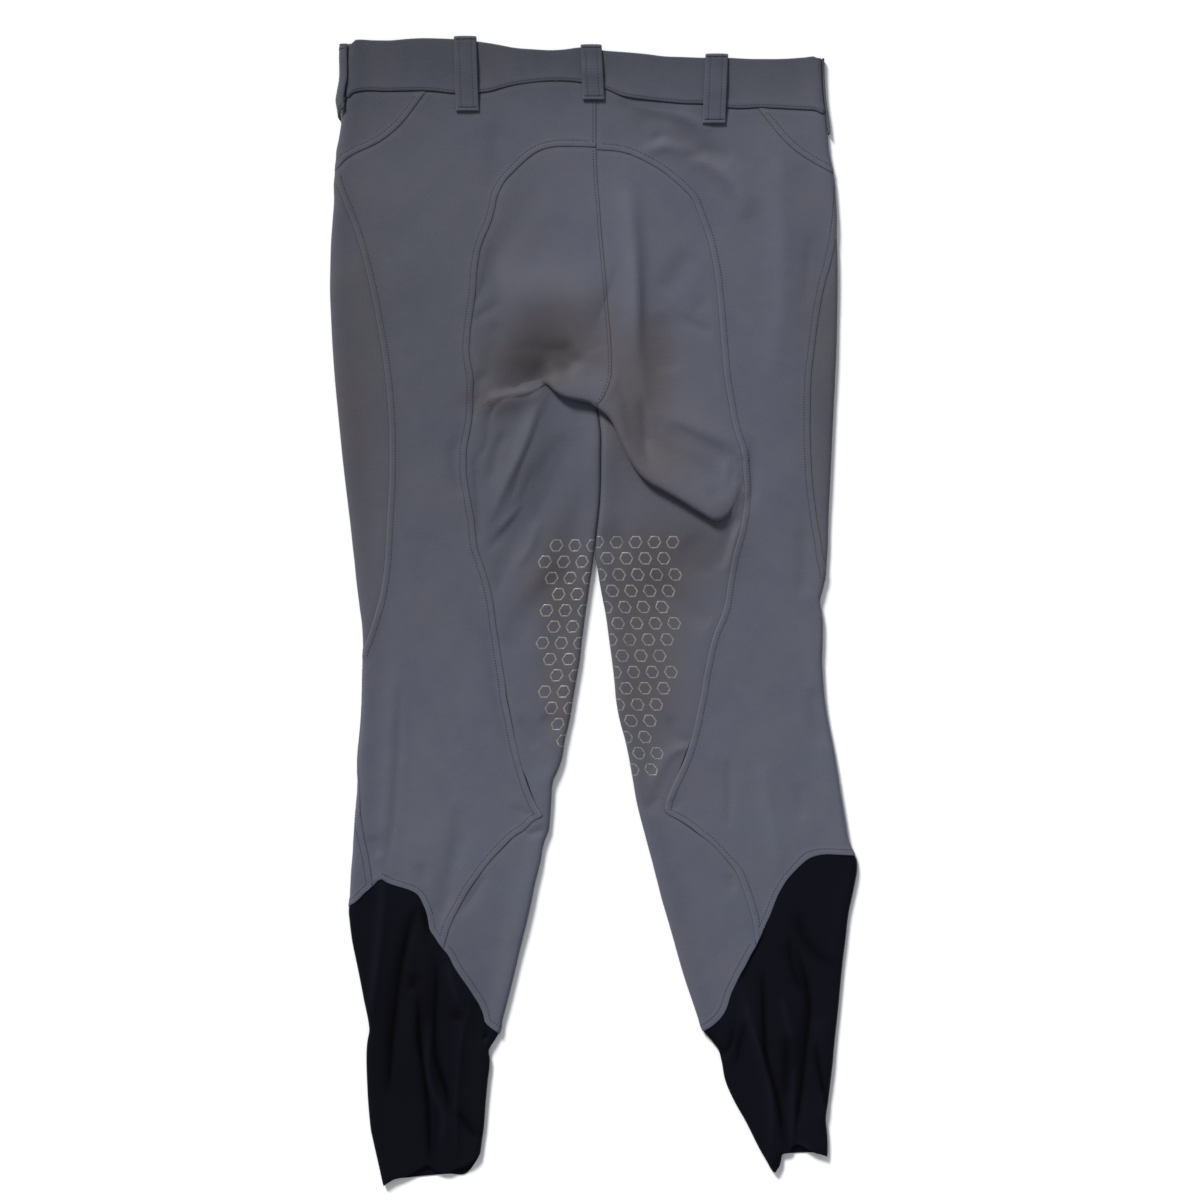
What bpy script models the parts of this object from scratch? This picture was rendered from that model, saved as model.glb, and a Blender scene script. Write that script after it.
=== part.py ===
"""Riding breeches laid flat on their front, back side up.

Metres, +Z up, +Y towards the waist, origin on the surface under the middle of the garment.
Every panel is cut in flat cloth coordinates, laid over the folded edges and given its wall.
"Left" is the side at -X. The tables are in millimetres.
"""
import math

import bpy
import numpy as np
from mathutils import Vector
from mathutils.geometry import delaunay_2d_cdt

# Cloths, mm thick
SOFTSHELL = 1.5
BAND = 2.5
LYCRA = 1.0
LOOP = 2.0
TAPE = 1.0
SEAM_GAP = 0.3

# How the cloth lies, mm
LIE = 4.2  # middle of the back cloth above the surface
EDGE_RISE = 2.2  # the back cloth lifts this much at a folded edge
EDGE_FADE = 11.0  # and is flat again after about this distance
FOLD_REACH = 3.0  # a folded edge curves in this far
QUARTER = 4.7  # cloth in a quarter turn of a folded edge
BAND_LIE = 4.9
LYCRA_LIE = 4.0
CROTCH_ROUND = 22.0  # below the crotch the inner fold opens out over this length
PARTED_Y = 186.0  # the inner edges lift below this
CALM_Y = 470.0  # the folds fade out above this, over CALM_FADE
CALM_FADE = 30.0
REST_SOFTNESS = 0.6  # how gently hollows flatten on the cloth below
CENTER_X = -0.295  # middle of the garment's extent, moved to the origin
CENTER_Y = 0.06

# Outline of the garment: a row for each section, the folded edges of both legs across it.
# Above the crotch the two inner edges are the centre seam.
#    y     outer left  inner left  inner right  outer right
SECTIONS = [
    (503.5, -215.5, 1.8, 2.2, 200.0), (486.0, -218.0, 2.2, 2.6, 200.8), (467.5, -218.3, 2.4, 2.8, 201.4),
    (450.5, -218.5, 2.6, 3.0, 202.6), (431.0, -221.5, 2.6, 3.0, 205.4), (415.5, -224.0, 2.6, 3.0, 207.0),
    (406.0, -226.0, 2.8, 3.2, 207.9), (397.0, -226.4, 3.0, 3.4, 209.6), (388.5, -227.0, 3.4, 3.8, 211.1),
    (380.0, -228.2, 3.8, 4.2, 212.3), (362.0, -228.0, 5.4, 5.8, 213.5), (344.5, -229.3, 6.6, 7.0, 214.6),
    (327.0, -230.6, 8.0, 8.4, 214.9), (300.5, -231.4, 10.4, 10.8, 215.4),
    (283.0, -231.6, 11.9, 12.3, 215.4), (262.0, -230.8, 13.6, 14.0, 215.1),
    (239.5, -229.7, 15.6, 16.0, 214.6), (222.0, -228.6, 16.2, 16.6, 214.0),
    (206.0, -227.4, 15.6, 16.0, 213.2), (195.0, -226.4, 12.2, 12.6, 212.8),
    (186.5, -225.6, 8.0, 8.4, 212.2), (180.5, -225.0, 3.6, 4.0, 212.0), (174.0, -224.4, 4.6, 5.0, 211.7),
    (160.0, -223.0, 6.6, 7.0, 211.0), (134.0, -220.4, 6.8, 7.2, 209.8), (108.0, -217.4, 6.4, 6.8, 208.6),
    (90.0, -215.2, 5.2, 5.8, 207.7), (73.0, -213.2, 3.2, 3.8, 207.1), (56.0, -211.4, 1.4, 2.0, 206.7),
    (46.0, -210.2, 0.2, 2.6, 206.0), (36.5, -209.3, -0.9, 4.2, 205.5), (27.7, -208.4, -2.4, 5.5, 204.1),
    (19.0, -207.4, -3.6, 7.0, 202.3), (10.0, -206.2, -4.8, 8.7, 200.0), (1.3, -205.1, -6.2, 10.5, 201.4),
    (-7.5, -203.8, -7.3, 11.9, 202.4), (-25.0, -202.7, -9.6, 14.2, 202.5),
    (-42.7, -203.0, -11.5, 16.6, 201.9), (-60.3, -203.3, -14.6, 18.7, 202.8),
    (-78.0, -203.5, -17.6, 20.3, 204.3), (-95.5, -204.3, -20.5, 23.5, 207.0),
    (-113.0, -205.9, -24.6, 28.3, 210.5), (-130.7, -207.3, -27.7, 32.0, 213.7),
    (-139.5, -207.3, -30.9, 33.5, 215.1), (-148.3, -206.9, -34.9, 35.1, 216.5),
    (-166.0, -208.0, -36.6, 38.1, 219.3), (-183.5, -209.8, -37.9, 42.3, 222.2),
    (-192.3, -210.5, -38.8, 44.7, 223.6), (-201.0, -211.1, -42.4, 47.0, 225.3),
    (-210.0, -211.5, -44.6, 49.4, 228.9), (-218.7, -212.2, -45.9, 51.8, 232.6),
    (-227.5, -213.0, -48.0, 54.0, 232.8), (-236.3, -213.5, -50.3, 56.3, 231.4),
    (-254.0, -214.5, -53.9, 60.8, 227.7), (-262.7, -215.5, -55.8, 63.4, 225.8),
    (-271.5, -214.7, -57.8, 66.0, 224.5), (-289.0, -212.5, -62.2, 71.0, 222.6),
    (-306.7, -208.9, -66.4, 75.9, 220.3), (-324.3, -205.3, -70.6, 81.2, 218.5),
    (-342.0, -201.9, -75.0, 87.2, 216.9), (-359.5, -198.3, -79.6, 93.2, 215.1),
    (-368.3, -197.3, -81.4, 96.5, 214.1), (-377.0, -198.8, -86.3, 103.8, 213.2),
    (-386.0, -199.7, -91.4, 110.3, 212.3), (-394.7, -199.8, -90.5, 112.7, 211.6),
    (-412.3, -199.3, -92.3, 116.1, 209.6), (-430.0, -198.4, -94.0, 123.8, 207.5),
    (-447.5, -196.9, -95.3, 133.7, 205.3), (-456.3, -195.9, -96.1, 138.2, 206.2),
    (-465.0, -194.0, -97.4, 142.4, 206.8), (-474.0, -192.0, -98.6, 147.1, 206.9),
    (-482.7, -190.0, -100.2, 152.2, 206.9), (-508.5, -184.3, -104.5, 165.0, 207.2),
]

# Seams of the back, each a line of (x, y) that a smooth curve follows.
BAND_TOP = [
    (-219.1, 499.0), (-211.2, 502.5), (-191.8, 503.0), (-177.8, 503.0), (-165.4, 504.1), (-153.1, 504.9),
    (-137.3, 504.8), (-123.2, 504.2), (-102.1, 502.1), (-86.2, 499.8), (-68.6, 496.5), (-51.0, 495.1),
    (-37.8, 494.4), (-24.6, 495.1), (-11.4, 496.8), (11.3, 493.9), (30.0, 492.5), (46.4, 491.0),
    (62.7, 488.9), (79.1, 488.3), (98.6, 487.6), (120.0, 487.6), (136.2, 486.8), (152.6, 486.5),
    (169.0, 486.8), (185.3, 487.8), (198.4, 488.3), (203.0, 486.8),
]
BAND_SEAM = [
    (-219.0, 451.5), (-216.8, 452.3), (-213.0, 455.0), (-205.9, 457.4), (-200.6, 458.1), (-183.0, 457.8),
    (-160.2, 458.3), (-147.8, 458.3), (-137.3, 457.6), (-126.7, 456.2), (-99.4, 456.5), (-89.8, 457.8),
    (-81.0, 460.4), (-72.2, 462.7), (-59.8, 464.8), (-49.3, 466.0), (-37.8, 466.9), (-24.6, 466.9),
    (-9.7, 465.3), (10.5, 460.2), (18.6, 456.6), (24.3, 454.2), (33.4, 452.1), (46.4, 450.4),
    (62.7, 448.7), (79.1, 447.1), (98.6, 446.4), (117.5, 443.5), (128.1, 442.6), (136.2, 442.9),
    (145.3, 443.5), (160.8, 442.9), (174.0, 442.2), (185.3, 441.6), (195.1, 440.7), (201.6, 438.3),
    (205.7, 434.5),
]
YOKE_SEAM = {
    "left": [
        (-146.4, 457.9), (-151.4, 451.4), (-156.6, 444.4), (-161.9, 437.4), (-168.1, 429.8),
        (-174.2, 423.8), (-181.3, 418.0), (-189.2, 412.7), (-197.1, 408.7), (-205.9, 404.8),
        (-213.0, 400.9), (-218.2, 396.9), (-221.8, 392.5),
    ],
    "right": [
        (145.3, 442.2), (151.0, 435.3), (155.8, 429.6), (160.8, 423.1), (167.3, 415.7), (173.9, 409.2),
        (182.0, 402.7), (190.2, 397.3), (198.4, 392.4), (204.9, 388.8),
    ],
}
YOKE_AT_FOLD = {"left": 387.0, "right": 385.0}
SIDE_SEAM = {
    "left": [
        (-220.0, 360.8), (-213.0, 343.2), (-206.8, 325.6), (-201.5, 306.2), (-196.8, 286.9),
        (-192.7, 267.5), (-189.7, 249.9), (-186.9, 234.1), (-183.6, 211.2), (-181.6, 193.6),
        (-180.4, 177.8), (-179.5, 160.2), (-179.3, 142.6), (-179.3, 125.0), (-179.9, 107.4),
        (-181.1, 89.8), (-182.0, 72.0), (-182.9, 54.6), (-183.9, 40.5), (-186.0, 24.6), (-188.7, 10.6),
        (-192.7, -3.5), (-196.2, -15.0), (-199.0, -23.5),
    ],
    "right": [
        (208.1, 301.8), (204.9, 291.1), (202.5, 280.5), (200.0, 267.4), (198.0, 254.3), (196.2, 241.3),
        (194.7, 228.2), (192.8, 214.2), (191.8, 197.9), (191.5, 181.5), (191.3, 165.2), (191.5, 148.8),
        (192.2, 132.5), (193.2, 116.2), (194.9, 99.8), (197.0, 83.5), (198.5, 73.7), (200.0, 66.3),
        (202.0, 51.6),
    ],
}
# The thigh insert's upper tip on the yoke seam, how far round the fold, and its lower tip's y on it
SIDE_TOP = {"left": 0.0, "right": -6.0}
SIDE_FOOT = {"left": -36.0, "right": 32.0}
SEAT_SEAM = {
    "left": [
        (2.8, 408.5), (-7.0, 409.0), (-22.0, 409.4), (-33.4, 409.0), (-42.2, 407.4), (-49.3, 404.4),
        (-58.1, 398.1), (-66.0, 390.7), (-73.0, 383.7), (-76.5, 380.0), (-80.5, 373.5), (-84.0, 365.8),
        (-86.2, 355.5), (-88.4, 346.7), (-91.5, 337.9), (-95.9, 328.2), (-98.9, 319.4), (-100.7, 309.8),
        (-102.1, 299.2), (-102.8, 288.6), (-103.5, 278.1), (-104.7, 269.3), (-106.1, 260.5),
        (-107.5, 249.9), (-108.4, 239.4), (-108.9, 230.6), (-107.7, 220.0), (-106.0, 211.2),
        (-105.2, 202.4), (-105.4, 191.8), (-105.6, 181.3), (-106.3, 170.7), (-107.7, 160.2),
        (-109.6, 151.4), (-111.1, 142.6), (-111.4, 132.0), (-111.2, 121.4), (-109.8, 110.9),
        (-107.9, 100.3), (-106.1, 89.8), (-104.2, 80.0), (-103.5, 70.4), (-101.2, 54.6), (-96.8, 42.2),
        (-92.4, 28.2), (-88.9, 14.1), (-86.8, 1.8), (-85.4, -10.6), (-83.1, -24.6), (-81.0, -38.7),
        (-78.7, -52.8), (-76.9, -65.1), (-75.7, -76.6), (-73.6, -86.2), (-70.4, -102.1), (-67.2, -117.9),
        (-63.7, -132.0), (-59.0, -147.8), (-53.7, -161.9), (-48.4, -172.5), (-44.0, -179.5),
    ],
    "right": [
        (2.8, 406.5), (12.1, 405.9), (21.9, 405.2), (32.5, 402.3), (43.1, 397.8), (52.9, 392.6),
        (62.7, 386.3), (70.9, 379.8), (79.1, 372.3), (86.9, 364.0), (91.3, 354.0), (95.4, 342.6),
        (100.0, 330.4), (103.2, 318.0), (105.5, 306.6), (107.4, 295.2), (108.8, 282.1), (110.1, 269.0),
        (111.2, 256.0), (112.2, 242.9), (113.5, 229.3), (114.7, 214.2), (116.3, 201.2), (118.6, 188.1),
        (121.1, 173.4), (124.0, 160.2), (127.2, 150.5), (130.1, 141.5), (131.4, 132.5), (132.0, 122.7),
        (133.0, 112.9), (133.3, 103.1), (132.7, 91.7), (131.0, 81.8), (129.4, 72.9), (127.2, 64.6),
        (123.2, 49.9), (120.2, 35.2), (117.9, 20.5), (115.4, 5.8), (111.8, -5.6), (106.8, -17.1),
        (102.8, -30.2), (100.0, -43.2), (97.3, -56.3), (95.3, -69.9), (92.4, -84.0), (89.3, -99.2),
        (85.6, -113.6), (80.9, -128.0), (75.1, -141.6), (69.5, -153.5), (65.2, -163.7), (62.7, -172.0),
    ],
}
CALF_SEAM = {
    "left": [
        (-44.0, -179.5), (-52.8, -184.8), (-59.8, -191.8), (-70.4, -198.9), (-79.2, -207.7),
        (-89.0, -218.2), (-95.5, -226.0), (-100.4, -232.9), (-106.1, -240.9), (-111.8, -249.9),
        (-117.4, -260.1), (-123.1, -271.4), (-126.5, -279.3), (-128.7, -287.2), (-131.6, -296.3),
        (-132.8, -300.5),
    ],
    "right": [
        (62.7, -172.0), (63.9, -176.4), (72.1, -181.5), (82.2, -187.4), (92.4, -195.1), (102.6, -202.8),
        (112.7, -212.9), (118.8, -220.0), (122.1, -223.9), (127.7, -232.9), (131.6, -243.1),
        (135.1, -253.4), (137.9, -262.3), (140.2, -270.2), (141.5, -278.2), (142.5, -286.1),
        (143.5, -292.0),
    ],
}
# Shin seam between back and front panel: how far round the outer fold, and y
SHIN_SEAM = {
    "left": [
        (0.0, -36.0), (1.0, -90.0), (1.8, -134.0), (3.2, -156.0), (6.0, -178.0), (10.9, -199.0),
        (15.8, -216.5), (19.9, -235.0), (21.5, -246.0),
    ],
    "right": [
        (0.0, 32.0), (-3.0, -60.0), (-6.0, -140.0), (-12.0, -214.0),
    ],
}
# Inner seam of the front, hidden: how far in from the inner fold, and y
FRONT_SEAM = [(4.0, None), (14.0, 150.0), (30.0, 90.0), (38.0, 20.0), (40.0, -120.0), (38.0, -330.0)]
# Calf hem, where the lycra starts: share of the way across the leg, and y
HEM_BACK = {
    "left": [
        (0.0, -259.5), (0.04, -255.6), (0.084, -247.9), (0.123, -242.0), (0.174, -235.4), (0.192, -237.5),
        (0.234, -240.3), (0.292, -243.1), (0.336, -245.6), (0.371, -248.8), (0.402, -255.6),
        (0.427, -262.3), (0.44, -268.0), (0.448, -277.1), (0.455, -279.3), (0.486, -286.1),
        (0.528, -295.2), (0.568, -301.9), (0.603, -311.0), (0.649, -320.1), (0.696, -328.0),
        (0.75, -337.0), (0.81, -347.2), (0.84, -354.0), (0.862, -360.8), (0.907, -365.3), (0.963, -369.2),
        (1.0, -371.9),
    ],
    "right": [
        (0.0, -214.3), (0.072, -213.8), (0.167, -213.8), (0.235, -217.2), (0.278, -222.7),
        (0.311, -228.4), (0.344, -235.2), (0.375, -244.3), (0.394, -251.1), (0.412, -259.0),
        (0.4305, -266.9), (0.462, -276.0), (0.495, -286.1), (0.523, -294.0), (0.559, -301.9),
        (0.597, -311.0), (0.637, -318.9), (0.68, -328.0), (0.7235, -337.0), (0.746, -342.7),
        (0.774, -348.9), (0.815, -355.2), (0.867, -360.8), (0.933, -365.9), (1.0, -369.1),
    ],
}
HEM_FRONT = {
    "left": [
        (0.0, -259.5), (0.3, -287.0), (0.6, -325.0), (1.0, -371.9),
    ],
    "right": [
        (0.0, -214.3), (0.3, -246.0), (0.6, -300.0), (1.0, -369.1),
    ],
}
# Open ends of the lycra, in the same columns
END_BACK = {
    "left": [
        (0.0, -506.5), (0.06, -501.8), (0.12, -499.7), (0.22, -498.0), (0.31, -495.2), (0.41, -490.3),
        (0.5, -486.8), (0.55, -490.6), (0.62, -493.4), (0.71, -493.4), (0.77, -490.6), (0.82, -488.9),
        (0.87, -487.3), (1.0, -477.0),
    ],
    "right": [
        (0.0, -480.0), (0.12, -477.2), (0.2, -476.2), (0.3, -472.5), (0.42, -468.4), (0.5, -470.0),
        (0.57, -475.4), (0.7, -478.0), (0.76, -484.0), (0.87, -490.5), (0.945, -493.4), (1.0, -491.0),
    ],
}
END_FRONT = {
    "left": [
        (0.0, -506.5), (0.07, -503.3), (0.13, -500.5), (0.3, -498.4), (0.5, -496.5), (0.7, -495.2),
        (0.888, -494.2), (1.0, -477.0),
    ],
    "right": [
        (0.0, -480.0), (0.12, -477.4), (0.25, -476.4), (0.4, -476.3), (0.56, -477.0), (0.7, -478.0),
        (0.8, -487.0), (0.9, -492.5), (0.96, -494.0), (1.0, -491.0),
    ],
}

# Folds of the back cloth: a line, its height, and how far it spreads to the left and right of it.
FOLDS = [
    ([(-50.0, 232.0), (8.0, 216.0), (48.0, 168.0), (104.0, 128.0)], 3.6, 26.0, 34.0),
    ([(-82.0, 214.0), (-52.0, 222.0), (-28.0, 214.0)], -2.6, 10.0, 12.0),
    ([(-91.5, 180.5), (-66.0, 189.0), (-44.0, 194.0)], 3.4, 8.0, 12.0),
    ([(-44.0, 192.0), (-50.0, 176.0), (-66.0, 116.0)], 2.4, 12.0, 8.0),
    ([(34.0, 378.0), (39.0, 304.0), (39.0, 250.0), (45.0, 170.0)], 2.2, 7.0, 18.0),
    ([(-57.0, 363.0), (-86.0, 304.0), (-82.0, 214.0)], -1.3, 12.0, 12.0),
    ([(-22.0, 150.0), (-54.0, 97.0), (-84.0, 18.0)], -1.3, 9.0, 9.0),
    ([(-10.0, 120.0), (-34.0, 70.0), (-52.0, 6.0)], 1.6, 12.0, 12.0),
    ([(66.0, 166.0), (98.0, 152.0), (127.0, 138.0)], 2.0, 12.0, 5.0),
    ([(-169.0, -60.0), (-172.0, -140.0), (-182.0, -226.0)], 1.8, 7.0, 12.0),
    ([(-110.0, -190.0), (-126.0, -232.0), (-139.0, -280.0)], -1.2, 7.0, 7.0),
    ([(160.0, 412.0), (166.0, 300.0), (160.0, 200.0)], 1.4, 18.0, 12.0),
]
# Folds of the lycra ends
LYCRA_FOLDS = [
    ([(-184.0, -238.0), (-190.0, -300.0), (-194.0, -352.0)], 1.6, 7.0, 3.5),
    ([(-154.0, -266.0), (-170.0, -310.0), (-178.0, -396.0)], -1.5, 5.0, 5.0),
    ([(-156.0, -330.0), (-151.0, -398.0), (-144.0, -414.0), (-144.0, -488.0)], 2.2, 4.5, 8.0),
    ([(-140.0, -298.0), (-141.0, -362.0), (-135.0, -420.0)], -1.4, 5.0, 5.0),
    ([(-110.0, -340.0), (-119.0, -394.0), (-122.0, -478.0)], 1.6, 5.0, 7.0),
    ([(172.0, -294.0), (190.0, -336.0), (184.0, -390.0), (183.0, -450.0)], -1.8, 4.5, 4.5),
    ([(154.0, -320.0), (170.0, -354.0), (176.0, -400.0)], 2.0, 7.0, 5.0),
    ([(134.0, -356.0), (152.0, -400.0), (168.0, -462.0)], 3.4, 4.0, 10.0),
    ([(200.0, -366.0), (202.0, -410.0), (204.0, -450.0)], 1.8, 6.0, 5.0),
]

# The tuck under the seat: its folded edge, left and right of the centre seam, and how much it overlaps
#    across    y      overlap share
TUCK = [
    (-128.5, 168.0, 0.0), (-97.0, 179.0, 0.0), (-80.0, 186.0, 0.0), (-66.0, 192.0, 0.05),
    (-58.0, 195.0, 0.2), (-52.0, 196.0, 0.55), (-46.0, 194.0, 0.85), (-37.0, 189.6, 1.0),
    (-16.4, 184.4, 1.0), (0.2, 179.5, 1.0), (6.5, 174.0, 1.0), (13.5, 164.0, 1.0), (18.4, 154.0, 1.0),
    (23.4, 141.5, 1.0), (30.0, 129.4, 1.0), (36.6, 120.0, 1.0), (44.3, 112.9, 1.0),
    (56.0, 106.4, 1.0), (69.3, 99.0, 1.0), (83.0, 90.8, 1.0), (91.0, 86.2, 1.0), (97.0, 83.0, 0.88),
    (103.0, 81.5, 0.62), (108.5, 83.5, 0.4), (114.0, 88.6, 0.2), (119.0, 96.0, 0.08),
    (127.0, 107.0, 0.0),
]
TUCK_ROW = 150.0  # row of the flat panel that lies along the folded edge
TUCK_ABOVE = 225.0  # rows bend to follow the edge within these distances of it
TUCK_BELOW = 300.0
TUCK_SPAN = 40.0
TUCK_RISE = 36.0  # the cloth above rises to the edge over this length
TUCK_DEPTH = 5.0
TUCK_EDGE = 2.9  # radius of the edge that shows
TUCK_BACK = 1.9  # radius of the turn behind it
TUCK_LOW = 4.0  # height of the thigh cloth under it
CROTCH_BEHIND = 7.0  # the crotch lies this far behind the folded edge

# Belt loops on the back: centre x, lower end and upper end
LOOPS = {
    "loop_back_left": (-111.4, 440.4, 505.5),
    "loop_back_center": (-0.6, 450.3, 498.4),
    "loop_back_right": (107.7, 429.5, 490.9),
}
LOOP_WIDTH = 20.0
# Loops at the side folds: how far round the fold they start and end, their lower end there, and
# their upper end. They bulge sideways off the band: height, and how far.
SIDE_LOOPS = {
    "loop_side_left": ("left", -1.8, 5.5, 432.0, 445.0, 499.0),
    "loop_side_right": ("right", -1.8, 1.2, 420.0, 421.0, 487.0),
}
SIDE_BULGE = {
    "left": [
        (432.0, 0.0), (441.0, 2.5), (450.0, 5.0), (459.0, 4.0), (467.5, 2.4), (476.5, 2.0), (499.0, 4.0),
    ],
    "right": [(420.0, 0.0), (487.0, 0.0)],
}
FLY_LENGTH = 150.0
FLY_WIDTH = 24.0
INSERT_FRONT = 0.7  # the thigh insert's width on the front, as a share of that on the back
FRONT_SEAM_Y = 447.0  # the waist seam at centre front
FRONT_TOP_Y = 488.0
LEG = 130.0  # a leg's usual width, which scales shares of it for the curve

# Spacing of points in the solids, mm
SHARPEST = 0.02  # limits how far an acute corner is drawn in
SEAM_STEP = 14.0
GRID_SEAT = 15.0
GRID_BACK = 21.0
GRID_FRONT = 34.0
GRID_TUCK = 11.0
GRID_FOLD = 26.0
CLEAR = 0.45  # inner points stay this share of their spacing away from the seams
FOLD_CLEAR = 1.1
ON_COLUMN = 0.4  # points this close to a fold column belong to it
LYCRA_ROWS = 11
HEM_BACK_STEPS = 16
HEM_FRONT_STEPS = 6
BAND_ROWS = np.array([0.0, 0.35, 0.7, 1.0])
CLOTH_LOW = -400.0  # the panels lie between these in y
CLOTH_HIGH = 480.0

SIGN = {"left": -1.0, "right": 1.0}
SIDES = ("left", "right")
FOLD_COLUMNS = np.array([-QUARTER, -QUARTER / 2, 0.0, QUARTER / 2, QUARTER])


# Curves

def smooth(points, step):
    """Points about `step` apart on a smooth curve through the given ones."""
    p = np.asarray(points, float)
    chord = np.linalg.norm(np.diff(p, axis=0), axis=1)
    along = np.concatenate([[0.0], np.cumsum(chord)])
    slope = np.diff(p, axis=0) / chord[:, None]
    tangent = np.empty_like(p)
    tangent[0], tangent[-1] = slope[0], slope[-1]
    share = (chord[:-1] / (chord[:-1] + chord[1:]))[:, None]
    tangent[1:-1] = slope[:-1] * (1.0 - share) + slope[1:] * share
    count = max(2, int(math.ceil(along[-1] / step)) + 1)
    at = np.linspace(0.0, along[-1], count)
    i = np.clip(np.searchsorted(along, at, side="right") - 1, 0, len(chord) - 1)
    t = ((at - along[i]) / chord[i])[:, None]
    length = chord[i][:, None]
    return (
        p[i] * (1 + 2 * t) * (1 - t) ** 2
        + p[i + 1] * t**2 * (3 - 2 * t)
        + tangent[i] * length * t * (1 - t) ** 2
        - tangent[i + 1] * length * t**2 * (1 - t)
    )


def table_curve(rows, key, value):
    """A function that reads one column of a table smoothly against another."""
    line = smooth([(row[key], row[value]) for row in rows], 1.0)
    line = line[np.argsort(line[:, 0], kind="stable")]
    return lambda at: np.interp(at, line[:, 0], line[:, 1])


def leg_curve(rows):
    """Height against the share of the way across a leg."""
    curve = table_curve([(share * LEG, y) for share, y in rows], 0, 1)
    return lambda share: curve(np.asarray(share) * LEG)


def spread(low, high, step):
    """Even steps of about the given size."""
    return np.linspace(low, high, max(1, int(round(abs(high - low) / step))) + 1)


def ease(t):
    """0 to 1 with level ends."""
    t = np.clip(t, 0.0, 1.0)
    return t * t * (3.0 - 2.0 * t)


OUTER = {"left": table_curve(SECTIONS, 0, 1), "right": table_curve(SECTIONS, 0, 4)}
INNER = {"left": table_curve(SECTIONS, 0, 2), "right": table_curve(SECTIONS, 0, 3)}
TUCK_EDGE_Y = table_curve(TUCK, 0, 1)
TUCK_SHARE = table_curve(TUCK, 0, 2)


def outer_x(side, y):
    """The outer fold line of the cloth's middle."""
    return OUTER[side](y) - SIGN[side] * SOFTSHELL / 2


def center_x(y):
    return (INNER["left"](y) + INNER["right"](y)) / 2


def half_parting(y):
    """Half the distance between the two inner fold lines."""
    return (INNER["right"](y) - INNER["left"](y) + SOFTSHELL) / 2


def inner_x(side, y, opened=1.0):
    return center_x(y) + SIGN[side] * half_parting(y) * opened


# Heights

def fold_height(x, y, folds):
    """Sum of the folds at the given places."""
    total = np.zeros_like(np.asarray(x, float))
    for line, height, spread_left, spread_right in folds:
        points = smooth(line, 6.0)
        start, step = points[:-1], np.diff(points, axis=0)
        length = np.hypot(step[:, 0], step[:, 1])
        along = np.concatenate([[0.0], np.cumsum(length)])
        dx = x[..., None] - start[:, 0]
        dy = y[..., None] - start[:, 1]
        t = np.clip((dx * step[:, 0] + dy * step[:, 1]) / length**2, 0.0, 1.0)
        away = np.hypot(dx - t * step[:, 0], dy - t * step[:, 1])
        nearest = np.argmin(away, axis=-1)[..., None]
        distance = np.take_along_axis(away, nearest, -1)[..., 0]
        turn = np.take_along_axis(step[:, 0] * dy - step[:, 1] * dx, nearest, -1)[..., 0]
        place = np.take_along_axis(along[:-1] + t * length, nearest, -1)[..., 0] / along[-1]
        spread = np.where(turn > 0, spread_left, spread_right)
        taper = 1.0 - (2.0 * place - 1.0) ** 4 * 0.6
        total = total + height * taper * np.exp(-((distance / spread) ** 2))
    return total


def edge_lift(distance):
    """The cloth's lift close to a folded edge."""
    return EDGE_RISE * np.exp(-((np.maximum(distance - FOLD_REACH, 0.0) / EDGE_FADE) ** 2))


def resting(height, wall):
    """Hollows go no deeper than the cloth underneath lets them."""
    above = height - 1.5 * wall - 1.5 * SEAM_GAP
    return height + (np.sqrt(above**2 + REST_SOFTNESS**2) - above) / 2


def back_height(side, x, y):
    """Height of the back cloth's middle."""
    outer = SIGN[side] * (outer_x(side, y) - x)
    inner = SIGN[side] * (x - inner_x(side, y))
    parted = ease((PARTED_Y - y) / CROTCH_ROUND)
    calm = ease((CALM_Y - y) / CALM_FADE)
    lift = edge_lift(outer) + edge_lift(inner) * parted + calm * fold_height(x, y, FOLDS)
    return resting(LIE + lift, SOFTSHELL)


def band_height(side, x, y):
    outer = SIGN[side] * (outer_x(side, y) - x)
    return BAND_LIE + edge_lift(outer)


def lycra_height(side, x, y):
    outer = SIGN[side] * (outer_x(side, y) - x)
    inner = SIGN[side] * (x - inner_x(side, y))
    lift = 0.8 * (edge_lift(outer) + edge_lift(inner))
    return resting(LYCRA_LIE + lift + fold_height(x, y, LYCRA_FOLDS), LYCRA)


# From flat cloth to where it lies. `across` counts cloth from a fold line, positive on the back.

def turned(across, reach, top, low):
    """How far in from the fold line, and how high."""
    angle = np.clip(across / QUARTER, -1.0, 1.0) * math.pi / 2
    inward = reach * (1.0 - np.cos(angle)) + np.maximum(np.abs(across) - QUARTER, 0.0)
    return inward, (top + low) / 2 + (top - low) / 2 * np.sin(angle)


def lay_outer(side, across, y, wall=SOFTSHELL, height=back_height):
    """Cloth over the outer fold."""
    fold = outer_x(side, y)
    edge = height(side, fold - SIGN[side] * FOLD_REACH, y)
    inward, z = turned(across, FOLD_REACH, edge, wall / 2)
    x = fold - SIGN[side] * inward
    return np.stack([x, y, np.where(across > QUARTER, height(side, x, y), z)], -1)


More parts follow.
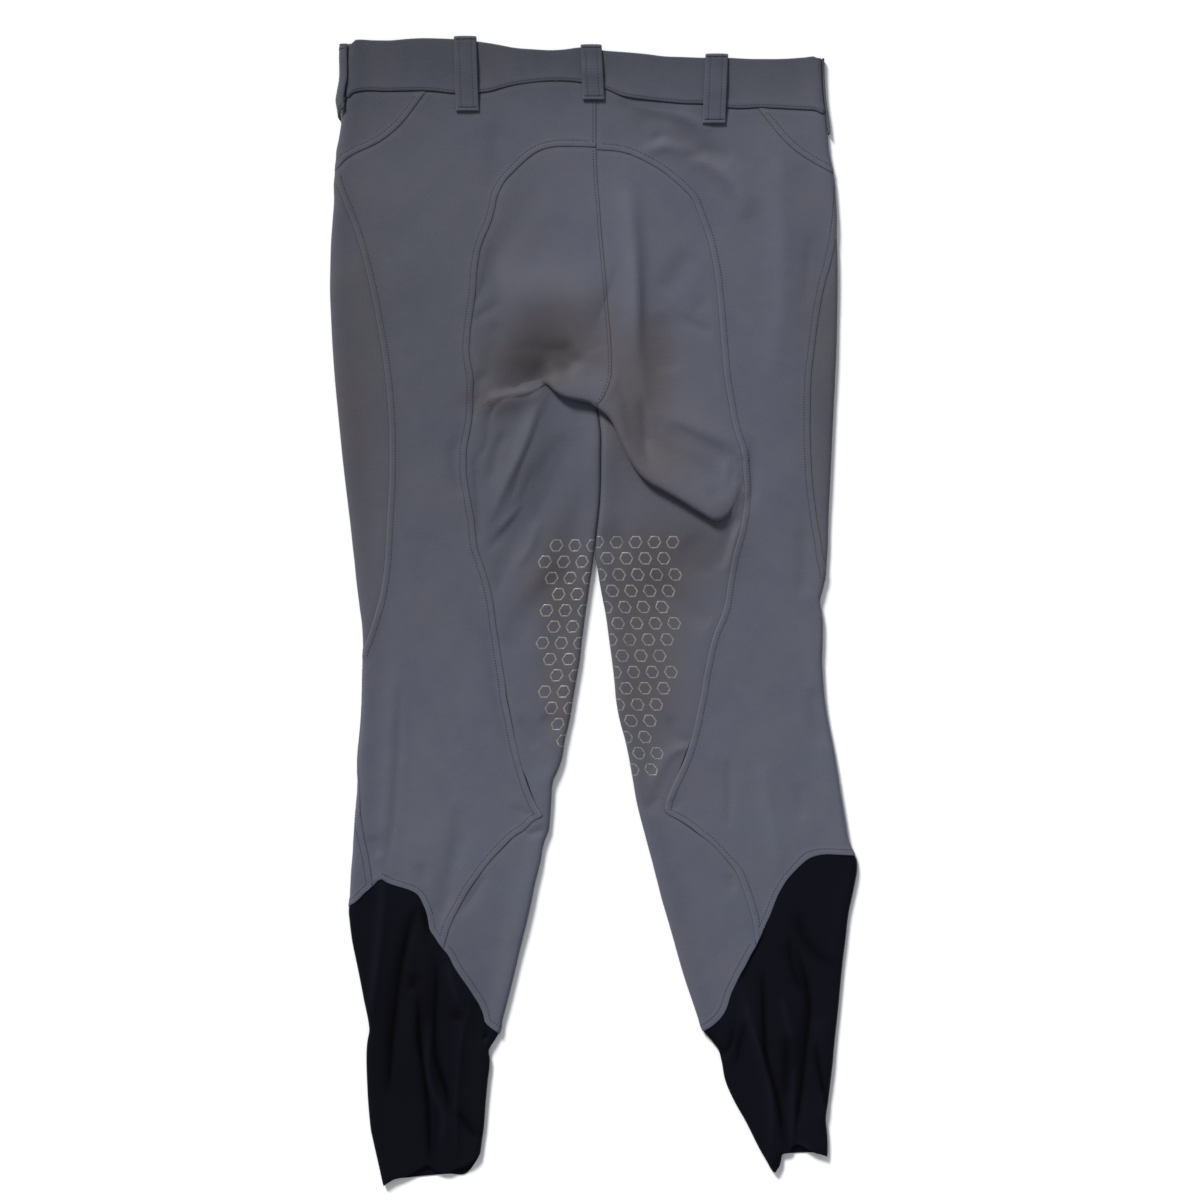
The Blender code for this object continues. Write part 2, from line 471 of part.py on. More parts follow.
def tuck_path(row, stretch):
    """The tuck's path below and above the row along its edge: y from that row, height, and lift share."""
    edge, back = math.pi * TUCK_EDGE, math.pi * TUCK_BACK
    total = 2 * TUCK_SPAN + edge + back + 2 * TUCK_DEPTH
    s = (0.5 - 0.5 * np.clip((row - TUCK_ROW) / TUCK_SPAN, -1.0, 1.0)) * total
    stops = np.cumsum([TUCK_SPAN, edge, TUCK_DEPTH, back])
    middle = TUCK_LOW + 2 * TUCK_BACK
    top = middle + 2 * TUCK_EDGE
    round_edge = (s - stops[0]) / TUCK_EDGE
    round_back = (s - stops[2]) / TUCK_BACK
    pieces = [s < stops[0], s < stops[1], s < stops[2], s < stops[3]]
    deep = TUCK_DEPTH * stretch
    below = (s - stops[3]) / (total - stops[3])
    y = np.select(
        pieces,
        [
            TUCK_SPAN - s,
            -TUCK_EDGE * stretch * np.sin(round_edge),
            (s - stops[1]) * stretch,
            deep + TUCK_BACK * stretch * np.sin(round_back),
        ],
        deep - below * (deep + TUCK_SPAN),
    )
    z = np.select(
        pieces,
        [
            top + 0 * s,
            top - TUCK_EDGE * (1 - np.cos(round_edge)),
            middle + 0.5 - (s - stops[1]) / TUCK_DEPTH,
            middle - 0.5 * (1 - round_back / math.pi * 2) - TUCK_BACK * (1 - np.cos(round_back)),
        ],
        TUCK_LOW + 0 * s,
    )
    rise = ease((s - TUCK_SPAN + TUCK_RISE) / TUCK_RISE)
    held = np.select(pieces, [rise, 1.0 + 0 * s, 1.0 + 0 * s, 1.0 + 0 * s], 1.0 - ease(below))
    return y, z, held


def row_shift(across):
    """How far the rows shift in y to follow the folded edge."""
    return TUCK_EDGE_Y(across) + TUCK_EDGE + SOFTSHELL / 2 - TUCK_ROW


def row_follow(row):
    reach = np.where(row > TUCK_ROW, TUCK_ABOVE, TUCK_BELOW)
    return 1.0 - ease(np.abs(row - TUCK_ROW) / reach)


def row_of(across, y):
    """The flat row that lies at y, away from the tuck itself."""
    row = np.array(y, float)
    for _ in range(60):
        row = y - row_shift(across) * row_follow(row)
    return row


def lowered_row(y):
    """The flat row at the inner fold line that lies at y, below the crotch."""
    rows = np.linspace(CROTCH_ROW, -420.0, 1200)
    return np.interp(y, lay_inner("left", np.zeros_like(rows), rows)[::-1, 1], rows[::-1])


def inner_opening(row):
    """How far the inner folds have parted, 0 to 1, and how far they curve in."""
    opened = ease((TUCK_ROW - row) / (TUCK_ROW - CROTCH_ROW))
    return opened, FOLD_REACH * ease((CROTCH_ROW - row) / CROTCH_ROUND)


def lay_inner(side, across, row):
    """Cloth of the seat and inner leg: beside the centre seam, through the tuck, round the inner fold."""
    aside = SIGN[side] * np.maximum(across - QUARTER, 0.0)
    share = TUCK_SHARE(aside)
    slope = (row_shift(aside + 2.0) - row_shift(aside - 2.0)) / 4.0
    plain = row + row_shift(aside) * row_follow(row)
    path_y, path_z, held = tuck_path(row, np.minimum(np.sqrt(1.0 + slope**2), 2.2))
    off = np.clip(row - TUCK_ROW, -TUCK_SPAN, TUCK_SPAN)
    y = plain + share * (path_y - off)
    opened, reach = inner_opening(row)
    fold = inner_x(side, y, opened)
    near = fold + SIGN[side] * reach
    inward, turn = turned(across, reach, 1.0, 0.0)
    x = fold + SIGN[side] * inward

    def lifted(at_x):
        return (1 - share * held) * back_height(side, at_x, y) + share * held * path_z

    low = SOFTSHELL / 2
    z = np.where(across > QUARTER, lifted(x), low + (lifted(near) - low) * turn)
    return np.stack([x, y, z], -1)


def crotch_row():
    """The flat row at the centre seam that lies a little behind the folded edge, on the thigh cloth."""
    rows = np.linspace(TUCK_ROW, TUCK_ROW - TUCK_SPAN, 2001)
    path_y, path_z, _ = tuck_path(rows, 1.0)
    low = path_z <= TUCK_LOW + 1e-6
    return float(np.interp(-CROTCH_BEHIND, -path_y[low], rows[low]))


CROTCH_ROW = crotch_row()
CROTCH_Y = float(lay_inner("left", np.array([0.0]), np.array([CROTCH_ROW]))[0, 1])


def ring_point(side, turn, y, wall, height):
    """A leg's tube: turn 0 at the outer fold, 0.5 at the inner fold by way of the back."""
    width = SIGN[side] * (outer_x(side, y) - inner_x(side, y))
    half = width - 2 * FOLD_REACH + 2 * QUARTER
    place = (turn % 1.0) * 2 * half
    place = np.where(place > half * 1.5, place - 2 * half, place)
    outer = lay_outer(side, place, y, wall, height)
    fold = inner_x(side, y)
    edge = height(side, fold + SIGN[side] * FOLD_REACH, y)
    inward, z = turned(half - place, FOLD_REACH, edge, wall / 2)
    x = fold + SIGN[side] * inward
    z = np.where(half - place > QUARTER, height(side, x, y), z)
    inner = np.stack([x, y, z], -1)
    return np.where((np.abs(place) < half / 2)[..., None], outer, inner)


# Lines in the flat cloth

def outer_across(side, x, y):
    """Cloth from the outer fold line to a place on the back."""
    return SIGN[side] * (outer_x(side, y) - x) - FOLD_REACH + QUARTER


def to_outer(side, line):
    """A line of the back in the flat cloth of the outer fold."""
    return np.stack([outer_across(side, line[:, 0], line[:, 1]), line[:, 1]], -1)


def to_inner(side, line):
    """A line of the back in the flat cloth of the inner fold."""
    x, y = line[:, 0], line[:, 1]
    row = y
    for _ in range(4):
        opened, reach = inner_opening(row)
        across = SIGN[side] * (x - inner_x(side, y, opened)) - reach + QUARTER
        row = row_of(SIGN[side] * np.maximum(across - QUARTER, 0.0), y)
    return np.stack([across, row], -1)


def between(line, low, high):
    """The part of a line whose first column lies in a range, ends added."""
    rising = line if line[0, 0] < line[-1, 0] else line[::-1]
    inside = rising[(rising[:, 0] > low + 1.0) & (rising[:, 0] < high - 1.0)]
    ends = [[at, np.interp(at, rising[:, 0], rising[:, 1])] for at in (low, high)]
    return np.vstack([ends[:1], inside, ends[1:]])


def waist_line(side, rows, front_center):
    """A line right across one half at the waist, from centre front round the fold to centre back."""
    back = smooth(rows, 2.0)
    back_y = np.interp(center_x(450.0), back[:, 0], back[:, 1])
    fold_y = np.interp(outer_x(side, 450.0), back[:, 0], back[:, 1])
    far = outer_across(side, center_x(back_y), back_y)
    behind = spread(QUARTER, far, SEAM_STEP)
    y = np.full(len(behind), back_y)
    for _ in range(4):
        x = outer_x(side, y) - SIGN[side] * (behind - QUARTER + FOLD_REACH)
        y = np.interp(x, back[:, 0], back[:, 1])
    y[0], y[-1] = fold_y, back_y
    front_y = fold_y + (front_center - fold_y) * ease((behind - QUARTER) / (far - QUARTER))
    front = behind.copy()
    front[-1] = outer_across(side, center_x(front_y[-1]), front_y[-1])
    across = np.concatenate([-front[::-1], FOLD_COLUMNS[1:-1], behind])
    return np.stack([across, np.concatenate([front_y[::-1], np.full(3, fold_y), y])], -1)


def hem_ring(side, back_rows, front_rows):
    """A hem right round a leg: turn and y, from the outer fold by way of the back."""
    back, front = leg_curve(back_rows), leg_curve(front_rows)
    y = back(0.5)
    half = abs(outer_x(side, y) - inner_x(side, y)) - 2 * FOLD_REACH + 2 * QUARTER
    corner = QUARTER / half
    arc = np.array([0.0, 0.5, 1.0]) * corner
    share = np.concatenate([
        arc[:-1],
        np.linspace(corner, 1.0 - corner, HEM_BACK_STEPS + 1),
        1.0 - arc[::-1][1:],
    ])
    straight = np.linspace(corner, 1.0 - corner, HEM_FRONT_STEPS + 1)
    flat = np.concatenate([arc[1:-1], straight, 1.0 - arc[1:-1]])
    flat = np.sort(flat)[::-1]
    rows_back = np.stack([share / 2, back(share)], -1)
    rows_front = np.stack([1.0 - flat / 2, front(flat)], -1)
    return np.vstack([rows_back, rows_front])


def hem_across(side, ring, fold):
    """The hem ring in the flat cloth of one fold."""
    y = ring[:, 1]
    half = SIGN[side] * (outer_x(side, y) - inner_x(side, y)) - 2 * FOLD_REACH + 2 * QUARTER
    place = ring[:, 0] * 2 * half
    if fold == "outer":
        return np.stack([np.where(ring[:, 0] > 0.5, place - 2 * half, place), y], -1)
    return np.stack([half - place, lowered_row(y)], -1)


# Meshes

def turn_way(outline):
    """Twice the signed area."""
    x, y = outline[:, 0], outline[:, 1]
    return float(np.sum(x * np.roll(y, -1) - np.roll(x, -1) * y))


def join(*lines):
    """One closed outline from lines that meet end to end."""
    points = []
    for line in lines:
        for point in line:
            if not points or np.hypot(*(np.array(point) - points[-1])) > 0.6:
                points.append(np.array(point, float))
    if np.hypot(*(points[0] - points[-1])) < 0.6:
        points.pop()
    outline = np.array(points)
    return outline if turn_way(outline) > 0 else outline[::-1]


def crossed(outline, columns):
    """The outline with a point wherever it crosses one of the given columns."""
    points = []
    for a, b in zip(outline, np.roll(outline, -1, axis=0)):
        points.append(a)
        cuts = [(c - a[0]) / (b[0] - a[0]) for c in columns if (a[0] - c) * (b[0] - c) < 0]
        for t in sorted(cuts):
            point = a + (b - a) * t
            if min(np.hypot(*(point - a)), np.hypot(*(point - b))) > 0.5:
                points.append(point)
    return np.array(points)


def inset(outline, distance):
    """The outline moved inwards."""
    ahead = np.roll(outline, -1, axis=0) - outline
    ahead /= np.linalg.norm(ahead, axis=1)[:, None]
    inward = np.stack([-ahead[:, 1], ahead[:, 0]], -1)
    before = np.roll(inward, 1, axis=0)
    mitre = inward + before
    scale = np.maximum(np.sum(mitre * inward, axis=1), SHARPEST)
    return outline + mitre / scale[:, None] * distance


def inside(outline, points, clear):
    """Which points lie in the outline, at least `clear` from it."""
    a, b = outline, np.roll(outline, -1, axis=0)
    px, py = points[:, 0:1], points[:, 1:2]
    rise = np.where(b[:, 1] == a[:, 1], 1e-12, b[:, 1] - a[:, 1])
    hit = ((a[:, 1] > py) != (b[:, 1] > py)) & (px < (b[:, 0] - a[:, 0]) * (py - a[:, 1]) / rise + a[:, 0])
    step = b - a
    t = np.clip(((px - a[:, 0]) * step[:, 0] + (py - a[:, 1]) * step[:, 1]) / np.sum(step**2, axis=1), 0, 1)
    away = np.hypot(px - a[:, 0] - t * step[:, 0], py - a[:, 1] - t * step[:, 1]).min(axis=1)
    return (hit.sum(axis=1) % 2 == 1) & (away > clear)


def lattice(columns, rows):
    across, along = np.meshgrid(columns, rows)
    return np.stack([across.ravel(), along.ravel()], -1)


def column_edges(outline, points):
    """Edges along the fold columns, which keep the folds true."""
    edges = []
    for column in FOLD_COLUMNS:
        on = np.flatnonzero(np.abs(points[:, 0] - column) < ON_COLUMN)
        on = on[np.argsort(points[on, 1])]
        clear = inside(outline, (points[on[:-1]] + points[on[1:]]) / 2, ON_COLUMN)
        edges += [(int(a), int(b)) for a, b, kept in zip(on, on[1:], clear) if kept]
    return edges


def filled(outline, zones):
    """Triangles over the outline; each zone is a lattice of points and its clearance."""
    inner = [points[inside(outline, points, clear)] for points, clear in zones]
    points = np.vstack([outline] + inner)
    ring = list(range(len(outline)))
    edges = column_edges(outline, points)
    made = delaunay_2d_cdt([Vector(p) for p in points], edges, [ring], 1, 1e-4)
    return np.array([tuple(v) for v in made[0]]), [tuple(f) for f in made[2]]


def outward(place, across, along, way):
    """Unit normals of the laid cloth, away from its inside."""
    step = 0.15
    along_u = place(across + step, along) - place(across - step, along)
    along_v = place(across, along + step) - place(across, along - step)
    normal = np.cross(along_u, along_v) * way
    return normal / np.linalg.norm(normal, axis=1)[:, None]


def add_object(name, vertices, faces, cloth):
    mesh = bpy.data.meshes.new(name)
    shift = np.array([CENTER_X, CENTER_Y, 0.0])
    mesh.from_pydata([tuple(v) for v in (vertices - shift) * 0.001], [], faces)
    mesh.materials.append(cloth)
    mesh.validate()
    mesh.shade_smooth()
    mesh.set_sharp_from_angle(angle=math.radians(50))
    made = bpy.data.objects.new(name, mesh)
    garment.objects.link(made)
    return made


def walled(name, middle, normal, faces, thickness, cloth, flipped):
    """A closed wall of even thickness on an open middle surface."""
    if flipped:
        faces = [face[::-1] for face in faces]
    count = len(middle)
    edges = {(a, b) for face in faces for a, b in zip(face, face[1:] + face[:1])}
    rim = []
    for a, b in sorted(edges):
        if (b, a) in edges:
            continue
        # Both pieces at a seam split their edge walls along the same diagonal.
        if tuple(middle[a][1::-1]) > tuple(middle[b][1::-1]):
            rim += [(b, a, b + count), (a, a + count, b + count)]
        else:
            rim += [(b, a, a + count), (b, a + count, b + count)]
    inner = [tuple(i + count for i in face[::-1]) for face in faces]
    vertices = np.vstack([middle + normal * thickness / 2, middle - normal * thickness / 2])
    return add_object(name, vertices, list(faces) + inner + rim, cloth)


def panel(name, outline, zones, place, way, thickness, cloth):
    """A cut piece laid in its place with its wall."""
    flat, faces = filled(inset(outline, SEAM_GAP / 2), zones)
    across, along = flat[:, 0], flat[:, 1]
    normal = outward(place, across, along, way)
    return walled(name, place(across, along), normal, faces, thickness, cloth, way < 0)


def outer_zones(low, high, grid):
    """Lattices for a piece laid over the outer fold."""
    rows = spread(CLOTH_LOW, CLOTH_HIGH, grid)
    fold_rows = spread(CLOTH_LOW, CLOTH_HIGH, GRID_FOLD)
    sparse = spread(CLOTH_LOW, CLOTH_HIGH, GRID_FRONT)
    return [
        (lattice(FOLD_COLUMNS, fold_rows), FOLD_CLEAR),
        (lattice(spread(QUARTER + 12.0, high, grid), rows), grid * CLEAR),
        (lattice(spread(low, -QUARTER - 16.0, GRID_FRONT), sparse), GRID_FRONT * CLEAR),
    ]


def tuck_rows():
    """Rows of the flat panel at the turns of the tuck."""
    edge, back = math.pi * TUCK_EDGE, math.pi * TUCK_BACK
    total = 2 * TUCK_SPAN + edge + back + 2 * TUCK_DEPTH
    stops = np.cumsum([TUCK_SPAN, edge, TUCK_DEPTH, back])
    s = np.concatenate([
        [0.0, 14.0, 27.0, 36.0],
        np.linspace(stops[0], stops[1], 5),
        [(stops[1] + stops[2]) / 2],
        np.linspace(stops[2], stops[3], 5),
        stops[3] + np.array([8.0, 20.0, 36.0]),
        [total],
    ])
    return TUCK_ROW + TUCK_SPAN - 2 * TUCK_SPAN * s / total


# Pieces of one leg

def seams(side):
    """The lines that several pieces share, as flat cloth of the outer fold."""
    waist = waist_line(side, BAND_SEAM, FRONT_SEAM_Y)
    half = to_outer(side, np.array(YOKE_SEAM[side]))
    end = half[0, 0]
    half[0, 1] = np.interp(end, waist[:, 0], waist[:, 1])
    drop = np.interp(-end, waist[:, 0], waist[:, 1]) - half[0, 1]
    front = half[::-1] * (-1.0, 1.0)
    front[:, 1] += drop * ease(-front[:, 0] / end)
    yoke = smooth(np.vstack([half, [(0.0, YOKE_AT_FOLD[side])], front]), SEAM_STEP / 2)
    top = (SIDE_TOP[side], np.interp(-SIDE_TOP[side], -yoke[:, 0], yoke[:, 1]))
    foot = (0.0, SIDE_FOOT[side])
    side_back = smooth(np.vstack([top, to_outer(side, np.array(SIDE_SEAM[side])), foot]), SEAM_STEP)
    axis = top[0] * (side_back[:, 1] - foot[1]) / (top[1] - foot[1])
    side_front = np.stack([axis - INSERT_FRONT * (side_back[:, 0] - axis), side_back[:, 1]], -1)
    return {
        "end": end,
        "top": top[0],
        "waist": waist,
        "yoke": yoke,
        "side_back": side_back,
        "side_front": side_front,
        "shin": smooth(SHIN_SEAM[side], SEAM_STEP),
    }


def calf_hem(side):
    return hem_ring(side, HEM_BACK[side], HEM_FRONT[side])


def front_seam_line(side):
    """The front's inner seam in place, x and y, from the crotch to below the hem."""
    rows = [(inward, CROTCH_Y if y is None else y) for inward, y in FRONT_SEAM]
    line = smooth(rows, SEAM_STEP)
    x = inner_x(side, line[:, 1]) + SIGN[side] * line[:, 0]
    return np.stack([x, line[:, 1]], -1)


def cut_at_hem(line, hem):
    """A line in flat cloth down to the hem, with its crossing point."""
    order = np.argsort(hem[:, 0])
    edge = np.interp(line[:, 0], hem[order, 0], hem[order, 1])
    above = line[:, 1] > edge + 2.0
    kept = line[above]
    last = line[len(kept)] if len(kept) < len(line) else kept[-1] + (kept[-1] - kept[-2])
    foot = kept[-1]
    for _ in range(30):
        target = np.interp(last[0], hem[order, 0], hem[order, 1])
        share = (foot[1] - target) / (foot[1] - last[1])
        last = foot + (last - foot) * share
    return np.vstack([kept, [last]])


def front_across(side, line, fold):
    """A line of the front in the flat cloth of one fold."""
    x, y = line[:, 0], line[:, 1]
    if fold == "outer":
        return np.stack([-outer_across(side, x, y), y], -1)
    row = lowered_row(y)
    return np.stack([inner_opening(row)[1] - SIGN[side] * (x - inner_x(side, y)) - QUARTER, row], -1)


def outer_pieces(side, cloth):
    """Yoke, thigh insert, back panel and front panel."""
    line = seams(side)
    way = -SIGN[side]

    def place(across, y):
        return lay_outer(side, across, y)

    end, top, waist, yoke = line["end"], line["top"], line["waist"], line["yoke"]
    hem = hem_across(side, calf_hem(side), "outer")
    hem = hem[np.argsort(hem[:, 0])]

    outline = crossed(join(between(waist, -end, end)[::-1], between(yoke, -end, end)), FOLD_COLUMNS)
    panel("yoke_" + side, outline, outer_zones(-end, end, GRID_BACK), place, way, SOFTSHELL, cloth)

    outline = crossed(join(line["side_back"], line["side_front"][::-1]), FOLD_COLUMNS)
    panel("side_" + side, outline, outer_zones(-40.0, 60.0, GRID_BACK), place, way, SOFTSHELL, cloth)

    seat = to_outer(side, smooth(SEAT_SEAM[side], SEAM_STEP))
    calf = cut_at_hem(to_outer(side, smooth(CALF_SEAM[side], SEAM_STEP)), hem)
    shin = cut_at_hem(line["shin"], hem)
    center_y = spread(waist[-1, 1], seat[0, 1], SEAM_STEP)
    center = np.stack([outer_across(side, center_x(center_y), center_y), center_y], -1)
    outline = join(
        between(waist, end, waist[-1, 0]), center, seat, calf,
        between(hem, shin[-1, 0], calf[-1, 0])[::-1], shin[::-1], line["side_back"][::-1],
        between(yoke, top, end),
    )
    outline = crossed(outline, FOLD_COLUMNS)
    panel("back_" + side, outline, outer_zones(-40.0, 240.0, GRID_BACK), place, way, SOFTSHELL, cloth)

    inseam = front_seam_line(side)
    corner = front_across(side, np.array([[center_x(CROTCH_Y), CROTCH_Y]]), "outer")
    inseam = cut_at_hem(front_across(side, inseam, "outer"), hem)
    down_y = spread(waist[0, 1], CROTCH_Y, SEAM_STEP)
    down = np.stack([-outer_across(side, center_x(down_y), down_y), down_y], -1)
    outline = join(
        between(waist, waist[0, 0], -end), between(yoke, -end, top), line["side_front"], shin,
        between(hem, inseam[-1, 0], shin[-1, 0])[::-1], inseam[::-1], corner, down[::-1],
    )
    outline = crossed(outline, FOLD_COLUMNS)
    panel("front_" + side, outline, outer_zones(-260.0, 40.0, GRID_FRONT), place, way, SOFTSHELL, cloth)


def inner_piece(side, cloth):
    """Seat, inner thigh and inner calf in one, round the inner fold."""
    hem = hem_across(side, calf_hem(side), "inner")
    hem = hem[np.argsort(hem[:, 0])]
    seat = to_inner(side, smooth(SEAT_SEAM[side], SEAM_STEP))
    calf = cut_at_hem(to_inner(side, smooth(CALF_SEAM[side], SEAM_STEP)), hem)
    inseam = cut_at_hem(front_across(side, front_seam_line(side), "inner"), hem)
    rows = tuck_rows()
    edge_rows = rows[rows > CROTCH_ROW + 0.5]
    upper = spread(seat[0, 1], edge_rows[0], GRID_SEAT)[:-1]
    center = np.concatenate([upper, edge_rows, [CROTCH_ROW]])
    center = np.stack([np.full(len(center), QUARTER), center], -1)
    crotch = np.array([(column, CROTCH_ROW) for column in FOLD_COLUMNS[-2::-1]])
    outline = join(
        center, crotch, inseam, between(hem, inseam[-1, 0], calf[-1, 0]), calf[::-1], seat[::-1]
    )
    outline = crossed(outline, FOLD_COLUMNS)
    above = spread(rows[0] + GRID_TUCK, CLOTH_HIGH, GRID_SEAT)
    below = spread(CLOTH_LOW, rows[-1] - GRID_TUCK, GRID_SEAT)
    columns = spread(QUARTER + 9.0, 180.0, GRID_SEAT)
    front_columns = spread(-70.0, -QUARTER - 12.0, GRID_FRONT / 2)
    fold_rows = spread(CLOTH_LOW, rows[-1] - GRID_TUCK, GRID_FOLD)
    zones = [
        (lattice(FOLD_COLUMNS, np.concatenate([fold_rows, rows[rows < CROTCH_ROW - 1.0]])), FOLD_CLEAR),
        (lattice(spread(QUARTER + 7.0, 150.0, GRID_TUCK), rows), FOLD_CLEAR / 2),
        (lattice(columns, above), GRID_SEAT * CLEAR),
        (lattice(columns, below), GRID_SEAT * CLEAR),
        (lattice(front_columns, spread(CLOTH_LOW, rows[-1], GRID_FRONT)), GRID_FRONT / 2 * CLEAR),
    ]

    def place(across, row):
        return lay_inner(side, across, row)

    panel("inner_" + side, outline, zones, place, SIGN[side], SOFTSHELL, cloth)


def lofted(name, points, normals, thickness, cloth, flipped, closed=False):
    """A wall on rows of points."""
    rows, columns = points.shape[:2]
    faces = []
    for i in range(rows - 1):
        for j in range(columns if closed else columns - 1):
            k = (j + 1) % columns
            faces.append((i * columns + j, i * columns + k, (i + 1) * columns + k, (i + 1) * columns + j))
    return walled(name, points.reshape(-1, 3), normals.reshape(-1, 3), faces, thickness, cloth, flipped)


def leg_end(side, cloth):
    """The lycra tube below the calf hem."""
    top = calf_hem(side)
    bottom = hem_ring(side, END_BACK[side], END_FRONT[side])
    turn = top[:, 0]
    order = np.argsort(bottom[:, 0])
    end_y = np.interp(turn, bottom[order, 0], bottom[order, 1])
    ahead = np.roll(top, -1, axis=0) - top
    width = abs(outer_x(side, top[:, 1]) - inner_x(side, top[:, 1]))
    slope = np.abs(ahead[:, 1] / ((ahead[:, 0] + 0.5) % 1.0 - 0.5)) / (2 * width)
    slope = np.maximum(slope, np.roll(slope, 1))
    start_y = top[:, 1] - SEAM_GAP * 1.1 * np.sqrt(1.0 + slope**2)
    share = np.linspace(0.0, 1.0, LYCRA_ROWS)[:, None]
    y = start_y * (1 - share) + end_y * share
    turns = np.broadcast_to(turn, y.shape)

    def place(at_turn, at_y):
        return ring_point(side, at_turn, at_y, LYCRA, lycra_height)

    step = 0.0004
    along_u = place(turns + step, y) - place(turns - step, y)
    along_v = place(turns, y + 0.15) - place(turns, y - 0.15)
    normal = np.cross(along_u, along_v) * -SIGN[side]
    normal /= np.linalg.norm(normal, axis=-1)[..., None]
    lofted("sock_" + side, place(turns, y), normal, LYCRA, cloth, side == "left", closed=True)


# Waistband, loops and zip

def band_grid(side):
    """Flat cloth of one half of the waistband."""
    seam = waist_line(side, BAND_SEAM, FRONT_SEAM_Y)
    top = waist_line(side, BAND_TOP, FRONT_TOP_Y)
    across = seam[:, 0]
    low = seam[:, 1] + SEAM_GAP
    high = np.interp(across, top[:, 0], top[:, 1])
    share = BAND_ROWS[:, None]
    y = low * (1 - share) + high * share
    return np.broadcast_to(across, y.shape), y


def laid_band(side, across, y):
    """Points and normals of the waistband's middle."""
    def place(u, v):
        return lay_outer(side, u, v, BAND, band_height)

    flat_u, flat_v = across.ravel(), y.ravel()
    normal = outward(place, flat_u, flat_v, -SIGN[side])
    return place(flat_u, flat_v).reshape(across.shape + (3,)), normal.reshape(across.shape + (3,))


def waistband(cloth):
    halves = {}
    for side in SIDES:
        across, y = band_grid(side)
        points, normals = laid_band(side, across, y)
        points[:, -1, 0] = center_x(y[:, -1])
        points[:, 0, 0] = center_x(y[:, 0]) + SIGN[side] * SEAM_GAP / 2
        halves[side] = (points, normals)
    left, right = halves["left"], halves["right"]
    points = np.concatenate([left[0], right[0][:, -2::-1]], axis=1)
    normals = np.concatenate([left[1], right[1][:, -2::-1]], axis=1)
    lofted("waistband", points, normals, BAND, cloth, False)


def back_loop(name, cloth):
    """A belt loop over the waistband of the back, its upper end over the band's edge."""
    x, low, high = LOOPS[name]
    side = "left" if x < 0 else "right"
    out = BAND / 2 + SEAM_GAP + LOOP / 2
    ends = [x - LOOP_WIDTH / 2, x + LOOP_WIDTH / 2]
    edge = smooth(BAND_TOP, 2.0)
    band_top = np.interp(x, edge[:, 0], edge[:, 1])
    straight = np.array([low, low + 8.0, (low + band_top) / 2, band_top - 8.0, band_top])
    bulge = np.array([0.0, 0.0, 1.2, 0.3, 0.0])
    under = band_height(side, np.array([x]), np.array([band_top]))[0] + out
    angles = np.radians([30.0, 60.0, 90.0])
    turn_y = band_top + out * np.sin(angles)
    turn_z = under - out * (1.0 - np.cos(angles))
    y = np.concatenate([straight, turn_y, [turn_y[-1]]])
    z = np.concatenate([under + bulge, turn_z, [turn_z[-1] - BAND * 0.4]])
    path = np.stack([y, z], -1)
    along = np.gradient(path, axis=0)
    along /= np.linalg.norm(along, axis=1)[:, None]
    points = np.array([[(at_x, p[0], p[1]) for at_x in ends] for p in path])
    normals = np.array([[(0.0, -a[1], a[0])] * 2 for a in along])
    lofted(name, points, normals, LOOP, cloth, False)


def side_loop(name, cloth):
    """A belt loop that lies over a side fold."""
    side, start, end, low, low_end, high = SIDE_LOOPS[name]
    columns = np.array([start] + [c for c in FOLD_COLUMNS if start + 0.5 < c < end - 0.5] + [end])
    lowest = np.interp(columns, [start, end], [low, low_end])
    y = high + (lowest - high) * np.array([[1.0], [0.86], [0.72], [0.58], [0.36], [0.0]])
    across = np.broadcast_to(columns, y.shape)
    points, normals = laid_band(side, across, y)
    points = points + normals * (BAND / 2 + SEAM_GAP + LOOP / 2)
    points[..., 0] += SIGN[side] * table_curve(SIDE_BULGE[side], 0, 1)(y)
    points[..., 2] = np.maximum(points[..., 2], LOOP / 2)
    lofted(name, points, normals, LOOP, cloth, side == "right")


def fly_zip(cloth):
    """Zip tape behind the opening of the front."""
    top = FRONT_SEAM_Y - 4.0
    y = np.linspace(top - FLY_LENGTH, top, 4)
    z = SOFTSHELL + SEAM_GAP + TAPE / 2
    points = np.array([
        [(center_x(v) - FLY_WIDTH / 2, v, z), (center_x(v) + FLY_WIDTH / 2, v, z)] for v in y
    ])
    normals = np.zeros_like(points)
    normals[..., 2] = 1.0
    lofted("fly_zip", points, normals, TAPE, cloth, False)


def material(name, colour, roughness):
    made = bpy.data.materials.new(name)
    made.use_nodes = True
    shader = made.node_tree.nodes["Principled BSDF"]
    shader.inputs["Base Color"].default_value = (*colour, 1.0)
    shader.inputs["Roughness"].default_value = roughness
    shader.inputs["Metallic"].default_value = 0.0
    return made


for old in list(bpy.data.objects):
    bpy.data.objects.remove(old)
garment = bpy.data.collections.new("riding_breeches")
bpy.context.scene.collection.children.link(garment)

softshell = material("grey softshell", (0.085, 0.092, 0.12), 0.75)
lycra = material("black lycra", (0.006, 0.006, 0.010), 0.6)
tape = material("zip tape", (0.03, 0.03, 0.035), 0.8)

waistband(softshell)
for loop_name in LOOPS:
    back_loop(loop_name, softshell)
for loop_name in SIDE_LOOPS:
    side_loop(loop_name, softshell)
for leg in SIDES:
    outer_pieces(leg, softshell)
    inner_piece(leg, softshell)
    leg_end(leg, lycra)
fly_zip(tape)
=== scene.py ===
"""Riding breeches laid flat on their front, back side up: cloth, creases, sewing and knee grip.

The garment's tables and the way it lies are the model's own, drawn here with finer points.
Millimetres in the tables, metres in the meshes, +Y towards the waist. "Left" is the side at -X.
"""
import math

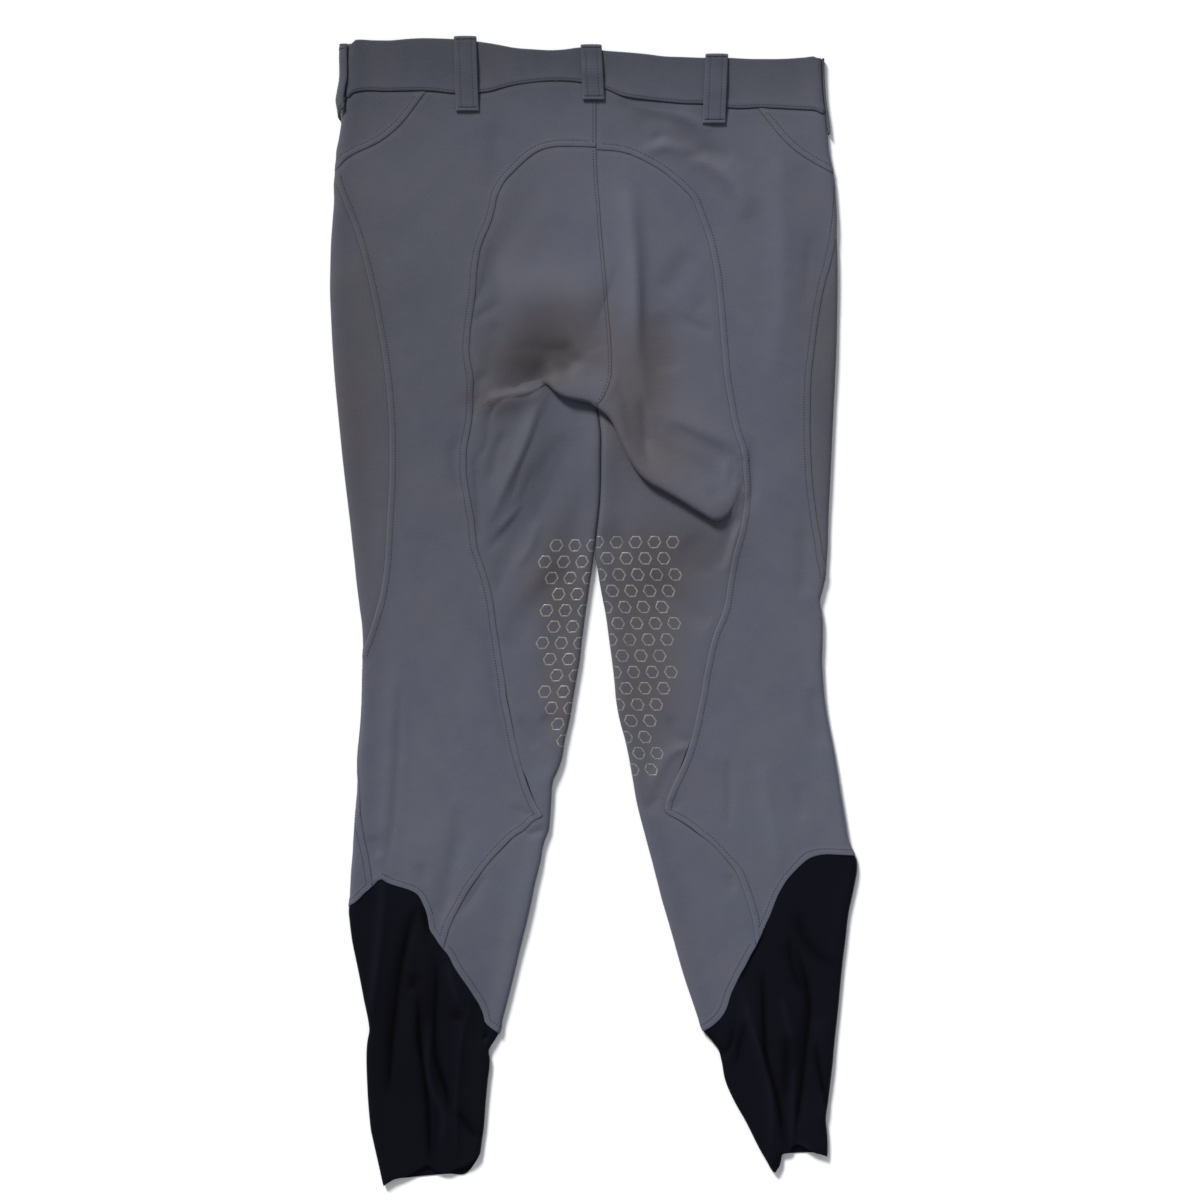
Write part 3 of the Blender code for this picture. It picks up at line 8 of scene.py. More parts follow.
import bpy
import numpy as np
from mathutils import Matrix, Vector
from mathutils.geometry import delaunay_2d_cdt


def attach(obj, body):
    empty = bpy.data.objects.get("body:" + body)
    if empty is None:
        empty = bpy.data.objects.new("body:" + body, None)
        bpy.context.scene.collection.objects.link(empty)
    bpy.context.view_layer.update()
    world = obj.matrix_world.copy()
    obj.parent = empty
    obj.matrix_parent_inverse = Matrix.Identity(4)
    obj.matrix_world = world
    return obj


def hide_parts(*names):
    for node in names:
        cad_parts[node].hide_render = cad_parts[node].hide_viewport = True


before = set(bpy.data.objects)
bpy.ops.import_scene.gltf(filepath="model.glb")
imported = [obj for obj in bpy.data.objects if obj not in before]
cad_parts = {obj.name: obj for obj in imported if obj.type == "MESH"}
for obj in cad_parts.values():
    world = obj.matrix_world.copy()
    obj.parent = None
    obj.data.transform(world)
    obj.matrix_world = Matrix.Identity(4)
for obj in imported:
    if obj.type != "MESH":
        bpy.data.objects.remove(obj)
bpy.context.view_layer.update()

# Camera, straight above the garment, metres
VIEW_X = 0.006455
VIEW_Y = 0.0105
VIEW_HEIGHT = 2.498
LENS = 85.0
SENSOR = 36.0

camera_data = bpy.data.cameras.new("camera")
camera_data.lens = LENS
camera_data.sensor_width = SENSOR
camera = bpy.data.objects.new("camera", camera_data)
camera.location = (VIEW_X, VIEW_Y, VIEW_HEIGHT)
bpy.context.scene.collection.objects.link(camera)
bpy.context.scene.camera = camera

# Cloths, mm thick
SOFTSHELL = 1.5
BAND = 2.5
LYCRA = 1.0
LOOP = 2.0
TAPE = 1.0
SEAM_GAP = 0.3
JOIN = 0.12  # between two sewn pieces

# How the cloth lies, mm
LIE = 4.2  # middle of the back cloth above the surface
EDGE_RISE = 2.2  # the back cloth lifts this much at a folded edge
EDGE_FADE = 11.0  # and is flat again after about this distance
FOLD_REACH = 3.0  # a folded edge curves in this far
QUARTER = 4.7  # cloth in a quarter turn of a folded edge
BAND_LIE = 4.9
LYCRA_LIE = 4.0
CROTCH_ROUND = 22.0  # below the crotch the inner fold opens out over this length
PARTED_Y = 186.0  # the inner edges lift below this
CALM_Y = 470.0  # the folds fade out above this, over CALM_FADE
CALM_FADE = 30.0
REST_SOFTNESS = 0.6  # how gently hollows flatten on the cloth below
CENTER_X = -0.295  # middle of the garment's extent, moved to the origin
CENTER_Y = 0.06

# Outline of the garment: a row for each section, the folded edges of both legs across it.
# Above the crotch the two inner edges are the centre seam.
#    y     outer left  inner left  inner right  outer right
SECTIONS = [
    (503.5, -215.5, 1.8, 2.2, 200), (486, -218, 2.2, 2.6, 200.8), (467.5, -218.3, 2.4, 2.8, 201.4),
    (450.5, -218.5, 2.6, 3, 202.6), (431, -221.5, 2.6, 3, 205.4), (415.5, -224, 2.6, 3, 207),
    (406, -226, 2.8, 3.2, 207.9), (397, -226.4, 3, 3.4, 209.6), (388.5, -227, 3.4, 3.8, 211.1),
    (380, -228.2, 3.8, 4.2, 212.3), (362, -228, 5.4, 5.8, 213.5), (344.5, -229.3, 6.6, 7, 214.6),
    (327, -230.6, 8, 8.4, 214.9), (300.5, -231.4, 10.4, 10.8, 215.4),
    (283, -231.6, 11.9, 12.3, 215.4), (262, -230.8, 13.6, 14, 215.1),
    (239.5, -229.7, 15.6, 16, 214.6), (222, -228.6, 16.2, 16.6, 214),
    (206, -227.4, 15.6, 16, 213.2), (195, -226.4, 12.2, 12.6, 212.8),
    (186.5, -225.6, 8, 8.4, 212.2), (180.5, -225, 3.6, 4, 212), (174, -224.4, 4.6, 5, 211.7),
    (160, -223, 6.6, 7, 211), (134, -220.4, 6.8, 7.2, 209.8), (108, -217.4, 6.4, 6.8, 208.6),
    (90, -215.2, 5.2, 5.8, 207.7), (73, -213.2, 3.2, 3.8, 207.1), (56, -211.4, 1.4, 2, 206.7),
    (46, -210.2, 0.2, 2.6, 206), (36.5, -209.3, -0.9, 4.2, 205.5), (27.7, -208.4, -2.4, 5.5, 204.1),
    (19, -207.4, -3.6, 7, 202.3), (10, -206.2, -4.8, 8.7, 200), (1.3, -205.1, -6.2, 10.5, 201.4),
    (-7.5, -203.8, -7.3, 11.9, 202.4), (-25, -202.7, -9.6, 14.2, 202.5),
    (-42.7, -203, -11.5, 16.6, 201.9), (-60.3, -203.3, -14.6, 18.7, 202.8),
    (-78, -203.5, -17.6, 20.3, 204.3), (-95.5, -204.3, -20.5, 23.5, 207),
    (-113, -205.9, -24.6, 28.3, 210.5), (-130.7, -207.3, -27.7, 32, 213.7),
    (-139.5, -207.3, -30.9, 33.5, 215.1), (-148.3, -206.9, -34.9, 35.1, 216.5),
    (-166, -208, -36.6, 38.1, 219.3), (-183.5, -209.8, -37.9, 42.3, 222.2),
    (-192.3, -210.5, -38.8, 44.7, 223.6), (-201, -211.1, -42.4, 47, 225.3),
    (-210, -211.5, -44.6, 49.4, 228.9), (-218.7, -212.2, -45.9, 51.8, 232.6),
    (-227.5, -213, -48, 54, 232.8), (-236.3, -213.5, -50.3, 56.3, 231.4),
    (-254, -214.5, -53.9, 60.8, 227.7), (-262.7, -215.5, -55.8, 63.4, 225.8),
    (-271.5, -214.7, -57.8, 66, 224.5), (-289, -212.5, -62.2, 71, 222.6),
    (-306.7, -208.9, -66.4, 75.9, 220.3), (-324.3, -205.3, -70.6, 81.2, 218.5),
    (-342, -201.9, -75, 87.2, 216.9), (-359.5, -198.3, -79.6, 93.2, 215.1),
    (-368.3, -197.3, -81.4, 96.5, 214.1), (-377, -198.8, -86.3, 103.8, 213.2),
    (-386, -199.7, -91.4, 110.3, 212.3), (-394.7, -199.8, -90.5, 112.7, 211.6),
    (-412.3, -199.3, -92.3, 116.1, 209.6), (-430, -198.4, -94, 123.8, 207.5),
    (-447.5, -196.9, -95.3, 133.7, 205.3), (-456.3, -195.9, -96.1, 138.2, 206.2),
    (-465, -194, -97.4, 142.4, 206.8), (-474, -192, -98.6, 147.1, 206.9),
    (-482.7, -190, -100.2, 152.2, 206.9), (-508.5, -184.3, -104.5, 165, 207.2),
]

# Seams of the back, each a line of (x, y) that a smooth curve follows.
BAND_TOP = [
    (-219.1, 499), (-211.2, 502.5), (-191.8, 503), (-177.8, 503), (-165.4, 504.1), (-153.1, 504.9),
    (-137.3, 504.8), (-123.2, 504.2), (-102.1, 502.1), (-86.2, 499.8), (-68.6, 496.5), (-51, 495.1),
    (-37.8, 494.4), (-24.6, 495.1), (-11.4, 496.8), (11.3, 493.9), (30, 492.5), (46.4, 491),
    (62.7, 488.9), (79.1, 488.3), (98.6, 487.6), (120, 487.6), (136.2, 486.8), (152.6, 486.5),
    (169, 486.8), (185.3, 487.8), (198.4, 488.3), (203, 486.8),
]
BAND_SEAM = [
    (-219, 451.5), (-216.8, 452.3), (-213, 455), (-205.9, 457.4), (-200.6, 458.1), (-183, 457.8),
    (-160.2, 458.3), (-147.8, 458.3), (-137.3, 457.6), (-126.7, 456.2), (-99.4, 456.5), (-89.8, 457.8),
    (-81, 460.4), (-72.2, 462.7), (-59.8, 464.8), (-49.3, 466), (-37.8, 466.9), (-24.6, 466.9),
    (-9.7, 465.3), (10.5, 460.2), (18.6, 456.6), (24.3, 454.2), (33.4, 452.1), (46.4, 450.4),
    (62.7, 448.7), (79.1, 447.1), (98.6, 446.4), (117.5, 443.5), (128.1, 442.6), (136.2, 442.9),
    (145.3, 443.5), (160.8, 442.9), (174, 442.2), (185.3, 441.6), (195.1, 440.7), (201.6, 438.3),
    (205.7, 434.5),
]
YOKE_SEAM = {
    "left": [
        (-146.4, 457.9), (-151.4, 451.4), (-156.6, 444.4), (-161.9, 437.4), (-168.1, 429.8),
        (-174.2, 423.8), (-181.3, 418), (-189.2, 412.7), (-197.1, 408.7), (-205.9, 404.8),
        (-213, 400.9), (-218.2, 396.9), (-221.8, 392.5),
    ],
    "right": [
        (145.3, 442.2), (151, 435.3), (155.8, 429.6), (160.8, 423.1), (167.3, 415.7), (173.9, 409.2),
        (182, 402.7), (190.2, 397.3), (198.4, 392.4), (204.9, 388.8),
    ],
}
YOKE_AT_FOLD = {"left": 387, "right": 385}
SIDE_SEAM = {
    "left": [
        (-220, 360.8), (-213, 343.2), (-206.8, 325.6), (-201.5, 306.2), (-196.8, 286.9),
        (-192.7, 267.5), (-189.7, 249.9), (-186.9, 234.1), (-183.6, 211.2), (-181.6, 193.6),
        (-180.4, 177.8), (-179.5, 160.2), (-179.3, 142.6), (-179.3, 125), (-179.9, 107.4),
        (-181.1, 89.8), (-182, 72), (-182.9, 54.6), (-183.9, 40.5), (-186, 24.6), (-188.7, 10.6),
        (-192.7, -3.5), (-196.2, -15), (-199, -23.5),
    ],
    "right": [
        (208.1, 301.8), (204.9, 291.1), (202.5, 280.5), (200, 267.4), (198, 254.3), (196.2, 241.3),
        (194.7, 228.2), (192.8, 214.2), (191.8, 197.9), (191.5, 181.5), (191.3, 165.2), (191.5, 148.8),
        (192.2, 132.5), (193.2, 116.2), (194.9, 99.8), (197, 83.5), (198.5, 73.7), (200, 66.3),
        (202, 51.6),
    ],
}
# The thigh insert's upper tip on the yoke seam, how far round the fold, and its lower tip's y on it
SIDE_TOP = {"left": 0, "right": -6}
SIDE_FOOT = {"left": -36, "right": 32}
SEAT_SEAM = {
    "left": [
        (2.8, 408.5), (-7, 409), (-22, 409.4), (-33.4, 409), (-42.2, 407.4), (-49.3, 404.4),
        (-58.1, 398.1), (-66, 390.7), (-73, 383.7), (-76.5, 380), (-80.5, 373.5), (-84, 365.8),
        (-86.2, 355.5), (-88.4, 346.7), (-91.5, 337.9), (-95.9, 328.2), (-98.9, 319.4), (-100.7, 309.8),
        (-102.1, 299.2), (-102.8, 288.6), (-103.5, 278.1), (-104.7, 269.3), (-106.1, 260.5),
        (-107.5, 249.9), (-108.4, 239.4), (-108.9, 230.6), (-107.7, 220), (-106, 211.2),
        (-105.2, 202.4), (-105.4, 191.8), (-105.6, 181.3), (-106.3, 170.7), (-107.7, 160.2),
        (-109.6, 151.4), (-111.1, 142.6), (-111.4, 132), (-111.2, 121.4), (-109.8, 110.9),
        (-107.9, 100.3), (-106.1, 89.8), (-104.2, 80), (-103.5, 70.4), (-101.2, 54.6), (-96.8, 42.2),
        (-92.4, 28.2), (-88.9, 14.1), (-86.8, 1.8), (-85.4, -10.6), (-83.1, -24.6), (-81, -38.7),
        (-78.7, -52.8), (-76.9, -65.1), (-75.7, -76.6), (-73.6, -86.2), (-70.4, -102.1), (-67.2, -117.9),
        (-63.7, -132), (-59, -147.8), (-53.7, -161.9), (-48.4, -172.5), (-44, -179.5),
    ],
    "right": [
        (2.8, 406.5), (12.1, 405.9), (21.9, 405.2), (32.5, 402.3), (43.1, 397.8), (52.9, 392.6),
        (62.7, 386.3), (70.9, 379.8), (79.1, 372.3), (86.9, 364), (91.3, 354), (95.4, 342.6),
        (100, 330.4), (103.2, 318), (105.5, 306.6), (107.4, 295.2), (108.8, 282.1), (110.1, 269),
        (111.2, 256), (112.2, 242.9), (113.5, 229.3), (114.7, 214.2), (116.3, 201.2), (118.6, 188.1),
        (121.1, 173.4), (124, 160.2), (127.2, 150.5), (130.1, 141.5), (131.4, 132.5), (132, 122.7),
        (133, 112.9), (133.3, 103.1), (132.7, 91.7), (131, 81.8), (129.4, 72.9), (127.2, 64.6),
        (123.2, 49.9), (120.2, 35.2), (117.9, 20.5), (115.4, 5.8), (111.8, -5.6), (106.8, -17.1),
        (102.8, -30.2), (100, -43.2), (97.3, -56.3), (95.3, -69.9), (92.4, -84), (89.3, -99.2),
        (85.6, -113.6), (80.9, -128), (75.1, -141.6), (69.5, -153.5), (65.2, -163.7), (62.7, -172),
    ],
}
CALF_SEAM = {
    "left": [
        (-44, -179.5), (-52.8, -184.8), (-59.8, -191.8), (-70.4, -198.9), (-79.2, -207.7),
        (-89, -218.2), (-95.5, -226), (-100.4, -232.9), (-106.1, -240.9), (-111.8, -249.9),
        (-117.4, -260.1), (-123.1, -271.4), (-126.5, -279.3), (-128.7, -287.2), (-131.6, -296.3),
        (-132.8, -300.5),
    ],
    "right": [
        (62.7, -172), (63.9, -176.4), (72.1, -181.5), (82.2, -187.4), (92.4, -195.1), (102.6, -202.8),
        (112.7, -212.9), (118.8, -220), (122.1, -223.9), (127.7, -232.9), (131.6, -243.1),
        (135.1, -253.4), (137.9, -262.3), (140.2, -270.2), (141.5, -278.2), (142.5, -286.1),
        (143.5, -292),
    ],
}
# Shin seam between back and front panel: how far round the outer fold, and y
SHIN_SEAM = {
    "left": [
        (0, -36), (1, -90), (1.8, -134), (3.2, -156), (6, -178), (10.9, -199),
        (15.8, -216.5), (19.9, -235), (21.5, -246),
    ],
    "right": [
        (0, 32), (-3, -60), (-6, -140), (-12, -214),
    ],
}
# Inner seam of the front, hidden: how far in from the inner fold, and y
FRONT_SEAM = [(4, None), (14, 150), (30, 90), (38, 20), (40, -120), (38, -330)]
# Calf hem, where the lycra starts: share of the way across the leg, and y
HEM_BACK = {
    "left": [
        (0, -259.5), (0.04, -255.6), (0.084, -247.9), (0.123, -242), (0.174, -235.4), (0.192, -237.5),
        (0.234, -240.3), (0.292, -243.1), (0.336, -245.6), (0.371, -248.8), (0.402, -255.6),
        (0.427, -262.3), (0.44, -268), (0.448, -277.1), (0.455, -279.3), (0.486, -286.1),
        (0.528, -295.2), (0.568, -301.9), (0.603, -311), (0.649, -320.1), (0.696, -328),
        (0.75, -337), (0.81, -347.2), (0.84, -354), (0.862, -360.8), (0.907, -365.3), (0.963, -369.2),
        (1, -371.9),
    ],
    "right": [
        (0, -214.3), (0.072, -213.8), (0.167, -213.8), (0.235, -217.2), (0.278, -222.7),
        (0.311, -228.4), (0.344, -235.2), (0.375, -244.3), (0.394, -251.1), (0.412, -259),
        (0.4305, -266.9), (0.462, -276), (0.495, -286.1), (0.523, -294), (0.559, -301.9),
        (0.597, -311), (0.637, -318.9), (0.68, -328), (0.7235, -337), (0.746, -342.7),
        (0.774, -348.9), (0.815, -355.2), (0.867, -360.8), (0.933, -365.9), (1, -369.1),
    ],
}
HEM_FRONT = {
    "left": [
        (0, -259.5), (0.3, -287), (0.6, -325), (1, -371.9),
    ],
    "right": [
        (0, -214.3), (0.3, -246), (0.6, -300), (1, -369.1),
    ],
}
# Open ends of the lycra, in the same columns
END_BACK = {
    "left": [
        (0, -506.5), (0.06, -501.8), (0.12, -499.7), (0.22, -498), (0.31, -495.2), (0.41, -490.3),
        (0.5, -486.8), (0.55, -490.6), (0.62, -493.4), (0.71, -493.4), (0.77, -490.6), (0.82, -488.9),
        (0.87, -487.3), (1, -477),
    ],
    "right": [
        (0, -480), (0.12, -477.2), (0.2, -476.2), (0.3, -472.5), (0.42, -468.4), (0.5, -470),
        (0.57, -475.4), (0.7, -478), (0.76, -484), (0.87, -490.5), (0.945, -493.4), (1, -491),
    ],
}
END_FRONT = {
    "left": [
        (0, -506.5), (0.07, -503.3), (0.13, -500.5), (0.3, -498.4), (0.5, -496.5), (0.7, -495.2),
        (0.888, -494.2), (1, -477),
    ],
    "right": [
        (0, -480), (0.12, -477.4), (0.25, -476.4), (0.4, -476.3), (0.56, -477), (0.7, -478),
        (0.8, -487), (0.9, -492.5), (0.96, -494), (1, -491),
    ],
}

# Folds of the back cloth: a line, its height, and how far it spreads to the left and right of it.
FOLDS = [
    ([(-50, 232), (8, 216), (48, 168), (104, 128)], 3.6, 26, 34),
    ([(-82, 214), (-52, 222), (-28, 214)], -2.6, 10, 12),
    ([(-91.5, 180.5), (-66, 189), (-44, 194)], 3.4, 8, 12),
    ([(-44, 192), (-50, 176), (-66, 116)], 2.4, 12, 8),
    ([(34, 378), (39, 304), (39, 250), (45, 170)], 2.2, 7, 18),
    ([(-57, 363), (-86, 304), (-82, 214)], -1.3, 12, 12),
    ([(-22, 150), (-54, 97), (-84, 18)], -1.3, 9, 9),
    ([(-10, 120), (-34, 70), (-52, 6)], 1.6, 12, 12),
    ([(66, 166), (98, 152), (127, 138)], 2, 12, 5),
    ([(-169, -60), (-172, -140), (-182, -226)], 1.8, 7, 12),
    ([(-110, -190), (-126, -232), (-139, -280)], -1.2, 7, 7),
    ([(160, 412), (166, 300), (160, 200)], 1.4, 18, 12),
]
# Folds of the lycra ends
LYCRA_FOLDS = [
    ([(-184, -238), (-190, -300), (-194, -352)], 1.6, 7, 3.5),
    ([(-154, -266), (-170, -310), (-178, -396)], -1.5, 5, 5),
    ([(-156, -330), (-151, -398), (-144, -414), (-144, -488)], 2.2, 4.5, 8),
    ([(-140, -298), (-141, -362), (-135, -420)], -1.4, 5, 5),
    ([(-110, -340), (-119, -394), (-122, -478)], 1.6, 5, 7),
    ([(172, -294), (190, -336), (184, -390), (183, -450)], -1.8, 4.5, 4.5),
    ([(154, -320), (170, -354), (176, -400)], 2, 7, 5),
    ([(134, -356), (152, -400), (168, -462)], 3.4, 4, 10),
    ([(200, -366), (202, -410), (204, -450)], 1.8, 6, 5),
]

# The tuck under the seat: its folded edge, left and right of the centre seam, and how much it overlaps
#    across    y      overlap share
TUCK = [
    (-128.5, 168, 0), (-97, 179, 0), (-80, 186, 0), (-66, 192, 0.05),
    (-58, 195, 0.2), (-52, 196, 0.55), (-46, 194, 0.85), (-37, 189.6, 1),
    (-16.4, 184.4, 1), (0.2, 179.5, 1), (6.5, 174, 1), (13.5, 164, 1), (18.4, 154, 1),
    (23.4, 141.5, 1), (30, 129.4, 1), (36.6, 120, 1), (44.3, 112.9, 1),
    (56, 106.4, 1), (69.3, 99, 1), (83, 90.8, 1), (91, 86.2, 1), (97, 82.6, 1),
    (103, 79.4, 0.92), (108.5, 78, 0.7), (113, 79.6, 0.45), (117, 85, 0.22), (121, 93.5, 0.08),
    (127, 107, 0),
]
TUCK_ROW = 150.0  # row of the flat panel that lies along the folded edge
TUCK_ABOVE = 225.0  # rows bend to follow the edge within these distances of it
TUCK_BELOW = 300.0
TUCK_SPAN = 40.0  # rows above and below it that lead into it
TUCK_RISE = 36.0  # the cloth above rises to the edge over this length
TUCK_DEPTH = 5.0  # how far the cloth lies over itself between its two turns
TUCK_EDGE = 2.9  # radius of the edge that shows
TUCK_BACK = 1.9  # radius of the turn behind it
TUCK_TILT = 0.5  # half of how far the cloth drops between its two turns
TUCK_LOW = 4.0  # height of the thigh cloth under it
TUCK_CLOTH = 2 * TUCK_DEPTH + math.pi * (TUCK_EDGE + TUCK_BACK)  # what the tuck takes up
# Away from the centre seam, the cloth follows the mean of the seam over these distances along it
SEAM_BENDS = (-24, -12, 0, 12, 24)
STEADY_FROM = 4.0  # it starts to do so this far from the seam
STEADY_OVER = 10.0
STEADY_TO = 50.0  # and does so up to here
STEADY_FADE = 30.0
STEEPEST = 2.2  # the tuck is at most this much longer where its edge slants
CROTCH_BEHIND = 7.0  # the crotch lies this far behind the folded edge

# Belt loops on the back: centre x and lower end
LOOPS = {
    "loop_back_left": (-111.4, 440.4),
    "loop_back_center": (-0.6, 450.3),
    "loop_back_right": (107.7, 429.5),
}
LOOP_WIDTH = 20.0
# Loops at the side folds: how far round the fold they start and end, their lower end there, and
# their upper end. They bulge sideways off the band: height, and how far.
SIDE_LOOPS = {
    "loop_side_left": ("left", -1.8, 5.5, 432, 445, 499),
    "loop_side_right": ("right", -1.8, 1.2, 420, 421, 487),
}
SIDE_BULGE = {
    "left": [
        (432, 0), (441, 2.5), (450, 5), (459, 4), (467.5, 2.4), (476.5, 2), (499, 4),
    ],
    "right": [(420, 0), (487, 0)],
}
FLY_LENGTH = 150.0
FLY_WIDTH = 24.0
FLY_BELOW = 4.0  # the zip's upper end below the waist seam
INSERT_FRONT = 0.7  # the thigh insert's width on the front, as a share of that on the back
FRONT_SEAM_Y = 447.0  # the waist seam at centre front
FRONT_TOP_Y = 488.0
LEG = 130.0  # a leg's usual width, by which its shares are drawn as smooth curves

# Creases of the back cloth, on top of its folds. Sharpness 2 is round, 1 a sharp line.
#    line, height, spread left and right of it, sharpness
CREASES = [
    # Under the waistband, right of the centre seam
    ([(19, 450), (40, 441), (70, 430), (90, 412), (122, 396)], -1.6, 9, 8, 1.8),
    ([(51, 414), (63, 420), (76, 411), (88, 401), (100, 404)], -1.3, 6, 4.5, 1.5),
    ([(60, 428), (86, 404), (111, 388), (130, 366), (136, 346)], 1.7, 10, 7, 1.6),
    ([(30, 446), (56, 440), (84, 434), (104, 424)], 1, 4, 6, 1.5),
    ([(44, 404), (66, 410), (86, 404)], 0.9, 5, 5, 1.6),
    # Above the tuck
    ([(-84, 276), (-50, 282), (-12, 280), (10, 272)], 2.4, 30, 26, 2),
    ([(-86, 196), (-70, 205), (-48, 211), (-26, 217),
      (-10, 224)], -3.4, 25, 7, 1.8),
    ([(58, 262), (64, 236), (70, 212)], -1.2, 12, 12, 2),
    ([(-94, 187), (-72, 192), (-52, 195)], 1.3, 3.5, 7, 1.6),
    ([(37.5, 316), (39.5, 280), (39.5, 248), (40, 218)], 0.9, 2.2, 8, 1.3),
    # Right side of the seat
    ([(31, 372), (35, 337), (38, 290), (38, 236)], 1.6, 4.5, 13, 1.5),
    ([(86, 318), (74, 298), (62, 281)], -0.9, 9, 9, 2),
    ([(77, 260), (89, 253), (105, 246)], -0.7, 3.5, 4.5, 1.4),
    ([(88, 264), (101, 275)], -0.4, 3.5, 3.5, 1.5),
    ([(163, 404), (167, 320), (166, 231)], 0.6, 9, 8, 1.8),
    ([(191, 330), (187, 270)], -0.6, 5, 5, 1.6),
    ([(183, 72), (186, 15)], -0.7, 6, 6, 1.6),
    # Flap of the tuck, right
    ([(44, 186), (46, 160), (47, 126)], -2, 3, 9, 1.4),
    ([(66, 166), (93, 154), (127, 138)], -1.5, 3, 8, 1.3),
    ([(119, 133), (117, 117), (124, 109), (124, 92)], 0.9, 4, 4, 1.5),
    ([(104, 108), (108, 96)], -1, 6, 6, 2),
    ([(102, 83), (116, 79), (122, 86), (125, 97)], 0.8, 3.5, 3.5, 1.6),
    ([(126, 86), (116, 59), (110, 38)], -1.2, 5, 5, 1.6),
    ([(130, 78), (124, 62), (119, 36)], 0.7, 3.5, 4, 1.6),
    ([(139, 152), (140, 109), (135, 88)], -1, 5, 4, 1.6),
    ([(84, 66), (108, 38)], -1.2, 13, 13, 2),
    ([(4, 66), (32, 58)], -0.8, 10, 10, 2),
    # Hollow and creases left of the tuck
    ([(-79, 208), (-65, 197)], -1.3, 5, 5, 1.8),
    ([(-53, 213), (-32, 227), (-18, 235)], -0.8, 4, 5, 1.4),
    ([(-24, 221), (-21, 211), (-17, 207)], -0.5, 3.5, 3.5, 1.5),
    ([(-40, 199), (-58, 190), (-83, 185), (-90, 175), (-94, 147),
      (-106, 128)], -0.7, 3, 3, 1.3),
    ([(-77, 158), (-84, 145), (-91, 112)], -0.9, 5, 5, 1.7),
    ([(-38, 198), (-49, 178), (-58, 150), (-73, 120), (-90, 80)], 1.2, 4, 8, 1.4),
    ([(-52, 128), (-62, 96), (-70, 64), (-80, 32), (-84, 14)], -0.9, 3, 8, 1.3),
    ([(-46, 176), (-54, 152), (-62, 132), (-72, 100)], -0.9, 3.5, 3.5, 1.4),
    ([(-24, 154), (-37, 131), (-45, 106), (-58, 76)], -1, 9, 8, 1.8),
    ([(-66, 82), (-82, 65), (-92, 55)], -0.8, 4, 4, 1.5),
    ([(-60, 98), (-72, 84), (-86, 70)], 0.7, 4, 4, 1.6),
    ([(-48, 80), (-54, 60), (-65, 41)], 0.7, 3.5, 3.5, 1.5),
    ([(-104, 133), (-102, 105), (-99, 62)], -0.8, 4, 4, 1.6),
    ([(-117, 156), (-123, 138), (-121, 119), (-113, 100)], -0.8, 5, 5, 1.6),
    ([(-96, 211), (-102, 198), (-104, 182)], -0.6, 4, 4, 1.6),
    # Left side of the seat
    ([(-84, 322), (-98, 283), (-105, 268)], -0.7, 5, 5, 1.6),
    ([(-83, 255), (-86, 225)], -0.6, 5, 5, 1.8),
    ([(-105, 257), (-81, 273)], -0.5, 4, 4, 1.6),
    ([(-90, 213), (-101, 202), (-105, 168)], -0.6, 4, 4, 1.6),
    ([(-84, 430), (-86, 368)], -0.6, 9, 9, 2),
    # Left thigh and knee
    ([(-20, 37), (-43, 19), (-64, -12), (-76, -36)], -1, 10, 10, 2),
    ([(-65, -93), (-57, -106), (-49, -120)], -0.7, 5, 5, 1.7),
    ([(-43, -90), (-27, -104)], -0.8, 8, 8, 2),
    ([(-70, -174), (-54, -178)], -0.5, 3, 3.5, 1.5),
    ([(-56, -196), (-42, -191)], -0.7, 4, 4, 1.5),
    ([(-94, -14), (-82, -85), (-70, -132)], -0.8, 5, 5, 1.7),
    # Right thigh and knee
    ([(86, -115), (75, -111), (71, -104), (67, -92)], -0.8, 4, 4, 1.5),
    ([(86, -118), (68, -125), (59, -139), (49, -157)], 0.8, 4, 4.5, 1.5),
    ([(57, -163), (46, -175)], -0.6, 4, 4, 1.6),
    ([(69, -165), (75, -173)], -0.5, 3.5, 3.5, 1.8),
    ([(48, 29), (77, 11), (101, -13)], -0.9, 9, 10, 2),
    ([(100, 45), (105, 33)], -0.7, 5, 5, 1.8),
    # Calves
    ([(-169, -60), (-172, -128), (-176, -185), (-183, -230)], -1.3, 5, 4, 1.3),
    ([(-118, -173), (-121, -199), (-124, -223)], -0.6, 6, 6, 1.9),
    ([(-125, -244), (-132, -258), (-138, -271)], -0.9, 3, 3.5, 1.3),
    ([(-151, -221), (-148, -239)], -0.5, 4, 4, 1.7),
    ([(-94, -231), (-105, -249), (-118, -268)], -0.5, 4, 4, 1.7),
    ([(-193, -197), (-187, -214)], -0.7, 6, 6, 1.8),
    ([(150, -134), (154, -170), (161, -205), (165, -233)], 0.9, 8, 7, 1.8),
    ([(119, -130), (120, -167), (119, -190)], -0.6, 3.5, 3.5, 1.5),
    ([(193, -67), (195, -90), (201, -119)], -0.8, 5, 6, 1.7),
    ([(182, -151), (184, -183)], -0.5, 6, 6, 1.9),
    ([(120, -231), (123, -247)], -0.5, 4, 4, 1.7),
]
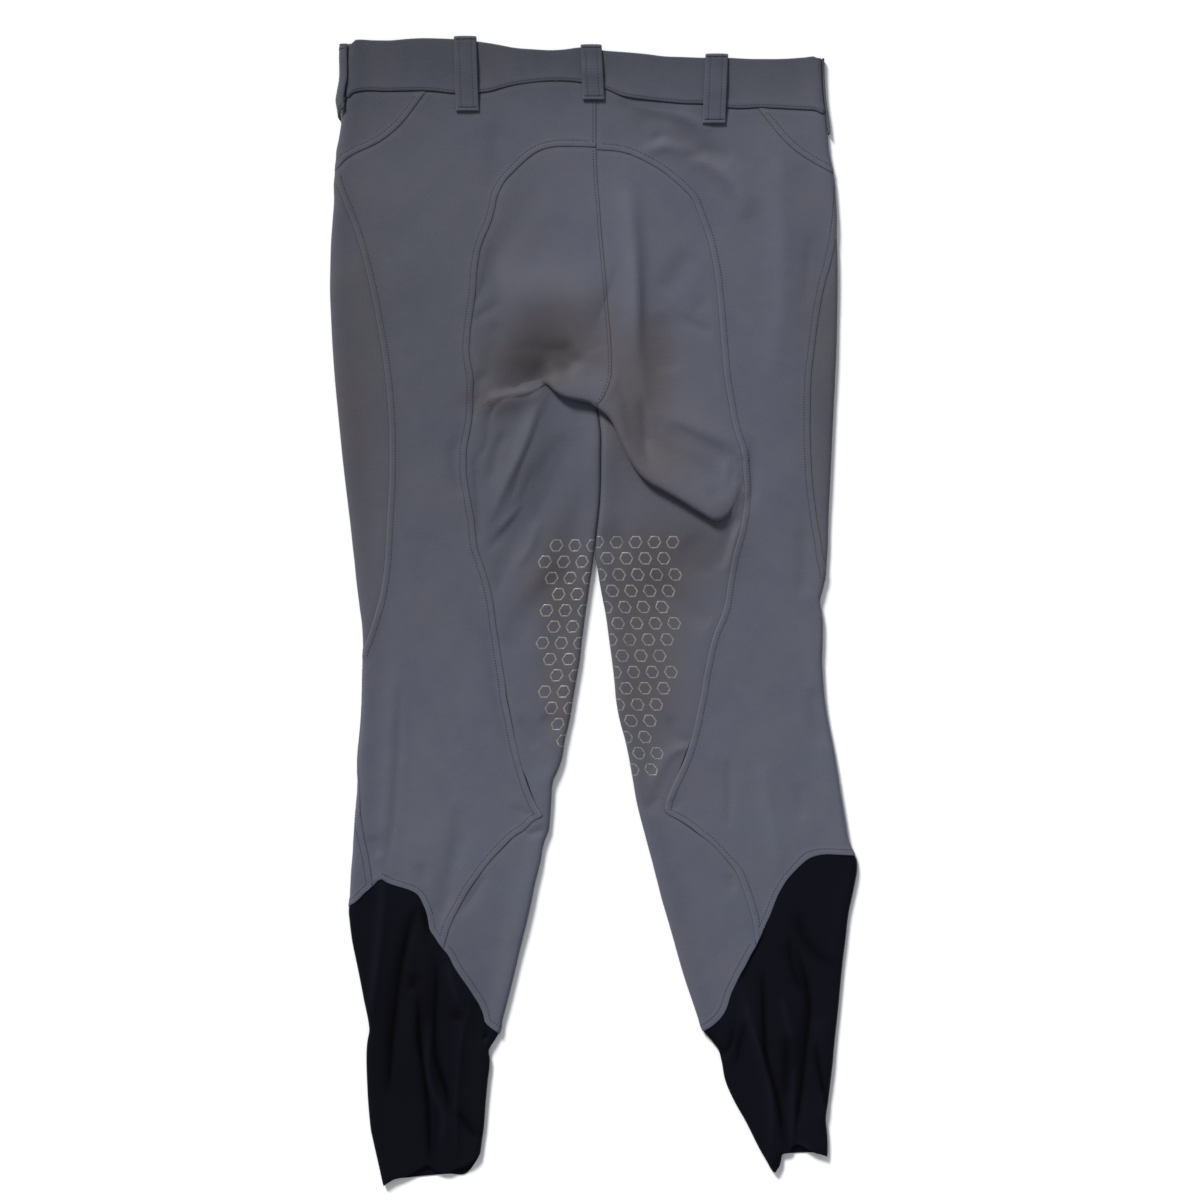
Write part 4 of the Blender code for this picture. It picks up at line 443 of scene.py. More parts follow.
# Shallow creases of the front, which lies on the surface
FRONT_CREASES = [
    ([(-40, 420), (-90, 330), (-100, 240)], 0.6, 9, 7, 1.7),
    ([(40, 400), (80, 320), (110, 250)], 0.6, 7, 9, 1.7),
    ([(-60, 210), (-120, 150), (-150, 60)], 0.7, 8, 8, 1.6),
    ([(70, 200), (110, 130), (150, 60)], 0.7, 8, 8, 1.6),
    ([(-110, 40), (-130, -60), (-140, -150)], 0.5, 9, 9, 1.8),
    ([(120, 20), (135, -70), (150, -140)], 0.5, 9, 9, 1.8),
    ([(-130, -170), (-150, -215)], 0.5, 6, 6, 1.6),
    ([(150, -150), (165, -200)], 0.5, 6, 6, 1.6),
]
# Creases of the lycra ends
LYCRA_CREASES = [
    ([(-153, -258), (-159, -269), (-166, -297), (-175, -357),
      (-180, -425)], -1.3, 2.5, 3.5, 1.3),
    ([(-150, -258), (-148, -270), (-145, -284)], -0.9, 3, 3, 1.4),
    ([(-154, -337), (-153, -376), (-148, -408), (-145, -440),
      (-144, -486)], -1.3, 3, 3, 1.3),
    ([(-143, -355), (-144, -412), (-131, -446), (-134, -474)], 0.9, 3, 3, 1.4),
    ([(-137, -303), (-139, -342), (-138, -395), (-128, -429),
      (-127, -443)], -1.3, 3, 3, 1.3),
    ([(-128, -308), (-123, -329), (-118, -347)], 0.8, 3, 4, 1.4),
    ([(-106, -338), (-114, -365), (-118, -395), (-121, -440),
      (-121, -479)], 0.6, 1.8, 1.2, 1.3),
    ([(-120, -438), (-112, -449), (-102, -464)], -0.8, 4, 4, 1.5),
    ([(-157, -318), (-159, -334)], -0.7, 5, 5, 1.8),
    ([(-119, -350), (-121, -362)], -0.6, 5, 5, 1.8),
    ([(-184, -238), (-187, -283), (-194, -342), (-196, -363)], 0.8, 2.5, 3.5, 1.3),
    ([(-92, -374), (-97, -373)], -0.8, 4, 4, 1.8),
    ([(179, -263), (184, -283), (193, -297), (215, -315)], -0.8, 5, 5, 1.7),
    ([(180, -297), (190, -340), (187, -383), (182, -429),
      (178, -462)], -1.5, 2.5, 3, 1.3),
    ([(178, -400), (175, -472)], 0.8, 2.5, 4, 1.4),
    ([(172, -285), (173, -303), (183, -336)], -0.9, 3, 2.5, 1.3),
    ([(150, -314), (150, -345), (153, -393), (162, -429),
      (169, -472)], -1.3, 2.5, 3, 1.3),
    ([(129, -326), (137, -352), (147, -388), (157, -429),
      (157, -475)], 0.9, 2.5, 3.5, 1.3),
    ([(154, -280), (146, -293), (129, -327)], -0.7, 3.5, 3.5, 1.6),
    ([(196, -379), (199, -403), (202, -418), (205, -441)], -1.1, 2.5, 3, 1.3),
    ([(201, -422), (203.5, -444)], 0.6, 2.5, 2.5, 1.5),
    ([(170, -370), (170, -431)], -0.9, 5, 5, 1.9),
    ([(166, -339), (172, -362), (175, -377)], 0.8, 3, 3.5, 1.4),
    ([(124, -365), (120, -383), (113, -391)], -0.8, 3, 3, 1.4),
    ([(135, -360), (129, -383), (127, -400)], -0.8, 3, 3, 1.4),
    ([(100, -369), (113, -389)], -0.6, 3.5, 3.5, 1.7),
    ([(158, -494), (166, -476)], -0.7, 3.5, 3.5, 1.5),
    ([(179, -466), (195, -475)], 0.7, 2.5, 2.5, 1.4),
]
# Slight waves of loose cloth: length, direction in degrees, phase, height
WAVES = [
    (61, 12, 0.7, 0.10), (83, 78, 2.1, 0.12), (47, 141, 4, 0.07),
    (129, 49, 1.3, 0.18), (97, 108, 5.2, 0.14), (33, 24, 3.1, 0.04),
]
WANDER = 0.8  # how unevenly the waves follow each other
WANDER_PACE = 0.37

# Knee grip: outer limit of the printed zone for each height, x by y, and its rings
GRIP = {
    "left": [(64, -50), (-60, -50), (-100, -46), (-140, -36)],
    "right": [(67, 80), (-28, 79), (-80, 70), (-130, 63), (-158, 56)],
}
RING_PITCH = 16.5
RING_SIZES = {"Radius": 5.6, "Stroke": 1.15, "Height": 0.55}
RING_LOW = {"left": -140, "right": -157}

# Belt loops of the back: middle and width at the upper end, and at the lower end
LOOP_CUT = {
    "loop_back_left": (-112.5, 20, -110.3, 20.6),
    "loop_back_center": (-1.8, 18.6, 0.65, 19.6),
    "loop_back_right": (109, 20.1, 106.4, 20.5),
}
LOOP_ROWS = 0.26  # stitch rows lie this share of the width from the middle
LOOP_LIP = 3.6  # the folded end below the lower bar tack

# Sewing: distance in from the join, and how far the outer face is raised there, mm
SEWN = {
    "lapped": [
        (0, -0.2), (0.35, 0.15), (0.9, 0.42), (1.7, 0.55), (4.2, 0.50), (5, 0.34), (5.6, 0.10),
        (6.2, 0.22), (7.4, 0.10), (9.4, 0),
    ],
    "center": [(0, -0.25), (0.35, 0), (0.9, 0.24), (1.7, 0.28), (2.8, 0.05), (4.2, 0.08), (6.2, 0)],
    "hem": [
        (0, -0.2), (0.35, 0.15), (0.9, 0.38), (3.6, 0.42), (4.2, 0.32), (5, 0.10), (5.6, 0.2),
        (7.4, 0),
    ],
    "band": [(0, -0.7), (0.35, -0.45), (0.9, -0.2), (1.7, 0), (3, 0), (4.2, 0.1), (6.2, 0)],
    "under": [(0, -0.3), (0.35, -0.22), (0.9, -0.2), (1.7, -0.2), (2.8, -0.08), (4.2, 0)],
}
STITCH_AT = {"lapped": 5.6, "center": 2.8, "hem": 5, "band": 3}
STITCH_SIZES = {"Pitch": 2.4, "Length": 1.4, "Width": 1.1, "Height": 0.6}
TACK_SIZES = {"Pitch": 0.9, "Length": 1.5, "Width": 1.3, "Height": 0.8}
STITCH_SEAT = 0.05  # middle of a stitch above the cloth
PUCKER = 0.08  # the lap is uneven by this share, in three waves along it
PUCKER_PACES = ((0.55, 0), (0.23, 1), (1.1, 0))
HOLE_SHADE = 0.04  # painted shade of the needle holes darkens the cloth along a row
GROOVE = 0.3  # underneath, stitches lie in a groove
GROOVE_WIDTH = 0.7
SUNKEN = 0.05  # and this much deeper than above
# How much browner the cloth is along a join, and how far
BROWNED = {"lapped": 0.3, "under": 0.3, "center": 0.4}
BROWN_REACH = 1.8
# How much lighter the rolled cloth beside a join is, a painted sheen with some wear, and how much darker the
# join
SEAM_SHEEN_AND_JOIN = {
    "lapped": (0.14, 0.05), "center": (0.08, 0.08), "hem": (0.12, 0), "under": (0, 0.08),
    "band": (0.05, 0.2),
}
SHEEN_LINE_AT = 1.1  # that lighter line, a painted sheen with some wear, lies this far from the join
LINE_REACH = 0.7  # width of that line, and of the painted shade of a row of needle holes
JOIN_REACH = 0.6

UNDERSIDE_SHARE = 0.2  # share of the painted shade and tint that shows on the side it lies on
# Painted shade in a crease and painted highlight on a ridge: how much they darken or lighten the cloth for
# each millimetre, and the limits
LYCRA_CREASE_SHADE = 0.75
SOFTSHELL_CREASE_SHADE = 0.05
DARKEST, LIGHTEST = -0.75, 0.8
# Painted shade and light, with the cloth's tint: place, reach across and along, how much lighter, how much
# browner. The lighter column paints the waistband and upper left darker and the calves lighter as the light
# falls, and shade in the hollows by the tuck, under its flap and in the creases under the waistband; it also
# darkens the side inserts, the knee grip and the left sock
PAINTED_SHADE_AND_TINT = [
    (0, 500, 600, 70, -0.28, 0),
    (0, 495, 600, 34, -0.14, 0),
    (-200, 430, 50, 40, -0.08, 0),
    (-160, 250, 100, 240, -0.21, 0.1),
    (-45, 105, 55, 70, -0.19, 0),
    (75, 60, 50, 40, -0.16, 0.2),
    (-34, 240, 34, 26, -0.26, 0.8),
    (-56, 218, 30, 16, -0.36, 0.8),
    (-70, 330, 40, 60, -0.06, 0.2),
    (-84, 186, 22, 10, -0.1, 0.3),
    (38, 190, 30, 60, -0.08, 0.9),
    (56, 222, 16, 40, -0.12, 0.5),
    (92, 402, 26, 16, -0.08, 0.2),
    (40, 432, 11, 8, -0.15, 0.1),
    (76, 420, 12, 8, -0.15, 0.1),
    (97, 406, 12, 8, -0.12, 0.1),
    (-58, 205, 14, 9, -0.12, 0.3),
    (-150, -190, 90, 90, 0.05, 0),
    (170, -180, 90, 90, 0.05, 0),
    (-207, 190, 26, 170, -0.12, 0.6),
    (206, 190, 22, 150, -0.32, 0.35),
    (-150, -380, 70, 120, -0.2, 0),
    (-28, 24, 26, 42, -0.22, 1),
    (-26, -70, 22, 60, -0.14, 1),
    (44, 24, 34, 42, -0.2, 1),
    (44, -70, 30, 70, -0.14, 1),
    (-30, 250, 52, 42, -0.06, 0.5),
    (62, 130, 44, 30, -0.03, 0.6),
    (-90, 188, 32, 12, -0.12, 0.5),
    (90, 55, 45, 32, -0.04, 0.4),
    (-62, 130, 40, 60, -0.02, 0),
    (-40, 215, 60, 20, -0.02, 0.25),
]

# Spacing of points, mm
SHARPEST = 0.02  # limits how far an acute corner is drawn in
NEAREST = 0.6  # points of an outline closer than this are one
SEAM_STEP = 3.0
SEAM_ROWS = (0.35, 0.9, 1.7, 2.8, 4.2, 5.0, 5.6, 6.2, 7.4, 9.4)
ROW_CLEAR = 0.92  # share of its distance that a row keeps from every edge
ROWS_END = 11.0  # the even lattice starts this far inside the outline
GRID_BACK = 3.0
GRID_FRONT = 7.0
FOLD_CLEAR = 0.8  # points on a fold's columns keep this far from the outline
ON_COLUMN = 0.25  # and count as on a column within this
HEM_BACK_STEPS = 60
HEM_FRONT_STEPS = 36
LYCRA_ROWS = 78
CLOTH_LOW = -400.0  # the panels lie between these in y
CLOTH_HIGH = 480.0
SEAT_REACH = 180.0  # and the inner pieces reach less far than this from the fold, back and front
INSEAM_REACH = 70.0
FOLD_STEP = 6.0
FOLD_TAIL = 3.0  # a fold counts within this many times its spread
FOLD_ENDS = 0.6  # share of its height that a fold has lost at its ends
CREASE_ENDS = 0.9
FRONT_FADE = 12.0  # the front's creases start over this length from the fold
CREASE_RISE = 1.9  # the creases stand out this much more than the table gives
LYCRA_RISE = 1.6  # and those of the lycra this much more
CHUNK = 3000  # points worked out at a time
SHARP_ANGLE = 60.0  # edges sharper than this many degrees stay sharp
ROUND_EDGE = 1.25  # a folded edge of the band or a loop is round within this
THINNEST = 0.12  # share of the wall left at the very edge
HEM_CLEAR = 1.1  # the lycra starts a little further than the gap of a seam below the hem
END_ROUND = 1.6  # its open end is rounder than a folded edge
HEM_SINK = 0.5  # and it sinks half as deep as the thicker cloth beside the hem
FEW_ROUNDS = 4  # rounds in which a place settles that depends on itself
HEM_ROUNDS = 30
ROW_ROUNDS = 60

SIGN = {"left": -1.0, "right": 1.0}
SIDES = ("left", "right")
FOLD_COLUMNS = np.linspace(-QUARTER, QUARTER, 9)

# Colours, linear
SLATE = (0.0755, 0.0808, 0.1085)
SLATE_WARM = (0.084, 0.076, 0.084)
BLACK = (0.0038, 0.0037, 0.0072)
# the thread is darker than the cloth, so its stitches also carry the painted shade of the needle holes
THREAD_WITH_HOLE_SHADE = (0.022, 0.0235, 0.033)
GRIP_GREY = (0.19, 0.18, 0.165)
TAPE_GREY = (0.03, 0.03, 0.035)
COIL_GREY = (0.05, 0.05, 0.055)
FLOOR_WHITE = (0.93, 0.93, 0.935)

# Light
KEY_PLACE = (-1.54, 2.93, 2.24)
KEY_ANGLE = 15.0
KEY_STRENGTH = 4.2
FILL = 0.43
SKY = (0.94, 0.96, 1.0)
FLOOR_SIZE = 8.0
FLOOR_DROP = 0.0003
COIL_SIZES = {"Pitch": 1.5, "Length": 0.9, "Width": 4.0, "Height": 1.4}
BAND_ROWS = 12
BAND_LOW = (0.0, 0.35, 0.9, 1.7, 2.8, 4.2, 6.2)  # its rows above the seam
BAND_HIGH = (2.6, 1.7, 1.1, 0.6, 0.25, 0.0)  # and below its top
BAND_STITCHED = 4  # the one of its rows that is stitched
LOOP_EDGE = (0.0, 0.25, 0.6, 1.0, 1.6)  # a loop's rows and columns at its edges
LOOP_NEXT = (2.4, 3.2)  # and the rows after these
LOOP_ROW_STEP = 1.1
LOOP_COLUMN_STEP = 0.8
LOOP_FULL = 0.3  # a loop is this much thicker in the middle
ROW_WIDTH = 0.6  # its stitch rows and bar tacks lie in hollows of these sizes
ROW_DEPTH = 0.22
TACK_WIDTH = 0.8
TACK_SHARE = 0.4  # half a bar tack, as a share of the loop's width
TACK_BELOW = 4.5  # the upper bar tack lies this far from the end
LEAST_CUT = 10.0
LEAST_AREA = 0.31  # a cut piece covers at least this share of its rectangle
BESIDE_FOLD = 2.4  # the lattices start this far from a fold's columns, on the back and on the front
BESIDE_FRONT = 4.0


# Curves

def smooth(points, step):
    """Points about `step` apart on a smooth curve through the given ones."""
    p = np.asarray(points, float)
    chord = np.linalg.norm(np.diff(p, axis=0), axis=1)
    along = np.concatenate([[0.0], np.cumsum(chord)])
    slope = np.diff(p, axis=0) / chord[:, None]
    tangent = np.empty_like(p)
    tangent[0], tangent[-1] = slope[0], slope[-1]
    share = (chord[:-1] / (chord[:-1] + chord[1:]))[:, None]
    tangent[1:-1] = slope[:-1] * (1.0 - share) + slope[1:] * share
    count = max(2, int(math.ceil(along[-1] / step)) + 1)
    at = np.linspace(0.0, along[-1], count)
    i = np.clip(np.searchsorted(along, at, side="right") - 1, 0, len(chord) - 1)
    t = ((at - along[i]) / chord[i])[:, None]
    length = chord[i][:, None]
    return (
        p[i] * (1 + 2 * t) * (1 - t) ** 2
        + p[i + 1] * t**2 * (3 - 2 * t)
        + tangent[i] * length * t * (1 - t) ** 2
        - tangent[i + 1] * length * t**2 * (1 - t)
    )


def table_curve(rows, key, value):
    """A function that reads one column of a table smoothly against another."""
    line = smooth([(row[key], row[value]) for row in rows], 1.0)
    line = line[np.argsort(line[:, 0], kind="stable")]
    return lambda at: np.interp(at, line[:, 0], line[:, 1])


def leg_curve(rows):
    """Height against the share of the way across a leg."""
    curve = table_curve([(share * LEG, y) for share, y in rows], 0, 1)
    return lambda share: curve(np.asarray(share) * LEG)


def spread(low, high, step):
    """Even steps of about the given size."""
    return np.linspace(low, high, max(1, int(round(abs(high - low) / step))) + 1)


def ease(t):
    """0 to 1 with level ends."""
    t = np.clip(t, 0.0, 1.0)
    return t * t * (3.0 - 2.0 * t)


OUTER = {"left": table_curve(SECTIONS, 0, 1), "right": table_curve(SECTIONS, 0, 4)}
INNER = {"left": table_curve(SECTIONS, 0, 2), "right": table_curve(SECTIONS, 0, 3)}
TUCK_EDGE_Y = table_curve(TUCK, 0, 1)
TUCK_SHARE = table_curve(TUCK, 0, 2)


def outer_x(side, y):
    """The outer fold line of the cloth's middle."""
    return OUTER[side](y) - SIGN[side] * SOFTSHELL / 2


def center_x(y):
    return (INNER["left"](y) + INNER["right"](y)) / 2


def half_parting(y):
    """Half the distance between the two inner fold lines."""
    return (INNER["right"](y) - INNER["left"](y) + SOFTSHELL) / 2


def inner_x(side, y, opened=1.0):
    return center_x(y) + SIGN[side] * half_parting(y) * opened


def along_length(points):
    return float(np.sum(np.hypot(*np.diff(points, axis=0).T)))


def beside(line, points):
    """For each point: its distance from the line, how far along, and whether it lies to the left."""
    start, step = line[:-1], np.diff(line, axis=0)
    length = np.hypot(step[:, 0], step[:, 1])
    so_far = np.concatenate([[0.0], np.cumsum(length)])[:-1]
    distance, along = np.empty(len(points)), np.empty(len(points))
    left = np.empty(len(points), bool)
    for low in range(0, len(points), CHUNK):
        part = slice(low, low + CHUNK)
        dx = points[part, 0:1] - start[:, 0]
        dy = points[part, 1:2] - start[:, 1]
        t = np.clip((dx * step[:, 0] + dy * step[:, 1]) / length**2, 0.0, 1.0)
        away = np.hypot(dx - t * step[:, 0], dy - t * step[:, 1])
        nearest = np.argmin(away, axis=1)
        row = np.arange(len(nearest))
        distance[part] = away[row, nearest]
        along[part] = so_far[nearest] + t[row, nearest] * length[nearest]
        left[part] = (step[nearest, 0] * dy[row, nearest] - step[nearest, 1] * dx[row, nearest]) > 0
    return distance, along, left


# Heights

def fold_height(x, y, folds, ends):
    """Sum of the folds at the given places; `ends` is how far each one dies out at its ends."""
    shape = np.shape(x)
    x, y = np.ravel(x), np.ravel(y)
    total = np.zeros(len(x))
    for line, height, spread_left, spread_right, *sharpness in folds:
        points = smooth(line, FOLD_STEP)
        reach = FOLD_TAIL * max(spread_left, spread_right)
        low, high = points.min(axis=0) - reach, points.max(axis=0) + reach
        near = np.flatnonzero((x > low[0]) & (x < high[0]) & (y > low[1]) & (y < high[1]))
        if not len(near):
            continue
        distance, along, left = beside(points, np.stack([x[near], y[near]], -1))
        spread = np.where(left, spread_left, spread_right)
        taper = 1.0 - (2.0 * along / along_length(points) - 1.0) ** 4 * ends
        power = sharpness[0] if sharpness else 2.0
        total[near] += height * taper * np.exp(-((distance / spread) ** power))
    return total.reshape(shape)


def waves(x, y):
    """The slight unevenness of cloth that lies loose."""
    total = 0.0 * x
    for length, direction, phase, height in WAVES:
        angle = math.radians(direction)
        run = (x * math.cos(angle) + y * math.sin(angle)) * 2 * math.pi / length
        total = total + height * np.sin(run + phase + WANDER * np.sin(run * WANDER_PACE + phase * 2))
    return total


def edge_lift(distance):
    """The cloth's lift close to a folded edge."""
    return EDGE_RISE * np.exp(-((np.maximum(distance - FOLD_REACH, 0.0) / EDGE_FADE) ** 2))


def resting(height, wall):
    """Hollows go no deeper than the cloth underneath lets them."""
    above = height - 1.5 * wall - 1.5 * SEAM_GAP
    return height + (np.sqrt(above**2 + REST_SOFTNESS**2) - above) / 2


def back_height(side, x, y):
    """Height of the back cloth's middle."""
    outer = SIGN[side] * (outer_x(side, y) - x)
    inner = SIGN[side] * (x - inner_x(side, y))
    parted = ease((PARTED_Y - y) / CROTCH_ROUND)
    calm = ease((CALM_Y - y) / CALM_FADE)
    lift = edge_lift(outer) + edge_lift(inner) * parted
    creases = CREASE_RISE * fold_height(x, y, CREASES, CREASE_ENDS)
    folds = fold_height(x, y, FOLDS, FOLD_ENDS) + creases + waves(x, y)
    return resting(LIE + lift + calm * folds, SOFTSHELL)


def front_height(x, y):
    """Height of the middle of the front cloth, which lies on the surface."""
    return SOFTSHELL / 2 + fold_height(x, y, FRONT_CREASES, CREASE_ENDS)


def band_height(side, x, y):
    outer = SIGN[side] * (outer_x(side, y) - x)
    return BAND_LIE + edge_lift(outer) + waves(x, y)


def lycra_height(side, x, y):
    outer = SIGN[side] * (outer_x(side, y) - x)
    inner = SIGN[side] * (x - inner_x(side, y))
    lift = 0.8 * (edge_lift(outer) + edge_lift(inner))
    folds = fold_height(x, y, LYCRA_FOLDS, FOLD_ENDS)
    folds = folds + LYCRA_RISE * fold_height(x, y, LYCRA_CREASES, CREASE_ENDS)
    return resting(LYCRA_LIE + lift + folds + waves(x, y), LYCRA)


# From flat cloth to where it lies. `across` counts cloth from a fold line, positive on the back.

def turned(across, reach, top, low):
    """How far in from the fold line, and how high."""
    angle = np.clip(across / QUARTER, -1.0, 1.0) * math.pi / 2
    inward = reach * (1.0 - np.cos(angle)) + np.maximum(np.abs(across) - QUARTER, 0.0)
    return inward, (top + low) / 2 + (top - low) / 2 * np.sin(angle)


def lay_outer(side, across, y, wall=SOFTSHELL, height=back_height):
    """Cloth over the outer fold."""
    fold = outer_x(side, y)
    edge = height(side, fold - SIGN[side] * FOLD_REACH, y)
    inward, z = turned(across, FOLD_REACH, edge, wall / 2)
    x = fold - SIGN[side] * inward
    z = np.where(across > QUARTER, height(side, x, y), z)
    if wall == SOFTSHELL:
        below = ease((-across - QUARTER) / FRONT_FADE)
        z = z + (front_height(x, y) - SOFTSHELL / 2) * below
    return np.stack([x, y, z], -1)


def tuck_path(row, stretch):
    """The tuck's path below and above the row along its edge: y from that row, height, and lift share."""
    edge, back = math.pi * TUCK_EDGE, math.pi * TUCK_BACK
    total = 2 * TUCK_SPAN + edge + back + 2 * TUCK_DEPTH
    s = (0.5 - 0.5 * np.clip((row - TUCK_ROW) / TUCK_SPAN, -1.0, 1.0)) * total
    stops = np.cumsum([TUCK_SPAN, edge, TUCK_DEPTH, back])
    middle = TUCK_LOW + 2 * TUCK_BACK
    top = middle + 2 * TUCK_EDGE
    round_edge = (s - stops[0]) / TUCK_EDGE
    round_back = (s - stops[2]) / TUCK_BACK
    pieces = [s < stops[0], s < stops[1], s < stops[2], s < stops[3]]
    deep = TUCK_DEPTH * stretch
    below = (s - stops[3]) / (total - stops[3])
    y = np.select(
        pieces,
        [
            TUCK_SPAN - s,
            -TUCK_EDGE * stretch * np.sin(round_edge),
            (s - stops[1]) * stretch,
            deep + TUCK_BACK * stretch * np.sin(round_back),
        ],
        deep - below * (deep + TUCK_SPAN),
    )
    z = np.select(
        pieces,
        [
            top + 0 * s,
            top - TUCK_EDGE * (1 - np.cos(round_edge)),
            middle + TUCK_TILT - 2 * TUCK_TILT * (s - stops[1]) / TUCK_DEPTH,
            middle - TUCK_TILT * (1 - round_back / math.pi * 2) - TUCK_BACK * (1 - np.cos(round_back)),
        ],
        TUCK_LOW + 0 * s,
    )
    rise = ease((s - TUCK_SPAN + TUCK_RISE) / TUCK_RISE)
    held = np.select(pieces, [rise, 1.0 + 0 * s, 1.0 + 0 * s, 1.0 + 0 * s], 1.0 - ease(below))
    return y, z, held


def row_shift(across):
    """How far the rows shift in y to follow the folded edge."""
    return TUCK_EDGE_Y(across) + TUCK_EDGE + SOFTSHELL / 2 - TUCK_ROW


def row_follow(row):
    reach = np.where(row > TUCK_ROW, TUCK_ABOVE, TUCK_BELOW)
    return 1.0 - ease(np.abs(row - TUCK_ROW) / reach)


def row_of(across, y):
    """The flat row that lies at y, away from the tuck itself."""
    row = np.array(y, float)
    for _ in range(ROW_ROUNDS):
        row = y - row_shift(across) * row_follow(row)
    return row


def lowered_row(y):
    """The flat row at the inner fold line that lies at y, below the crotch."""
    rows = np.linspace(CROTCH_ROW, -420.0, 1200)
    return np.interp(y, lay_inner("left", np.zeros_like(rows), rows)[::-1, 1], rows[::-1])


def inner_opening(row):
    """How far the inner folds have parted, 0 to 1, and how far they curve in."""
    opened = ease((TUCK_ROW - row) / (TUCK_ROW - CROTCH_ROW))
    return opened, FOLD_REACH * ease((CROTCH_ROW - row) / CROTCH_ROUND)


def steadied(aside, y):
    """A little way from the centre seam, the cloth follows only the seam's general line, not its bends."""
    general = sum(center_x(y + step) for step in SEAM_BENDS) / len(SEAM_BENDS)
    apart = np.abs(aside)
    share = ease((apart - STEADY_FROM) / STEADY_OVER) * (1.0 - ease((apart - STEADY_TO) / STEADY_FADE))
    return (general - center_x(y)) * share


def lay_inner(side, across, row):
    """Cloth of the seat and inner leg: beside the centre seam, through the tuck, round the inner fold."""
    aside = SIGN[side] * np.maximum(across - QUARTER, 0.0)
    share = TUCK_SHARE(aside)
    slope = (row_shift(aside + 2.0) - row_shift(aside - 2.0)) / 4.0
    plain = row + row_shift(aside) * row_follow(row)
    path_y, path_z, held = tuck_path(row, np.minimum(np.sqrt(1.0 + slope**2), STEEPEST))
    off = np.clip(row - TUCK_ROW, -TUCK_SPAN, TUCK_SPAN)
    y = plain + share * (path_y - off)
    opened, reach = inner_opening(row)
    fold = inner_x(side, y, opened)
    near = fold + SIGN[side] * reach
    inward, turn = turned(across, reach, 1.0, 0.0)
    x = fold + SIGN[side] * inward + steadied(aside, y)

    def lifted(at_x):
        return (1 - share * held) * back_height(side, at_x, y) + share * held * path_z

    low = SOFTSHELL / 2
    z = np.where(across > QUARTER, lifted(x), low + (lifted(near) - low) * turn)
    return np.stack([x, y, z], -1)


def crotch_row():
    """The flat row at the centre seam that lies a little behind the folded edge, on the thigh cloth."""
    rows = np.linspace(TUCK_ROW, TUCK_ROW - TUCK_SPAN, 2001)
    path_y, path_z, _ = tuck_path(rows, 1.0)
    low = path_z <= TUCK_LOW + 1e-6
    return float(np.interp(-CROTCH_BEHIND, -path_y[low], rows[low]))


CROTCH_ROW = crotch_row()
CROTCH_Y = float(lay_inner("left", np.array([0.0]), np.array([CROTCH_ROW]))[0, 1])


def ring_point(side, turn, y, wall, height):
    """A leg's tube: turn 0 at the outer fold, 0.5 at the inner fold by way of the back."""
    width = SIGN[side] * (outer_x(side, y) - inner_x(side, y))
    half = width - 2 * FOLD_REACH + 2 * QUARTER
    place = (turn % 1.0) * 2 * half
    place = np.where(place > half * 1.5, place - 2 * half, place)
    outer = lay_outer(side, place, y, wall, height)
    fold = inner_x(side, y)
    edge = height(side, fold + SIGN[side] * FOLD_REACH, y)
    inward, z = turned(half - place, FOLD_REACH, edge, wall / 2)
    x = fold + SIGN[side] * inward
    z = np.where(half - place > QUARTER, height(side, x, y), z)
    inner = np.stack([x, y, z], -1)
    return np.where((np.abs(place) < half / 2)[..., None], outer, inner)


# Lines in the flat cloth

def outer_across(side, x, y):
    """Cloth from the outer fold line to a place on the back."""
    return SIGN[side] * (outer_x(side, y) - x) - FOLD_REACH + QUARTER


def to_outer(side, line):
    """A line of the back in the flat cloth of the outer fold."""
    return np.stack([outer_across(side, line[:, 0], line[:, 1]), line[:, 1]], -1)


def to_inner(side, line):
    """A line of the back in the flat cloth of the inner fold."""
    x, y = line[:, 0], line[:, 1]
    row = y
    for _ in range(FEW_ROUNDS):
        opened, reach = inner_opening(row)
        across = SIGN[side] * (x - inner_x(side, y, opened)) - reach + QUARTER
        row = row_of(SIGN[side] * np.maximum(across - QUARTER, 0.0), y)
    return np.stack([across, row], -1)


def between(line, low, high):
    """The part of a line whose first column lies in a range, ends added."""
    rising = line if line[0, 0] < line[-1, 0] else line[::-1]
    inside = rising[(rising[:, 0] > low + 1.0) & (rising[:, 0] < high - 1.0)]
    ends = [[at, np.interp(at, rising[:, 0], rising[:, 1])] for at in (low, high)]
    return np.vstack([ends[:1], inside, ends[1:]])


def waist_line(side, rows, front_center):
    """A line right across one half at the waist, from centre front round the fold to centre back."""
    back = smooth(rows, 2.0)
    back_y = np.interp(center_x(450.0), back[:, 0], back[:, 1])
    fold_y = np.interp(outer_x(side, 450.0), back[:, 0], back[:, 1])
    far = outer_across(side, center_x(back_y), back_y)
    behind = spread(QUARTER, far, SEAM_STEP)
    y = np.full(len(behind), back_y)
    for _ in range(FEW_ROUNDS):
        x = outer_x(side, y) - SIGN[side] * (behind - QUARTER + FOLD_REACH)
        y = np.interp(x, back[:, 0], back[:, 1])
    y[0], y[-1] = fold_y, back_y
    front_y = fold_y + (front_center - fold_y) * ease((behind - QUARTER) / (far - QUARTER))
    front = behind.copy()
    front[-1] = outer_across(side, center_x(front_y[-1]), front_y[-1])
    across = np.concatenate([-front[::-1], FOLD_COLUMNS[1:-1], behind])
    at_fold = np.full(len(FOLD_COLUMNS) - 2, fold_y)
    return np.stack([across, np.concatenate([front_y[::-1], at_fold, y])], -1)


